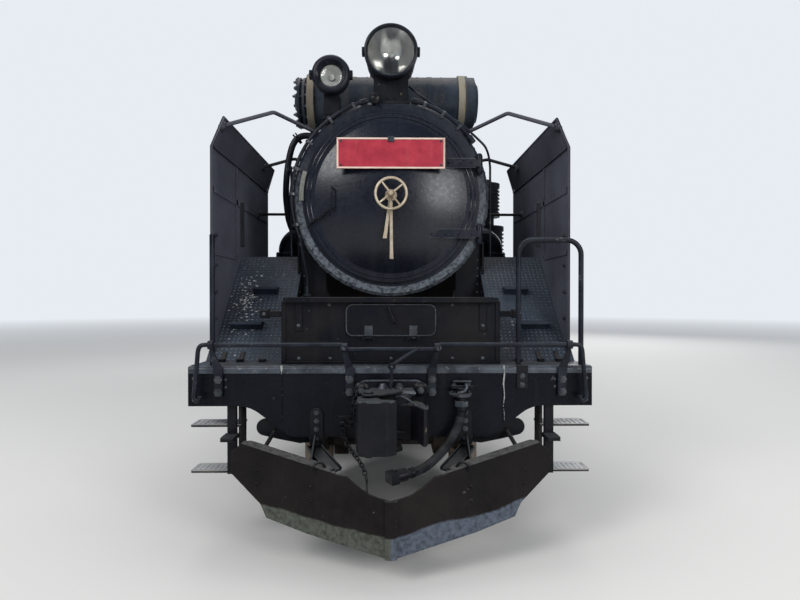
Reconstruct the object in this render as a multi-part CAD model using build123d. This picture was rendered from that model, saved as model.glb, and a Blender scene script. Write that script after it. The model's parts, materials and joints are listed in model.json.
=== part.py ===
from build123d import *
import math
import os

os.makedirs("parts", exist_ok=True)

# A 2-6-2 tender engine, without its tender. All sizes are in millimetres.
# The front faces -Y and +X is the engine's left side. Stations run back from the front face of the beam.
# The floor, z = 0, is at the tips of the wheel flanges.

# Overall reach
front_reach = 480            # coupler face ahead of the beam
rear_reach = 10650           # back end of the drawbar behind the beam face
total_height = 3928          # floor to chimney top

# Wheels and track
wheel_back_half = 495        # half the distance between the backs of a pair of wheels
flange_depth = 28
tyre_width = 130
tyre_thickness = 70
flange_width = 30
driver_radius = 760          # at the tread
truck_wheel_radius = 430
driving_stations = [3650, 5400, 7150]
leading_station = 1150
trailing_station = 9300
axle_radius = 95
truck_axle_radius = 75
crank_radius = 305
journal_clearance = 0.1
moving_gap = 8

# Lateral planes of the motion, measured out from the centre line
side_rod_plane = (800, 880)
main_rod_plane = (902, 978)
crank_pin_radius = 70
pin_cap = 10
return_crank_thickness = 44
valve_gear_plane = (1040, 1072)

# Frame
frame_inner = 370
frame_plate = 90
frame_top = 1100
frame_bottom = 620
truck_frame_bottom = 960     # frame underside over the truck wheels
frame_end = 10400

# Boiler
boiler_centre = 2308
smokebox_radius = 738
smokebox_front = 870
smokebox_rear = 2770
smokebox_wall = 16
door_radius = 640
door_opening_radius = 600
door_dish = 100
door_plate = 12
door_gap = 5
barrel_radius = 745
barrel_rear = 6600
firebox_radius = 780
firebox_rear = 8900
firebox_front_bottom = 1650
firebox_rear_bottom = 1260
firebox_step = 8000          # where the firebox drops behind the last driving wheels

# Front end
beam_half_width = 1230
beam_plate = 40
beam_top = 1120
beam_end_bottom = 903
beam_centre_bottom = 714
deck_plate = 20
deck_depth = 340
saddle_box_half = 680
saddle_box_front = 130
saddle_box_rear = 1100
saddle_box_top = 1560
casing_plate = 12
slope_start = 300
slope_end = 1120

# Running boards and cab
board_top = 1880
board_plate = 16
board_outer = 1215
cab_front_station = 8300
cab_rear_station = 10480
cab_half_width = 1390
cab_wall = 40
cab_floor_top = 1500
cab_floor_plate = 40
cab_eaves = 3250
cab_roof_top = 3740
cab_bottom = 1380

# Cylinders and motion
cylinder_x = (main_rod_plane[0] + main_rod_plane[1]) / 2
cylinder_z = flange_depth + driver_radius
cylinder_radius = 315
cylinder_front = 1650
cylinder_rear = 2650
valve_chest_x = 980
valve_chest_z = 1290
valve_chest_radius = 185
main_rod_length = 2200
slide_bar_gap = 230
slide_bar_thickness = 50
slide_bar_end = 3720
piston_rod_radius = 38

middle_station = (rear_reach - front_reach) / 2


def y_at(station):
    return station - middle_station


def block(x0, x1, s0, s1, z0, z1):
    centre = Pos((x0 + x1) / 2, y_at((s0 + s1) / 2), (z0 + z1) / 2)
    return centre * Box(abs(x1 - x0), abs(s1 - s0), abs(z1 - z0))


def round_x(radius, x0, x1, station, z):
    return Pos((x0 + x1) / 2, y_at(station), z) * Rot(0, 90, 0) * Cylinder(radius, abs(x1 - x0))


def round_y(radius, s0, s1, x, z):
    return Pos(x, y_at((s0 + s1) / 2), z) * Rot(90, 0, 0) * Cylinder(radius, abs(s1 - s0))


def round_z(radius, z0, z1, x, station):
    return Pos(x, y_at(station), (z0 + z1) / 2) * Cylinder(radius, abs(z1 - z0))


def flat_face(outline, corners=()):
    # corners lists (index of the point, radius) for the corners that are rounded
    face = Polygon(*outline, align=None)
    for index, radius in corners:
        vertex = face.vertices().sort_by_distance(outline[index])[0]
        face = fillet(vertex, radius)
    return face


def side_plate(outline, x0, x1, corners=()):
    points = [(y_at(station), z) for station, z in outline]
    face = Plane.YZ.offset(x0) * flat_face(points, corners)
    return extrude(face, amount=x1 - x0, dir=(1, 0, 0))


def cross_plate(outline, s0, s1, corners=()):
    face = Plane.XZ.offset(-y_at(s0)) * flat_face(outline, corners)
    return extrude(face, amount=s1 - s0, dir=(0, 1, 0))


def plan_plate(outline, z0, z1, corners=()):
    points = [(x, y_at(station)) for x, station in outline]
    face = Plane.XY.offset(z0) * flat_face(points, corners)
    return extrude(face, amount=z1 - z0, dir=(0, 0, 1))


def link_bar(start, end, half_width, eye_radius, x0, x1):
    # a flat bar with a round eye at each end, in the plane from x0 to x1; start and end are (station, z)
    length = math.hypot(end[0] - start[0], end[1] - start[1])
    angle = math.degrees(math.atan2(end[1] - start[1], end[0] - start[0]))
    bar = Pos((x0 + x1) / 2, y_at(start[0]), start[1]) * Rot(angle, 0, 0) * Pos(0, length / 2, 0) * Box(
        abs(x1 - x0), length, 2 * half_width)
    bar += round_x(eye_radius, x0, x1, start[0], start[1])
    bar += round_x(eye_radius, x0, x1, end[0], end[1])
    return bar


def pipe(points, radius, bend=1):
    places = [Vector(x, y_at(station), z) for x, station, z in points]
    if len(places) == 2:
        path = Line(*places)
    else:
        path = FilletPolyline(*places, radius=bend)
    return sweep(Plane(origin=path @ 0, z_dir=path % 0) * Circle(radius), path=path)


def both_sides(piece):
    return piece + mirror(piece, about=Plane.YZ)


def fuse(pieces):
    return pieces[0] + list(pieces[1:])


nodes = {}

# Boiler masses that other pieces are seated on
smokebox_mass = round_y(smokebox_radius, smokebox_front, smokebox_rear, 0, boiler_centre)
barrel_mass = round_y(barrel_radius, smokebox_rear, barrel_rear, 0, boiler_centre)
firebox_mass = fuse([
    round_y(firebox_radius, barrel_rear, firebox_rear, 0, boiler_centre),
    block(-firebox_radius, firebox_radius, barrel_rear, firebox_rear, firebox_front_bottom, boiler_centre),
    block(-firebox_radius, firebox_radius, firebox_step, firebox_rear, firebox_rear_bottom, firebox_front_bottom),
])
boiler_masses = [smokebox_mass, barrel_mass, firebox_mass]

# Main frame: two side bars with axle boxes, between the truck regions
frame_front = 1790
frame_rear = 8060
frame_outer = frame_inner + frame_plate
end_rise = 140
side_outline = [
    (frame_front, frame_top), (frame_rear, frame_top), (frame_rear, frame_bottom + end_rise),
    (frame_rear - end_rise, frame_bottom), (frame_front + end_rise, frame_bottom),
    (frame_front, frame_bottom + end_rise),
]
frame_side = side_plate(side_outline, frame_inner, frame_outer)
window_half = 420
window_low = 760
window_high = 980
window_corner = 70
window_middles = [
    (driving_stations[0] + driving_stations[1]) / 2,
    (driving_stations[1] + driving_stations[2]) / 2,
    driving_stations[0] - 750,
]
for middle in window_middles:
    opening = Plane.YZ * Pos(y_at(middle), (window_low + window_high) / 2) * RectangleRounded(
        2 * window_half, window_high - window_low, window_corner)
    frame_side -= extrude(opening, amount=2 * frame_outer, both=True)
axle_box_half = 180
axle_box_lap = 20
for station in driving_stations:
    frame_side += block(frame_inner - axle_box_lap, frame_outer + axle_box_lap,
                        station - axle_box_half, station + axle_box_half,
                        frame_bottom - 40, cylinder_z + axle_box_half)
    frame_side -= round_x(axle_radius + journal_clearance, frame_inner - 100, frame_outer + 100,
                          station, cylinder_z)
nodes["main_frame"] = both_sides(frame_side)

# Lighter frame bars over the leading and trailing trucks
extensions = [
    # front end, rear end
    (beam_plate, frame_front), (frame_rear, frame_end),
]
nodes["frame_extensions"] = fuse([
    both_sides(block(frame_inner, frame_outer, front, rear, truck_frame_bottom, frame_top))
    for front, rear in extensions])

# Cross members between the frame sides, with the truck pivots and the saddles under the boiler
leading_pivot_station = 2300
trailing_pivot_station = 8250
truck_pivot_radius = 45
truck_pivot_low = 560
pivot_plate_low = 700
pivot_plate_high = 780
drawbar_z = 900
drawbar_thickness = 60
stretchers = [
    # station, half thickness, low z, high z
    (420, 20, truck_frame_bottom + 10, frame_top),
    (window_middles[2], 30, 700, window_low),
    (window_middles[0], 40, 640, window_low),
    (window_middles[1], 40, 640, window_low),
    (9000, 30, truck_frame_bottom + 10, frame_top),
    (frame_end - 60, 60, drawbar_z + drawbar_thickness / 2, frame_top),
]
cross_members = [block(-frame_inner, frame_inner, station - half, station + half, low, high)
                 for station, half, low, high in stretchers]
for station in (leading_pivot_station, trailing_pivot_station):
    plate_rear = min(station + 180, frame_rear)
    member = block(-frame_inner, frame_inner, station - 300, plate_rear, pivot_plate_low, pivot_plate_high)
    if station > frame_rear:
        member += block(-110, 110, frame_rear - 5, station + 70, pivot_plate_low, pivot_plate_high)
    member += round_z(truck_pivot_radius, truck_pivot_low, pivot_plate_high, 0, station)
    cross_members.append(member)
saddle_section = [
    (-frame_outer, frame_top), (frame_outer, frame_top), (frame_outer, 1260), (520, 1480), (640, 1800),
    (598, 1850), (-598, 1850), (-640, 1800), (-520, 1480), (-frame_outer, 1260),
]
saddle = cross_plate(saddle_section, frame_front, frame_front + 700, [(3, 120), (8, 120)])
barrel_support = cross_plate([(-frame_outer, frame_top), (frame_outer, frame_top), (300, 1700), (-300, 1700)],
                             window_middles[0] + 40, window_middles[0] + 80)
firebox_support = block(-frame_outer, frame_outer, frame_rear - 30, frame_rear, frame_top, firebox_rear_bottom)
for support in (saddle, barrel_support, firebox_support):
    for mass in boiler_masses:
        support -= mass
    cross_members.append(support)
nodes["frame_stretchers"] = fuse(cross_members)

# Drawbar to the tender, with its pin hole
drawbar_half = 75
drawbar_hole = 38
drawbar_eye_station = rear_reach - drawbar_half
drawbar_low = drawbar_z - drawbar_thickness / 2
drawbar_high = drawbar_z + drawbar_thickness / 2
drawbar = block(-drawbar_half, drawbar_half, frame_end - 160, drawbar_eye_station, drawbar_low, drawbar_high)
drawbar += round_z(drawbar_half, drawbar_low, drawbar_high, 0, drawbar_eye_station)
drawbar -= round_z(drawbar_hole, drawbar_low - 1, drawbar_high + 1, 0, drawbar_eye_station)
nodes["drawbar"] = drawbar

# Front beam with the deck over it; its lower edge curves down to the middle
beam_outline = [
    (-beam_half_width, beam_top), (beam_half_width, beam_top), (beam_half_width, beam_end_bottom),
    (860, beam_end_bottom), (610, beam_centre_bottom), (-610, beam_centre_bottom),
    (-860, beam_end_bottom), (-beam_half_width, beam_end_bottom),
]
beam_corners = [(3, 220), (4, 90), (5, 90), (6, 220)]
front_beam = cross_plate(beam_outline, 0, beam_plate, beam_corners)
deck_floor = beam_top + deck_plate
end_web = 15
gusset_x = 640
front_beam += block(-beam_half_width, beam_half_width, 0, deck_depth, beam_top, deck_floor)
front_beam += both_sides(block(beam_half_width - end_web, beam_half_width, beam_plate, deck_depth,
                               beam_end_bottom + 60, beam_top))
gusset = side_plate([(beam_plate, beam_top), (deck_depth, beam_top), (beam_plate, beam_end_bottom)],
                    gusset_x, gusset_x + end_web)
front_beam += both_sides(gusset)

# Coupler with its pocket, guard arm and knuckle
coupler_z = 865
coupler_half_height = 115
pocket_half = 190
pocket_low = coupler_z - 150
pocket_high = coupler_z + 190
shank_half = 75
front_beam -= block(-shank_half, shank_half, -1, beam_plate + 1, coupler_z - shank_half, coupler_z + shank_half)
nodes["front_beam"] = front_beam
shank = block(-shank_half, shank_half, -170, 400, coupler_z - shank_half, coupler_z + shank_half)
head_low = coupler_z - coupler_half_height
head_high = coupler_z + coupler_half_height
knuckle_pin_x = -125
knuckle_pin_station = -325
knuckle_pin_radius = 20
knuckle_eye_radius = 60
knuckle_half_height = 145
lug_plate = 28
head_outline = [
    (-150, -150), (150, -150), (200, -230), (205, -400), (150, -405), (105, -300), (20, -275), (-60, -275),
    (-170, -230),
]
head = plan_plate(head_outline, head_low, head_high, [(2, 60), (4, 20), (5, 40)])
lug_low = coupler_z - knuckle_half_height - moving_gap - lug_plate
lug_high = coupler_z + knuckle_half_height + moving_gap
lug_outline = [(-175, -170), (40, -170), (40, -280), (-60, -385), (-190, -385), (-190, -300)]
head -= round_z(knuckle_eye_radius + moving_gap, lug_low, lug_high, knuckle_pin_x, knuckle_pin_station)
for low in (lug_low, lug_high):
    head += plan_plate(lug_outline, low, low + lug_plate, [(3, 60), (4, 60)])
head += block(-100, 40, -240, -170, lug_low, lug_high + lug_plate)
head += round_z(knuckle_pin_radius, lug_low - 10, lug_high + lug_plate + 10, knuckle_pin_x, knuckle_pin_station)
pocket = block(-pocket_half, pocket_half, -30, 0, pocket_low, pocket_high)
striker = block(-130, 130, -75, -30, coupler_z + shank_half, pocket_high - 20)
nodes["coupler_body"] = shank + head + pocket + striker
knuckle_outline = [
    (-185, -345), (-180, -front_reach), (-20, -front_reach), (30, -440), (10, -405), (-50, -400), (-70, -350),
]
knuckle_low = coupler_z - knuckle_half_height
knuckle_high = coupler_z + knuckle_half_height
knuckle = plan_plate(knuckle_outline, knuckle_low, knuckle_high, [(1, 40), (2, 30), (5, 25)])
knuckle += round_z(knuckle_eye_radius, knuckle_low, knuckle_high, knuckle_pin_x, knuckle_pin_station)
knuckle -= round_z(knuckle_pin_radius + journal_clearance, knuckle_low - 5, knuckle_high + 5,
                   knuckle_pin_x, knuckle_pin_station)
nodes["coupler_knuckle"] = knuckle
# Box under the smokebox, with the front hatch
box_front = saddle_box_front
saddle_box = block(-saddle_box_half, saddle_box_half, box_front, saddle_box_rear, deck_floor, saddle_box_top)
saddle_box -= block(-saddle_box_half + casing_plate, saddle_box_half - casing_plate,
                    box_front + casing_plate, saddle_box_rear - casing_plate,
                    deck_floor + casing_plate, saddle_box_top - casing_plate)
saddle_box += block(-saddle_box_half + 10, saddle_box_half - 10, box_front - 35, box_front,
                    saddle_box_top - 22, saddle_box_top)
hatch_half = 283
hatch_low = 1320
hatch_high = 1521
hatch_corner = 45
hatch_lap = 25
hatch_face = Plane.XZ.offset(-y_at(box_front - 17)) * Pos(0, (hatch_low + hatch_high) / 2) * RectangleRounded(
    2 * hatch_half, hatch_high - hatch_low, hatch_corner)
front_hatch = extrude(hatch_face, amount=casing_plate, dir=(0, 1, 0))
saddle_box -= block(-hatch_half + hatch_lap, hatch_half - hatch_lap, box_front - 1, box_front + casing_plate + 1,
                    hatch_low + hatch_lap, hatch_high - hatch_lap)
hatch_pin_z = hatch_low - 14
hatch_pin_station = box_front - 14
hatch_pin_radius = 6
for side in (-1, 1):
    hinge_x = side * 140
    leaf = round_x(11, hinge_x - 20, hinge_x + 20, hatch_pin_station, hatch_pin_z)
    leaf += block(hinge_x - 20, hinge_x + 20, box_front - 22, box_front - 17, hatch_pin_z, hatch_low + 60)
    leaf -= round_x(hatch_pin_radius + journal_clearance, hinge_x - 30, hinge_x + 30,
                    hatch_pin_station, hatch_pin_z)
    front_hatch += leaf
    saddle_box += round_x(hatch_pin_radius, hinge_x - 42, hinge_x + 42, hatch_pin_station, hatch_pin_z)
    for low, high in ((-42, -24), (24, 42)):
        saddle_box += block(hinge_x + low, hinge_x + high, box_front - 25, box_front,
                            hatch_pin_z - 12, hatch_pin_z + 8)
handle = pipe([(-15, box_front - 17, 1500), (-15, box_front - 45, 1500), (25, box_front - 45, 1400),
               (25, box_front - 17, 1400)], 6, 12)
front_hatch += handle
nodes["saddle_box"] = saddle_box - nodes["main_frame"]
nodes["front_hatch"] = front_hatch


# Smokebox: a hollow drum with a door ring in front and the tube plate behind
ring_chamfer = 22
smokebox_end = 30
smokebox = smokebox_mass - round_y(smokebox_radius - smokebox_wall, smokebox_front + smokebox_end,
                                   smokebox_rear - smokebox_end, 0, boiler_centre)
front_edge = smokebox.edges().filter_by(GeomType.CIRCLE).group_by(Axis.Y)[0].sort_by(SortBy.RADIUS)[-1]
smokebox = chamfer(front_edge, ring_chamfer)
smokebox -= round_y(door_opening_radius, smokebox_front - 1, smokebox_front + smokebox_end + 1, 0, boiler_centre)
chimney_station = 1950
chimney_bore = 165
blast_pipe_radius = 110
blast_pipe_bore = 80
blast_pipe_top = 2000
smokebox_bottom = boiler_centre - smokebox_radius
smokebox -= round_z(chimney_bore, boiler_centre, boiler_centre + smokebox_radius + 100, 0, chimney_station)
blast_pipe = round_z(blast_pipe_radius, smokebox_bottom + smokebox_wall / 2, blast_pipe_top, 0, chimney_station)
blast_pipe -= round_z(blast_pipe_bore, smokebox_bottom + 130, blast_pipe_top + 1, 0, chimney_station)
smokebox += blast_pipe
door_hinge_x = 662
door_hinge_station = 838
door_pin_radius = 12
hinge_radius = 22
hinge_heights = [2557, 2034]
hinge_lugs = (32, 58)
for z in hinge_heights:
    for low, high in ((-hinge_lugs[1], -hinge_lugs[0]), hinge_lugs):
        lug = block(door_hinge_x - hinge_radius, door_hinge_x + hinge_radius, door_hinge_station,
                    smokebox_front + ring_chamfer + 5, z + low, z + high)
        lug += round_z(hinge_radius, z + low, z + high, door_hinge_x, door_hinge_station)
        smokebox += lug
    smokebox += round_z(door_pin_radius, z - hinge_lugs[1], z + hinge_lugs[1], door_hinge_x, door_hinge_station)
nodes["smokebox"] = smokebox

# Smokebox door: a dished plate, hinged at the engine's left
rim_plate = 20
dish_front = smokebox_front - door_gap - rim_plate - door_dish
dish_half = door_opening_radius - 30
dish_radius = (dish_half ** 2 + door_dish ** 2) / (2 * door_dish)
rim_front = dish_front + door_dish
dish_centre = Pos(0, y_at(dish_front + dish_radius), boiler_centre)
dish_ball = dish_centre * Sphere(dish_radius)
rim_disc = round_y(door_radius, rim_front, rim_front + rim_plate, 0, boiler_centre)
door_mass = dish_ball & round_y(dish_half, dish_front - 5, rim_front + 1, 0, boiler_centre)
door_mass += round_y(door_radius, rim_front, smokebox_front + 60, 0, boiler_centre)
door = dish_ball & round_y(dish_half, dish_front - 5, rim_front + rim_plate - 5, 0, boiler_centre)
door += rim_disc - round_y(dish_half - 20, rim_front - 1, rim_front + rim_plate + 1, 0, boiler_centre)
door -= (dish_centre * Sphere(dish_radius - door_plate)) & round_y(
    dish_half - 15, dish_front, rim_front + 30, 0, boiler_centre)
strap_half = 26
straps = [
    # height, inner end
    (hinge_heights[0], 430), (hinge_heights[1], 300),
]
for z, inner in straps:
    strap = block(inner, door_hinge_x, rim_front - 45, rim_front - 5, z - strap_half, z + strap_half)
    strap += round_y(strap_half, rim_front - 45, rim_front - 5, inner, z)
    strap += round_z(hinge_radius, z - strap_half, z + strap_half, door_hinge_x, door_hinge_station)
    strap -= round_z(door_pin_radius + journal_clearance, z - 30, z + 30, door_hinge_x, door_hinge_station)
    door += strap
nodes["smokebox_door"] = door

# Door handwheel with its two locking bars
handwheel_station = dish_front - 85
handwheel_radius = 112
handwheel_rim = 10
hub_radius = 26
ring = Pos(0, y_at(handwheel_station), boiler_centre) * Rot(90, 0, 0) * Torus(handwheel_radius, handwheel_rim)
handwheel = ring + round_y(hub_radius, handwheel_station - 18, dish_front + 4, 0, boiler_centre)
for turn in (45, 135):
    spoke = Rot(0, turn, 0) * Box(2 * handwheel_radius, 10, 18)
    handwheel += Pos(0, y_at(handwheel_station), boiler_centre) * spoke
locking_bars = [
    # station offset, foot x, length
    (32, -8, 470), (48, -45, 320),
]
for offset, foot_x, length in locking_bars:
    bar = Box(26, 10, length)
    lean = math.degrees(math.atan2(foot_x, length))
    handwheel += (Pos(0, y_at(handwheel_station + offset), boiler_centre) * Rot(0, -lean, 0)
                  * Pos(0, 0, -length / 2) * bar)
nodes["door_handwheel"] = handwheel - door_mass - door

# Number plate on four studs, blank
plate_z = 2611
plate_width = 790
plate_height = 225
plate_station = dish_front - 6
plate_thickness = 10
number_plate = block(-plate_width / 2, plate_width / 2, plate_station - plate_thickness, plate_station,
                     plate_z - plate_height / 2, plate_z + plate_height / 2)
for side in (-1, 1):
    for end in (-1, 1):
        number_plate += round_y(11, plate_station, smokebox_front - 30, side * 355, plate_z + end * 75)
nodes["number_plate"] = number_plate - door_mass - door

# Boiler barrel with its lagging bands, and the firebox
barrel = barrel_mass
band_half = 35
band_rise = 4
for station in (3400, 4400, 5600):
    barrel += round_y(barrel_radius + band_rise, station - band_half, station + band_half, 0, boiler_centre)
barrel_shape = barrel
boiler_shapes = [smokebox_mass, barrel_shape, firebox_mass]
nodes["boiler_barrel"] = barrel
ash_pan_half = 360
ash_pan_section = [
    (firebox_step + 140, firebox_rear_bottom), (firebox_rear - 160, firebox_rear_bottom),
    (firebox_rear - 160, 1120), (firebox_rear - 260, 980), (firebox_step + 300, 980), (firebox_step + 140, 1120),
]
nodes["firebox"] = firebox_mass + side_plate(ash_pan_section, -ash_pan_half, ash_pan_half)

# Chimney with its flared base
chimney_radius = 195
chimney_lip = 222
chimney_flange = 320
chimney_base = boiler_centre + smokebox_radius
chimney_outline = [
    (chimney_bore, chimney_base - 130), (chimney_flange, chimney_base - 130), (chimney_flange, chimney_base + 12),
    (chimney_radius, chimney_base + 60), (chimney_radius, total_height - 70), (chimney_lip, total_height - 70),
    (chimney_lip, total_height), (chimney_bore, total_height),
]
chimney_face = Plane.XZ * flat_face(chimney_outline, [(3, 90)])
chimney = Pos(0, y_at(chimney_station), 0) * revolve(chimney_face, Axis.Z)
nodes["chimney"] = chimney - smokebox_mass

# Long dome casing on the barrel, round-topped with rounded ends
dome_front = 3000
dome_rear = 5400
dome_half = 350
dome_top = 3720
dome_low = boiler_centre + 500
dome_end_radius = 300
dome_section = [
    (-dome_half, dome_low), (dome_half, dome_low), (dome_half, dome_top), (-dome_half, dome_top),
]
dome_side = [
    (dome_front, dome_low), (dome_rear, dome_low), (dome_rear, dome_top), (dome_front, dome_top),
]
dome = cross_plate(dome_section, dome_front, dome_rear, [(2, dome_half - 40), (3, dome_half - 40)])
dome = dome & side_plate(dome_side, -dome_half, dome_half, [(2, dome_end_radius), (3, dome_end_radius)])
dome_plan = [
    (-dome_half, dome_front), (dome_half, dome_front), (dome_half, dome_rear), (-dome_half, dome_rear),
]
dome = dome & plan_plate(dome_plan, dome_low, dome_top, [(index, dome_half - 20) for index in range(4)])
nodes["dome_casing"] = dome - barrel_shape

# Feedwater heater across the smokebox, ahead of the chimney
heater_station = 1490
heater_z = 3208
heater_radius = 215
heater_left = 695
heater_right = -690
heater_saddle_half = 240
heater_rings = [
    # outer end x, inner end x, radius beyond the drum
    (heater_right, heater_right + 60, 25), (heater_right + 60, heater_right + 110, -25),
    (heater_left - 60, heater_left - 110, 12), (heater_left + 30, heater_left, -60),
]
heater = round_x(heater_radius, heater_right, heater_left, heater_station, heater_z)
for outer, inner, extra in heater_rings:
    heater += round_x(heater_radius + extra, outer, inner, heater_station, heater_z)
heater += block(-heater_saddle_half, heater_saddle_half, heater_station - 110, heater_station + 110,
                chimney_base - 70, heater_z - 100)
nodes["feedwater_heater"] = heater - smokebox_mass
nodes["chimney"] -= nodes["feedwater_heater"]

# Head lamp and auxiliary lamp, each on its bracket
lamps = [
    # x, z, radius, front station, length, bracket half width
    (0, 3388, 200, 790, 330, 130),
    (-447, 3218, 145, 800, 220, 60),
]
lamp_wall = 22
lamp_solids = []
for x, z, radius, front, length, half in lamps:
    lamp = round_y(radius, front, front + 70, x, z)
    lamp += round_y(radius - 16, front + 70, front + length, x, z)
    lamp -= round_y(radius - lamp_wall, front - 1, front + length - 120, x, z)
    lamp += round_y(radius - 10, front + 12, front + 20, x, z)
    lamp += block(x - half, x + half, front + 90, front + length - 20, z - radius - 160, z - radius + 40) - \
        round_y(radius - 20, front - 1, front + length, x, z)
    lamp += block(x - half, x + half, smokebox_front + ring_chamfer + 4, front + length - 20, 2700,
                  z - radius - 120)
    lamp_solids.append(lamp - smokebox_mass)
nodes["lamps"] = fuse(lamp_solids)

# Smoke deflectors on the running boards, with their stays
deflector_x = 1185
deflector_plate = 10
deflector_front = 350
deflector_rear = 2150
deflector_fold = 2565
deflector_top = 2762
fold_lean = 75
slope_rise = (board_top - deck_floor) / (slope_end - slope_start)
deflector_foot = deck_floor + slope_rise * (deflector_front - slope_start)
lower_outline = [
    (deflector_front, deflector_foot), (slope_end, board_top), (deflector_rear, board_top),
    (deflector_rear, deflector_fold), (deflector_front, deflector_fold),
]
deflector = side_plate(lower_outline, deflector_x, deflector_x + deflector_plate)
lean_section = [
    (deflector_x, deflector_fold), (deflector_x + deflector_plate, deflector_fold),
    (deflector_x + deflector_plate - fold_lean, deflector_top), (deflector_x - fold_lean, deflector_top),
]
deflector += cross_plate(lean_section, deflector_front + 25, deflector_rear - 60)


def lean_x(z):
    return deflector_x - fold_lean * max(0, z - deflector_fold) / (deflector_top - deflector_fold)


def smokebox_x(z):
    return math.sqrt(smokebox_radius ** 2 - (z - boiler_centre) ** 2)


stays = [
    # station at the plate, height there, middle reach, middle rise, station at the smokebox, height there, radius
    (400, 2711, 0.5, 130, 930, 2800, 14),
    (1700, 2711, 0.5, 60, 1700, 2740, 14),
    (1750, 2300, 0.5, 0, 1750, 2300, 12),
]
for outer_station, outer_z, reach, rise, inner_station, inner_z, radius in stays:
    inner_x = smokebox_x(inner_z) - 6
    outer_x = lean_x(outer_z) + 3
    points = [(inner_x, inner_station, inner_z), (outer_x, outer_station, outer_z)]
    if rise > 0:
        middle = (inner_x + reach * (outer_x - inner_x), inner_station + reach * (outer_station - inner_station),
                  inner_z + reach * (outer_z - inner_z) + rise)
        points.insert(1, middle)
    deflector += pipe(points, radius, 60)
deflector -= smokebox_mass

# Running boards with the front slopes and the step brackets on them
board_inner = 600
edge_angle = 15
edge_drop = 74
slope_thickness = 12
board = block(board_inner, board_outer, slope_end, cab_front_station, board_top - board_plate, board_top)
board += block(board_outer - edge_angle, board_outer, slope_end + 700, cab_front_station,
               board_top - board_plate - edge_drop, board_top)
slope_section = [
    (slope_start, deck_floor), (slope_end, board_top), (slope_end + 20, board_top),
    (slope_end + 20, board_top - board_plate), (slope_start + 25, deck_floor),
]
board += side_plate(slope_section, saddle_box_half + slope_thickness, board_outer)
board += side_plate([(slope_start + 18, deck_floor), (slope_end, board_top - 10), (slope_end, deck_floor)],
                    board_outer - edge_angle, board_outer)
board += block(saddle_box_half, board_outer, deck_depth, slope_end, deck_floor, deck_floor + slope_thickness)
slope_steps = [
    # station at the tread's back, inner x, outer x, depth
    (850, 835, 1010, 110), (580, 890, 1100, 110),
]
for rear, inner, outer, depth in slope_steps:
    tread_z = deck_floor + slope_rise * (rear - slope_start)
    tread = [(rear + 10, tread_z), (rear - depth, tread_z), (rear - depth, tread_z - 16),
             (rear - depth + 14, tread_z - 16), (rear - 15, tread_z - 100), (rear - 15, tread_z - 100 + 30)]
    board += side_plate(tread, inner, outer)
for shape in boiler_shapes:
    board -= shape
board -= block(saddle_box_half, deflector_x, 0, deck_depth, 0, deck_floor)
deflector -= board
nodes["smoke_deflectors"] = both_sides(deflector)
running_board = board

# Cylinders with the valve chests above them, in one clad block
wrapper_front = cylinder_front + 60
wrapper_rear = cylinder_rear - 60
cover_rise = 18
cover_depth = 35
bulge = 70
cylinder_circle = Pos(cylinder_x, cylinder_z) * CenterArc((0, 0), cylinder_radius, 0, 360)
chest_circle = Pos(valve_chest_x, valve_chest_z) * CenterArc((0, 0), valve_chest_radius, 0, 360)
wrapper_face = Plane.XZ.offset(-y_at(wrapper_front)) * make_hull([cylinder_circle.edge(), chest_circle.edge()])
cylinder = extrude(wrapper_face, amount=wrapper_rear - wrapper_front, dir=(0, 1, 0))
cylinder += cross_plate([(frame_outer, 660), (cylinder_x, 560), (cylinder_x, 1400), (frame_outer, 1250)],
                        wrapper_front + 40, wrapper_rear - 40)
cylinder_rounds = [
    # radius, front station, rear station
    (cylinder_radius, cylinder_front, cylinder_rear),
    (cylinder_radius + cover_rise, cylinder_front, cylinder_front + cover_depth),
    (cylinder_radius + cover_rise, cylinder_rear - cover_depth, cylinder_rear),
    (200, cylinder_front - 30, cylinder_front), (110, cylinder_front - bulge, cylinder_front - 30),
]
for radius, front, rear in cylinder_rounds:
    cylinder += round_y(radius, front, rear, cylinder_x, cylinder_z)
chest_rounds = [
    (valve_chest_radius, cylinder_front + 30, cylinder_rear - 30),
    (valve_chest_radius + 14, cylinder_front + 30, cylinder_front + 60),
    (valve_chest_radius + 14, cylinder_rear - 60, cylinder_rear - 30),
    (110, cylinder_front - 30, cylinder_front + 30), (90, cylinder_rear - 30, cylinder_rear + 40),
]
for radius, front, rear in chest_rounds:
    cylinder += round_y(radius, front, rear, valve_chest_x, valve_chest_z)
slide_bar_half = slide_bar_gap + slide_bar_thickness
bar_in = main_rod_plane[0] - 4
bar_out = main_rod_plane[1] + 4
bar_seat = 40
cylinder += block(bar_in, bar_out, cylinder_rear, cylinder_rear + bar_seat,
                  cylinder_z - slide_bar_half, cylinder_z + slide_bar_half)
cylinder -= round_y(piston_rod_radius + 10, cylinder_front + 60, cylinder_rear - 60, cylinder_x, cylinder_z)
cylinder -= round_y(piston_rod_radius + journal_clearance, cylinder_rear - 61, cylinder_rear + bar_seat + 1,
                    cylinder_x, cylinder_z)
nodes["cylinders"] = both_sides(cylinder)

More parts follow.
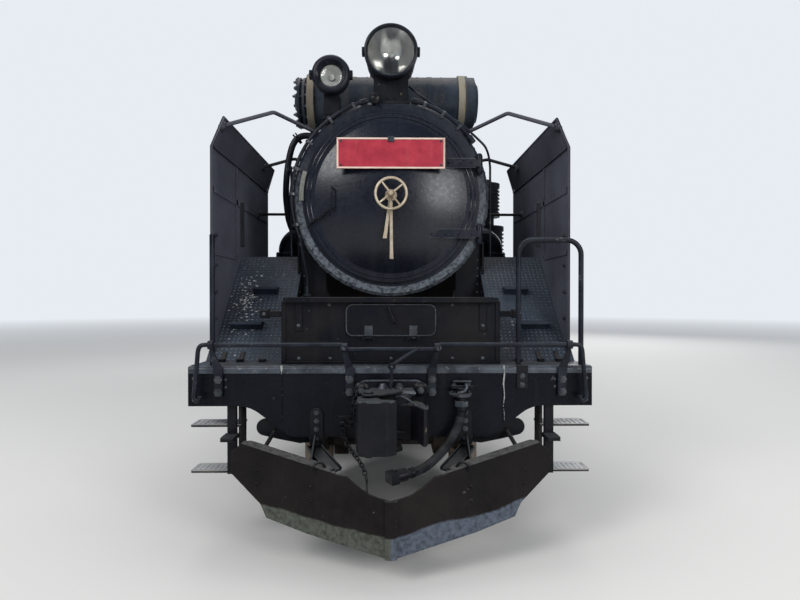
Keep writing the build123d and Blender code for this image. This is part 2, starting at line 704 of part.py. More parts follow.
# Slide bars, held by the cylinder cover in front and the motion bracket behind
slide_bars = []
for side in (-1, 1):
    near = cylinder_z + side * slide_bar_gap
    far = cylinder_z + side * slide_bar_half
    slide_bars.append(block(bar_in, bar_out, cylinder_rear + bar_seat, slide_bar_end, min(near, far), max(near, far)))
nodes["slide_bars"] = fuse([both_sides(bar) for bar in slide_bars])
bracket_plate = 50
bracket_low = cylinder_z - slide_bar_half - 50
bracket_leg_in = main_rod_plane[1] + moving_gap
bracket_out = valve_gear_plane[0] - 20
bracket_arch = 1640
board_low = board_top - board_plate
bracket_outline = [
    (frame_inner, frame_top), (frame_outer, frame_top), (frame_outer, bracket_arch), (bar_in, bracket_arch),
    (bar_in, cylinder_z + slide_bar_half), (bracket_leg_in, cylinder_z + slide_bar_half),
    (bracket_leg_in, cylinder_z - slide_bar_half), (bar_in, cylinder_z - slide_bar_half),
    (bar_in, bracket_low), (bracket_out, bracket_low), (bracket_out, board_low), (frame_inner, board_low),
]
bracket = cross_plate(bracket_outline, slide_bar_end - 30, slide_bar_end + bracket_plate - 30)
bracket -= block(bar_in, bar_out, slide_bar_end - 31, slide_bar_end,
                 cylinder_z - slide_bar_half - 1, cylinder_z + slide_bar_half + 1)
bracket -= barrel_mass
nodes["motion_brackets"] = both_sides(bracket)

# Wheelsets: two wheels and the crank pins pressed on one axle
crank_places = {
    # side: station offset and height offset of the crank pin at rest
    1: (-crank_radius, 0),
    -1: (0, -crank_radius),
}
press_gap = 0.1
wheel_face = 655
web_thin = 20
web_hole_count = 9
web_hole_radius = 100
web_hole_centre = 435
weight_chord = 400


def tyre(radius, side, station, z):
    inner = side * wheel_back_half
    ring_piece = round_x(radius + flange_depth, inner, inner + side * flange_width, station, z)
    ring_piece += round_x(radius, inner, inner + side * tyre_width, station, z)
    ring_piece -= round_x(radius - tyre_thickness, inner - side, inner + side * (tyre_width + 1), station, z)
    return ring_piece


def driving_wheel(side, station, weight_line):
    z = cylinder_z
    rim_radius = driver_radius - tyre_thickness
    web_inner = side * (wheel_back_half + web_thin)
    web_outer = side * (wheel_back_half + tyre_width - web_thin)
    web = round_x(rim_radius, web_inner, web_outer, station, z)
    pin_ds, pin_dz = crank_places[side]
    pin_angle = math.atan2(pin_dz, pin_ds)
    for index in range(web_hole_count):
        angle = pin_angle + 2 * math.pi * (index + 0.5) / web_hole_count
        web -= round_x(web_hole_radius, web_inner - side, web_outer + side,
                       station + web_hole_centre * math.cos(angle), z + web_hole_centre * math.sin(angle))
    weight = round_x(rim_radius + 2, web_outer - side * 5, web_outer + side * 30, station, z)
    weight -= Pos(0, y_at(station), z) * Rot(math.degrees(pin_angle + math.pi), 0, 0) * Pos(
        0, weight_line - 1000, 0) * Box(3000, 2000, 3000)
    wheel = web + tyre(driver_radius, side, station, z) + weight
    wheel += round_x(175, side * wheel_back_half, side * wheel_face, station, z)
    wheel += round_x(150, web_inner, side * (side_rod_plane[0] - moving_gap), station + pin_ds, z + pin_dz)
    wheel -= round_x(axle_radius + press_gap, side * (wheel_back_half - 1), side * (wheel_face + 1), station, z)
    wheel -= round_x(crank_pin_radius + press_gap, web_inner - side, side * side_rod_plane[0],
                     station + pin_ds, z + pin_dz)
    return wheel


def crank_pin(side, station):
    pin_ds, pin_dz = crank_places[side]
    cap_start = side_rod_plane[1] + 4
    pin = round_x(crank_pin_radius, side * (wheel_back_half + web_thin), side * cap_start,
                  station + pin_ds, cylinder_z + pin_dz)
    pin += round_x(crank_pin_radius + 22, side * cap_start, side * (cap_start + pin_cap),
                   station + pin_ds, cylinder_z + pin_dz)
    return pin


weight_lines = {"front": weight_chord + 60, "main": weight_chord, "rear": weight_chord + 60}
for (name, weight_line), station in zip(weight_lines.items(), driving_stations):
    wheelset = [round_x(axle_radius, -wheel_face, wheel_face, station, cylinder_z)]
    for side in (-1, 1):
        wheelset.append(driving_wheel(side, station, weight_line))
        wheelset.append(crank_pin(side, station))
    nodes[name + "_driving_wheelset"] = fuse(wheelset)

truck_z = flange_depth + truck_wheel_radius
truck_hub_radius = 115
spoke_count = 10


def truck_wheel(side, station):
    wheel = tyre(truck_wheel_radius, side, station, truck_z)
    spoke_inner = side * (wheel_back_half + 40)
    spoke_outer = side * (wheel_back_half + tyre_width - 40)
    root = truck_hub_radius - 10
    tip = truck_wheel_radius - tyre_thickness + 4
    spoke = side_plate([(-34, root), (34, root), (24, tip), (-24, tip)],
                       min(spoke_inner, spoke_outer), max(spoke_inner, spoke_outer))
    spoke = Pos(0, middle_station, 0) * spoke
    for index in range(spoke_count):
        wheel += Pos(0, y_at(station), truck_z) * Rot(360 * index / spoke_count, 0, 0) * spoke
    hub_outer = wheel_back_half + tyre_width + 10
    wheel += round_x(truck_hub_radius, side * wheel_back_half, side * hub_outer, station, truck_z)
    wheel -= round_x(truck_axle_radius + press_gap, side * (wheel_back_half - 1), side * (hub_outer + 1),
                     station, truck_z)
    return wheel


trailing_journal = 800
truck_axle_reach = {
    "leading": (leading_station, wheel_back_half + tyre_width + 10),
    "trailing": (trailing_station, trailing_journal),
}
for name, (station, reach) in truck_axle_reach.items():
    wheelset = [round_x(truck_axle_radius, -reach, reach, station, truck_z)]
    for side in (-1, 1):
        wheelset.append(truck_wheel(side, station))
    nodes[name + "_wheelset"] = fuse(wheelset)

# Side rods, level at every turn of the wheels, fluted between their bosses
rod_half = 62
rod_boss = 118
flute_half = 36
flute_depth = 14
for side, label in ((1, "left"), (-1, "right")):
    pin_ds, pin_dz = crank_places[side]
    rod_z = cylinder_z + pin_dz
    x0 = side_rod_plane[0]
    x1 = side_rod_plane[1]
    rod = block(side * (x0 + 14), side * (x1 - 14), driving_stations[0] + pin_ds, driving_stations[2] + pin_ds,
                rod_z - rod_half, rod_z + rod_half)
    for front, rear in zip(driving_stations, driving_stations[1:]):
        for low, high in ((x0 + 13, x0 + 14 + flute_depth), (x1 - 14 - flute_depth, x1 - 13)):
            rod -= block(side * low, side * high, front + pin_ds + 200, rear + pin_ds - 200,
                         rod_z - flute_half, rod_z + flute_half)
    for station in driving_stations:
        rod += round_x(rod_boss, side * x0, side * x1, station + pin_ds, rod_z)
        rod += round_z(30, rod_z + rod_boss - 15, rod_z + rod_boss + 45, side * (x0 + x1) / 2, station + pin_ds)
    for station in driving_stations:
        rod -= round_x(crank_pin_radius + journal_clearance, side * (x0 - 5), side * (x1 + 5),
                       station + pin_ds, rod_z)
    nodes["side_rod_" + label] = rod

# Crossheads with their piston rods, and main rods with the return cranks
wrist_pin_radius = 45
crosshead_half = 150
slipper_depth = 36
slide_play = 0.3
cheek = 14
small_eye = 78
big_eye = 132
rod_side = 20
return_throw = 115
return_lead = 90
wrists = {}
for side, label in ((1, "left"), (-1, "right")):
    pin_ds, pin_dz = crank_places[side]
    reach = math.sqrt(main_rod_length ** 2 - pin_dz ** 2)
    wrist = driving_stations[1] + pin_ds - reach
    wrists[label] = wrist
    x0 = main_rod_plane[0]
    x1 = main_rod_plane[1]
    slipper = slide_bar_gap - slide_play
    crosshead = block(side * x0, side * x1, wrist - crosshead_half, wrist + crosshead_half,
                      cylinder_z + slipper - slipper_depth, cylinder_z + slipper)
    crosshead += block(side * x0, side * x1, wrist - crosshead_half, wrist + crosshead_half,
                       cylinder_z - slipper, cylinder_z - slipper + slipper_depth)
    cheek_outline = [
        (wrist - crosshead_half, cylinder_z - 70), (wrist - 90, cylinder_z - slipper + 10),
        (wrist + 90, cylinder_z - slipper + 10), (wrist + 105, cylinder_z - 80), (wrist + 105, cylinder_z + 80),
        (wrist + 90, cylinder_z + slipper - 10), (wrist - 90, cylinder_z + slipper - 10),
        (wrist - crosshead_half, cylinder_z + 70),
    ]
    for low, high in ((x0, x0 + cheek), (x1 - cheek, x1)):
        crosshead += side_plate(cheek_outline, min(side * low, side * high), max(side * low, side * high))
    crosshead += round_x(wrist_pin_radius, side * x0, side * x1, wrist, cylinder_z)
    crosshead += block(side * x0, side * x1, wrist - crosshead_half - 35, wrist - 100, cylinder_z - 70,
                       cylinder_z + 70)
    crosshead += round_y(piston_rod_radius, cylinder_front + 110 + (wrist - wrists["left"]), wrist - 100,
                         side * cylinder_x, cylinder_z)
    nodes["crosshead_" + label] = crosshead
    angle = math.degrees(math.atan2(pin_dz, reach))
    inner = x0 + rod_side
    outer = x1 - rod_side
    low_x, high_x = sorted((side * inner, side * outer))
    place = Pos(0, y_at(wrist), cylinder_z) * Rot(angle, 0, 0) * Pos(0, middle_station, 0)
    rod = side_plate([(0, -46), (main_rod_length, -66), (main_rod_length, 66), (0, 46)], low_x, high_x)
    rod += round_x(small_eye, low_x, high_x, 0, 0)
    rod += round_x(big_eye, side * x0, side * x1, main_rod_length, 0)
    rod += block(side * x0, side * x1, main_rod_length - 150, main_rod_length, -112, 112)
    for low, high in ((inner - 1, inner + 8), (outer - 8, outer + 1)):
        rod -= side_plate([(150, -26), (main_rod_length - 230, -40), (main_rod_length - 230, 40), (150, 26)],
                          min(side * low, side * high), max(side * low, side * high))
    rod -= round_x(wrist_pin_radius + journal_clearance, low_x - 20, high_x + 20, 0, 0)
    rod = place * rod
    # The return crank leans from the crank pin towards the axle
    crank_start = side * x1
    crank_end = side * (x1 + return_crank_thickness)
    pin = (driving_stations[1] + pin_ds, cylinder_z + pin_dz)
    pin_turn = math.atan2(pin_dz, pin_ds)
    end = (driving_stations[1] + return_throw * math.cos(pin_turn + math.radians(return_lead)),
           cylinder_z + return_throw * math.sin(pin_turn + math.radians(return_lead)))
    rod += link_bar(pin, end, 52, 58, min(crank_start, crank_end), max(crank_start, crank_end))
    nodes["main_rod_" + label] = rod

# Valve gear outside the motion, held by the running board: expansion link, eccentric rod, radius rod,
# combination lever and union link
gear_in, gear_out = valve_gear_plane
link_station = 4250
link_z = 1330
link_curve = 1400
link_half_height = 240
link_foot = (link_station + 25, 1010)
lever_pin = (2860, valve_chest_z)
lever_top = (2860, 1370)
lever_foot = (2860, 650)
weigh_shaft = (4020, 1700)
hanger_out = gear_out + 24
for side, label in ((1, "left"), (-1, "right")):
    pin_ds, pin_dz = crank_places[side]
    lead = math.atan2(pin_dz, pin_ds) + math.radians(return_lead)
    eccentric = (driving_stations[1] + return_throw * math.cos(lead), cylinder_z + return_throw * math.sin(lead))
    ring_station = link_station - link_curve
    link = round_x(link_curve + 42, gear_in, gear_out, ring_station, link_z)
    link -= round_x(link_curve - 42, gear_in - 1, gear_out + 1, ring_station, link_z)
    link = link & block(gear_in, gear_out, link_station - 200, link_station + 200,
                        link_z - link_half_height, link_z + link_half_height)
    slot = round_x(link_curve + 14, gear_in - 1, gear_out + 1, ring_station, link_z)
    slot -= round_x(link_curve - 14, gear_in - 2, gear_out + 2, ring_station, link_z)
    slot = slot & block(gear_in - 2, gear_out + 2, link_station - 200, link_station + 200,
                        link_z - link_half_height + 45, link_z + link_half_height - 45)
    gear = link - slot
    gear += link_bar((link_station, link_z - link_half_height + 20), link_foot, 24, 34, gear_in, gear_out)
    gear += link_bar(eccentric, link_foot, 26, 46, gear_in, gear_out)
    gear += link_bar((link_station, link_z + 60), lever_top, 24, 34, gear_in, gear_out)
    gear += link_bar(lever_top, lever_foot, 24, 32, gear_in, gear_out)
    gear += link_bar(lever_foot, (lever_foot[0] + 190, lever_foot[1]), 18, 28, gear_in, gear_out)
    gear += round_x(24, valve_chest_x, gear_out, lever_pin[0], lever_pin[1])
    gear += round_y(22, cylinder_rear + 40, lever_pin[0] + 30, valve_chest_x, valve_chest_z)
    gear += block(valve_chest_x - 40, valve_chest_x + 40, lever_pin[0] - 45, lever_pin[0] + 45,
                  valve_chest_z - 45, valve_chest_z + 45)
    hanger = side_plate([(link_station - 130, board_low), (link_station + 130, board_low),
                         (link_station + 45, link_z - 45), (link_station - 45, link_z - 45)], gear_out, hanger_out)
    gear += hanger
    gear += link_bar(weigh_shaft, (weigh_shaft[0] + 40, link_z + 72), 20, 30, gear_in, gear_out)
    gear += side_plate([(weigh_shaft[0] - 60, board_low), (weigh_shaft[0] + 60, board_low),
                        (weigh_shaft[0] + 35, weigh_shaft[1] - 35), (weigh_shaft[0] - 35, weigh_shaft[1] - 35)],
                       gear_out, hanger_out)
    gear = gear - nodes["cylinders"]
    if side == 1:
        left_gear = gear
    else:
        right_gear = mirror(gear, about=Plane.YZ)
nodes["valve_gear"] = left_gear + right_gear

# Reach rod from the weigh shaft to the cab, over the left running board
reach_rod_z = board_top + 90
reach_rod = link_bar((weigh_shaft[0], weigh_shaft[1] + 25), (weigh_shaft[0] + 60, reach_rod_z), 18, 28,
                     gear_in, gear_out)
reach_rod += block(gear_in + 8, gear_out - 8, weigh_shaft[0] + 60, cab_front_station, reach_rod_z - 20,
                   reach_rod_z + 20)
nodes["valve_gear"] += reach_rod
reach_slot = block(gear_in - 20, gear_out + 20, weigh_shaft[0] - 60, weigh_shaft[0] + 140, board_low - 1,
                   board_top + 1)

# Leading truck with inside bearings, and trailing truck with outside bearings
truck_eye_radius = 90
bearing_half = 120
bar_half = 70
bar_low = truck_z + 130
bar_high = truck_z + 190
axle_box_depth = 55
leaf_thickness = 14
leaves = [
    # half length, height over the bearing
    (230, 36), (180, 22), (130, 8), (90, -6),
]
for name, station, pivot, x_in, x_out in (
        ("leading", leading_station, leading_pivot_station, 330, 440),
        ("trailing", trailing_station, trailing_pivot_station, 690, 770)):
    toward = 1 if pivot > station else -1
    cross = 230 if name == "leading" else 530
    member = side_plate([
        (station - toward * 300, truck_z + 40), (station - toward * 300, truck_z + 100),
        (station - toward * 140, truck_z + 150), (station + toward * 140, truck_z + 150),
        (station + toward * 220, truck_z + 130), (station + toward * (cross + 30), truck_z + 130),
        (station + toward * (cross + 30), truck_z + 40), (station + toward * 190, truck_z + 40),
        (station + toward * bearing_half, truck_z - bearing_half),
        (station - toward * bearing_half, truck_z - bearing_half),
        (station - toward * 190, truck_z + 40),
    ], x_in, x_out)
    for half, rise in leaves:
        low = truck_z + 160 + rise
        member += block(x_in + 10, x_out - 10, station - half, station + half, low, low + leaf_thickness)
    member += block(x_in + 10, x_out - 10, station - 40, station + 40, truck_z + 140, truck_z + 215)
    if name == "trailing":
        member += block(x_out, x_out + axle_box_depth, station - 95, station + 95, truck_z - 90, truck_z + 110)
    truck = both_sides(member)
    cross_near = station + toward * (cross - 30)
    cross_far = station + toward * (cross + 30)
    truck += block(-x_out, x_out, cross_near, cross_far, truck_z + 40, truck_z + 130)
    radius_bar = block(-bar_half, bar_half, cross_near, pivot, bar_low, bar_high)
    radius_bar += block(-bar_half, bar_half, cross_near, cross_far, truck_z + 100, bar_high)
    radius_bar += round_z(truck_eye_radius, bar_low - 10, bar_high + 10, 0, pivot)
    truck += radius_bar
    truck -= round_z(truck_pivot_radius + journal_clearance, truck_z, truck_z + 300, 0, pivot)
    reach = truck_axle_reach[name][1]
    truck -= round_x(truck_axle_radius + journal_clearance, -reach - 1, reach + 1, station, truck_z)
    nodes[name + "_truck_frame"] = truck

# Snowplow under the beam: two plates that meet at the nose
plow_half = 943
plow_nose = -450
plow_end = -110
plow_plate = 12
plow_top = 474
plow_bottom = 155
plow_turn = math.degrees(math.atan2(plow_end - plow_nose, plow_half))
plow_share = math.hypot(plow_end - plow_nose, plow_half) / plow_half
plow_outline = [
    # distance from the nose, height
    (0, plow_bottom), (478, 235), (720, 293), (758, 369), (plow_half, 528), (937, 659), (879, 705),
    (309, 585), (247, 586), (180, 534), (119, 497), (0, plow_top),
]
plow_face = Plane.XZ * flat_face([(x * plow_share, z) for x, z in plow_outline])
plow_side = extrude(plow_face, amount=plow_plate, dir=(0, 1, 0))
plow_side = Pos(0, y_at(plow_nose), 0) * Rot(0, 0, plow_turn) * plow_side
plow_side = plow_side & block(0, 2 * plow_half, 2 * plow_nose, deck_depth, 0, beam_top)
plow = both_sides(plow_side)
nose_half = 35
plow += block(-nose_half, nose_half, plow_nose - 4, plow_nose + 25, plow_bottom, plow_top)
brace_x = 450
brace_plate = 16
brace = side_plate([(-300, 540), (-260, 620), (0, 780), (0, 860), (-40, 860), (-320, 600)],
                   brace_x, brace_x + brace_plate)
brace += block(brace_x, brace_x + brace_plate, -300, 0, 560, 620)
outer_brace_x = 770
brace += link_bar((-180, 640), (15, 820), 26, 42, outer_brace_x, outer_brace_x + brace_plate)
plow += both_sides(brace)
nodes["snowplow"] = plow - nodes["front_beam"]

# Step hangers under the beam ends, and the steps below the cab doors
tread_plate = 12
step_groups = [
    # hanger x, hanger front, hanger rear, hanger low, hanger high, tread outer x, tread heights
    (925, 60, 200, 470, beam_top, 1225, (498, 780)),
    (1180, 9820, 10260, 470, cab_bottom, 1360, (482, 800, 1110)),
]
hanger_plate = 15
steps = []
for hanger_x, front, rear, low, high, outer, treads in step_groups:
    hanger = block(hanger_x, hanger_x + hanger_plate, front, rear, low, high)
    for z in treads:
        hanger += block(hanger_x, outer, front - 20, rear + 20, z - tread_plate, z)
    steps.append(both_sides(hanger - nodes["front_beam"]))
cab_step_beam = block(frame_outer, 1195, 10000, 10080, truck_frame_bottom + 20, frame_top - 20)
steps[1] += both_sides(cab_step_beam)
nodes["step_hangers"] = fuse(steps)

# Uncoupling lever across the beam
lever_station = -70
lever_radius = 12
lever_high = 1292
lever_mid = 1265
lever_end = 1200
lever_points = [
    (lever_end, 1110), (lever_end + 15, 1270), (1150, lever_high), (280, lever_high), (240, lever_mid),
    (-240, lever_mid), (-280, lever_high), (-1150, lever_high), (-lever_end - 15, 1270), (-lever_end, 1110),
]
rod_parts = [pipe([(x, lever_station, z) for x, z in lever_points], lever_radius, 18)]
for x in (-1075, -255, 255, 1075):
    rod_parts.append(block(x - 30, x + 30, -12, 0, 970, 1120))
    rod_parts.append(side_plate([(-12, 1090), (0, 1120), (lever_station + 15, lever_high + 18),
                                 (lever_station - 15, lever_high + 18)], x - 10, x + 10))
lever = fuse(rod_parts)
lever += pipe([(20, lever_station, lever_mid), (60, lever_station - 40, 1230), (-10, -205, lug_high + 10)], 11, 15)
nodes["uncoupling_lever"] = lever - nodes["front_beam"] - nodes["coupler_body"]

# Handrails: the inverted U on the left of the beam, one upright on the right, and the boiler rails
rail_radius = 16
rail_station = 60
boiler_rail_x = 795
boiler_rail_z = 2500
beam_rail = pipe([(790, rail_station, deck_floor), (790, rail_station, 1918), (1180, rail_station, 1918),
                  (1180, rail_station, deck_floor)], rail_radius, 90)
upright = pipe([(-1100, rail_station, deck_floor), (-1100, rail_station, 1950)], rail_radius)
boiler_rail = pipe([(boiler_rail_x, smokebox_rear + 10, boiler_rail_z),
                    (boiler_rail_x, cab_front_station, boiler_rail_z)], rail_radius)
for station in (2810, 4200, 5800, 7400):
    boiler_rail += pipe([(640, station, boiler_rail_z), (boiler_rail_x, station, boiler_rail_z)], 10)
for shape in boiler_shapes:
    boiler_rail -= shape
nodes["handrails"] = both_sides(boiler_rail) + [beam_rail, upright]

# Brake pipe with its angle cock, the hose and the hose coupling
cock_x = 420
cock_z = 980
angle_cock = round_y(32, -70, 0, cock_x, cock_z) + round_z(34, cock_z - 75, cock_z + 45, cock_x, -80)
angle_cock += block(cock_x - 60, cock_x + 75, -90, -70, cock_z + 45, cock_z + 57)
hose_radius = 26
hose_route = [
    (420, -80, 905), (412, -86, 840), (385, -100, 770), (340, -125, 700), (280, -155, 640),
    (215, -190, 592), (150, -225, 566), (85, -255, 560),
]


def cord_radii(route):
    places = [Vector(*point) for point in route]
    radii = []
    for before, here, after in zip(places, places[1:], places[2:]):
        shorter = min((here - before).length, (after - here).length)
        turn = math.radians((here - before).get_angle(after - here))
        radii.append(0.45 * shorter / math.tan(turn / 2))
    return radii


hose_places = [Vector(x, y_at(station), z) for x, station, z in hose_route]
hose_radii = cord_radii(hose_route)
print("hose bend radii", [round(radius) for radius in hose_radii])
hose_path = FilletPolyline(*hose_places, radius=hose_radii)
hose = sweep(Plane(origin=hose_path @ 0, z_dir=hose_path % 0) * Circle(hose_radius), path=hose_path)
print("hose length", round(hose_path.length), "volume share",
      round(hose.volume / (math.pi * hose_radius ** 2 * hose_path.length), 4))
nodes["brake_hose"] = hose
nodes["angle_cock"] = angle_cock - hose
end_plane = Plane(origin=hose_path @ 1, z_dir=hose_path % 1)
socket_length = 60
nodes["hose_coupling"] = extrude(end_plane * Circle(36), amount=socket_length) + extrude(
    end_plane.offset(socket_length) * Rectangle(90, 60), amount=50)

# Cab: side walls with windows and doorways
door_front = 9720
door_rear = 10360
door_sill = cab_floor_top
door_head = 3150
window_sill = 2380
window_head = 2980
window_frame = 30
window_proud = 12
windows = [
    # front, rear
    (8520, 9020), (9100, 9600),
]
wall_in = cab_half_width - cab_wall
cab_side = block(wall_in, cab_half_width, cab_front_station, cab_rear_station, cab_bottom, cab_eaves)
for front, rear in windows:
    cab_side += block(cab_half_width, cab_half_width + window_proud, front - window_frame, rear + window_frame,
                      window_sill - window_frame, window_head + window_frame)
    cab_side -= block(wall_in - 1, cab_half_width + window_proud + 1, front, rear, window_sill, window_head)
cab_side -= block(wall_in - 1, cab_half_width + 1, door_front, door_rear, door_sill, door_head)
door_pin_x = cab_half_width - cab_wall / 2
door_pin_station = door_front + 24
door_hinge_pin = 8
door_hinge_reach = 36
for low, high in ((door_sill, door_sill + door_hinge_reach), (door_head - door_hinge_reach, door_head)):
    cab_side += round_z(door_hinge_pin, low, high, door_pin_x, door_pin_station)
nodes["cab_sides"] = both_sides(cab_side)

# Cab end walls under the arched roof
roof_plate = 30
roof_overhang = 60
rear_overhang = 30
eave_lip = 30
roof_arc = ThreePointArc((-wall_in, cab_eaves), (0, cab_roof_top - roof_plate), (wall_in, cab_eaves))
end_edges = [
    roof_arc, Line((wall_in, cab_eaves), (wall_in, cab_bottom)), Line((wall_in, cab_bottom), (-wall_in, cab_bottom)),
    Line((-wall_in, cab_bottom), (-wall_in, cab_eaves)),
]
end_face = make_face(Wire(end_edges))


def end_wall(front, rear):
    return extrude(Plane.XZ.offset(-y_at(front)) * end_face, amount=rear - front, dir=(0, 1, 0))


front_pane_x = 980
front_pane_half = 190
rear_pane_half = 250
gangway_half = 330
gangway_top = 3100
cab_front = end_wall(cab_front_station, cab_front_station + cab_wall)
cab_front -= firebox_mass
cab_front -= block(-firebox_radius, firebox_radius, firebox_step, firebox_rear, 0, firebox_front_bottom)
cab_rear = end_wall(cab_rear_station - cab_wall, cab_rear_station)
for x in (-front_pane_x, front_pane_x):
    cab_front -= block(x - front_pane_half, x + front_pane_half, cab_front_station - 1,
                       cab_front_station + cab_wall + 1, 2560, 3060)
    cab_rear -= block(x - rear_pane_half, x + rear_pane_half, cab_rear_station - cab_wall - 1,
                      cab_rear_station + 1, window_sill, window_head)
cab_rear -= block(-gangway_half, gangway_half, cab_rear_station - cab_wall - 1, cab_rear_station + 1,
                  cab_bottom - 1, gangway_top)

# Running boards, cut round what stands through them
steam_pipe_x = valve_chest_x
steam_pipe_radius = 100
steam_station = 2150
steam_elbow_z = 2130
steam = pipe([(smokebox_x(steam_elbow_z) - 120, steam_station, steam_elbow_z),
              (steam_pipe_x, steam_station, steam_elbow_z),
              (steam_pipe_x, steam_station, valve_chest_z + 100)], steam_pipe_radius, 130)
steam += round_z(steam_pipe_radius + 25, steam_elbow_z - 190, steam_elbow_z - 150, steam_pipe_x, steam_station)
steam -= smokebox_mass
running_board -= steam
board_pair = both_sides(running_board) - reach_slot
nodes["running_boards"] = board_pair - nodes["valve_gear"]
cab_front -= nodes["running_boards"]
cab_front -= reach_rod
nodes["cab_ends"] = cab_front + cab_rear
nodes["valve_gear"] -= block(cab_half_width - 400, cab_half_width, cab_front_station, cab_rear_station, board_top,
                             board_top + 200)

# Arched cab roof with its ventilator and rain strips
roof_out = cab_half_width + eave_lip
outer_arc = ThreePointArc((-roof_out, cab_eaves), (0, cab_roof_top), (roof_out, cab_eaves))
roof_face = make_face(Wire([
    outer_arc, Line((roof_out, cab_eaves), (wall_in, cab_eaves)), roof_arc,
    Line((-wall_in, cab_eaves), (-roof_out, cab_eaves)),
]))
roof_front = cab_front_station - roof_overhang
roof_rear = cab_rear_station + rear_overhang
cab_roof = extrude(Plane.XZ.offset(-y_at(roof_front)) * roof_face, amount=roof_rear - roof_front, dir=(0, 1, 0))
vent_half = 320
vent_front = 8950
vent_rear = 9650
vent_rise = 75
cab_roof += block(-vent_half, vent_half, vent_front, vent_rear, cab_roof_top - 25, cab_roof_top + vent_rise)
cab_roof += block(-vent_half - 25, vent_half + 25, vent_front - 25, vent_rear + 25, cab_roof_top + vent_rise,
                  cab_roof_top + vent_rise + 14)
nodes["cab_roof"] = cab_roof

# Cab floor on its bearers
bearer_front = 8960
bearer_rear = 10300
cab_floor = block(-wall_in, wall_in, cab_front_station + cab_wall, cab_rear_station - cab_wall,
                  cab_floor_top - cab_floor_plate, cab_floor_top)
cab_floor += both_sides(block(frame_inner, frame_outer, bearer_front, bearer_rear, frame_top,
                              cab_floor_top - cab_floor_plate))
nodes["cab_floor"] = cab_floor - nodes["firebox"]

# Cab doors, hinged at their front edge and opening inwards
door_play = 6
door_face_gap = 5
for side, label in ((1, "left"), (-1, "right")):
    x0 = side * (wall_in + door_face_gap)
    x1 = side * (cab_half_width - door_face_gap)
    leaf = block(x0, x1, door_front + 30, door_rear - door_play, door_sill + door_play, door_head - door_play)
    leaf -= block(x0 - side * 50, x1 + side * 50, door_front + 130, door_rear - 110, window_sill, window_head)
    leaf -= block(x1 - side * 8, x1 + side * 1, door_front + 130, door_rear - 110, door_sill + 110, window_sill - 110)
    leaf += round_z(15, door_sill + door_play, door_head - door_play, side * door_pin_x, door_pin_station)
    for low, high in ((door_sill, door_sill + door_hinge_reach + 5), (door_head - door_hinge_reach - 5, door_head)):
        leaf -= round_z(door_hinge_pin + journal_clearance, low, high, side * door_pin_x, door_pin_station)
    nodes["cab_door_" + label] = leaf

pane = 6
panes = [block(door_pin_x - pane / 2, door_pin_x + pane / 2, front, rear, window_sill, window_head)
         for front, rear in windows]
nodes["cab_glass"] = fuse([both_sides(piece) for piece in panes])

# Backhead fittings: fire door, regulator, gauges, reversing stand, and the two seats
fire_door_z = 1850
regulator_z = 2720
seat_inner = cab_half_width - 540
seat_outer = cab_half_width - 140
seat_station = 9350
seat_top = 2030
fittings = round_y(190, firebox_rear, firebox_rear + 30, 0, fire_door_z)
fittings += block(-150, 150, firebox_rear + 30, firebox_rear + 50, fire_door_z - 120, fire_door_z + 120)
fittings += round_y(45, firebox_rear, firebox_rear + 90, 0, regulator_z)
fittings += block(-20, 420, firebox_rear + 90, firebox_rear + 110, regulator_z - 18, regulator_z + 18)
for x in (-420, -250, 250):
    fittings += round_y(70, firebox_rear, firebox_rear + 45, x, 2480)
for x in (-120, 120):
    fittings += round_z(20, 2150, 2420, x, firebox_rear + 55)
    fittings += block(x - 25, x + 25, firebox_rear, firebox_rear + 75, 2120, 2160)
    fittings += block(x - 25, x + 25, firebox_rear, firebox_rear + 75, 2410, 2450)
stand_x = cab_half_width - 300
stand = block(stand_x - 40, stand_x + 40, 8700, 8780, cab_floor_top, 2150)
stand += round_y(150, 8780, 8800, stand_x, 2150)
seats = both_sides(block(seat_inner, seat_outer, seat_station - 200, seat_station + 200, seat_top - 80, seat_top)
                   + block(seat_inner + 150, seat_outer - 150, seat_station - 50, seat_station + 50,
                           cab_floor_top, seat_top - 80))
nodes["cab_fittings"] = fuse([fittings, stand, seats])

# Air compressor and feedwater pump on the running boards
pumps = [
    # name, x, station, table of (radius, low, high) over the board
    ("air_compressor", 960, 2560, [(190, 0, 400), (205, 0, 30), (205, 370, 400), (105, 400, 500), (150, 500, 840),
                                   (165, 500, 525), (165, 815, 840), (80, 840, 880)]),
    ("feedwater_pump", -970, 5300, [(150, 0, 330), (165, 0, 30), (165, 300, 330), (80, 330, 450), (130, 450, 720),
                                    (145, 450, 475), (145, 695, 720)]),
]
for name, x, station, rounds in pumps:
    pump = round_z(rounds[0][0], board_top, board_top + rounds[0][2], x, station)
    for radius, low, high in rounds[1:]:
        pump += round_z(radius, board_top + low, board_top + high, x, station)
    pump += block(x * 0.65, x, station - 60, station + 60, board_top + 270, board_top + 350)
    for shape in boiler_shapes:
        pump -= shape
    nodes[name] = pump

# Air reservoirs hung below the running boards by straps
reservoir_x = 1010
reservoir_radius = 190
reservoir_front = 5800
reservoir_rear = 7900
reservoir_z = board_top - board_plate - edge_drop - reservoir_radius
reservoir = round_y(reservoir_radius, reservoir_front, reservoir_rear, reservoir_x, reservoir_z)
for station in (reservoir_front + 230, reservoir_rear - 230):
    reservoir += round_y(reservoir_radius + 8, station - 30, station + 30, reservoir_x, reservoir_z)
    reservoir += block(reservoir_x - 60, reservoir_x + 60, station - 30, station + 30, reservoir_z, board_low)
nodes["air_reservoirs"] = both_sides(reservoir)

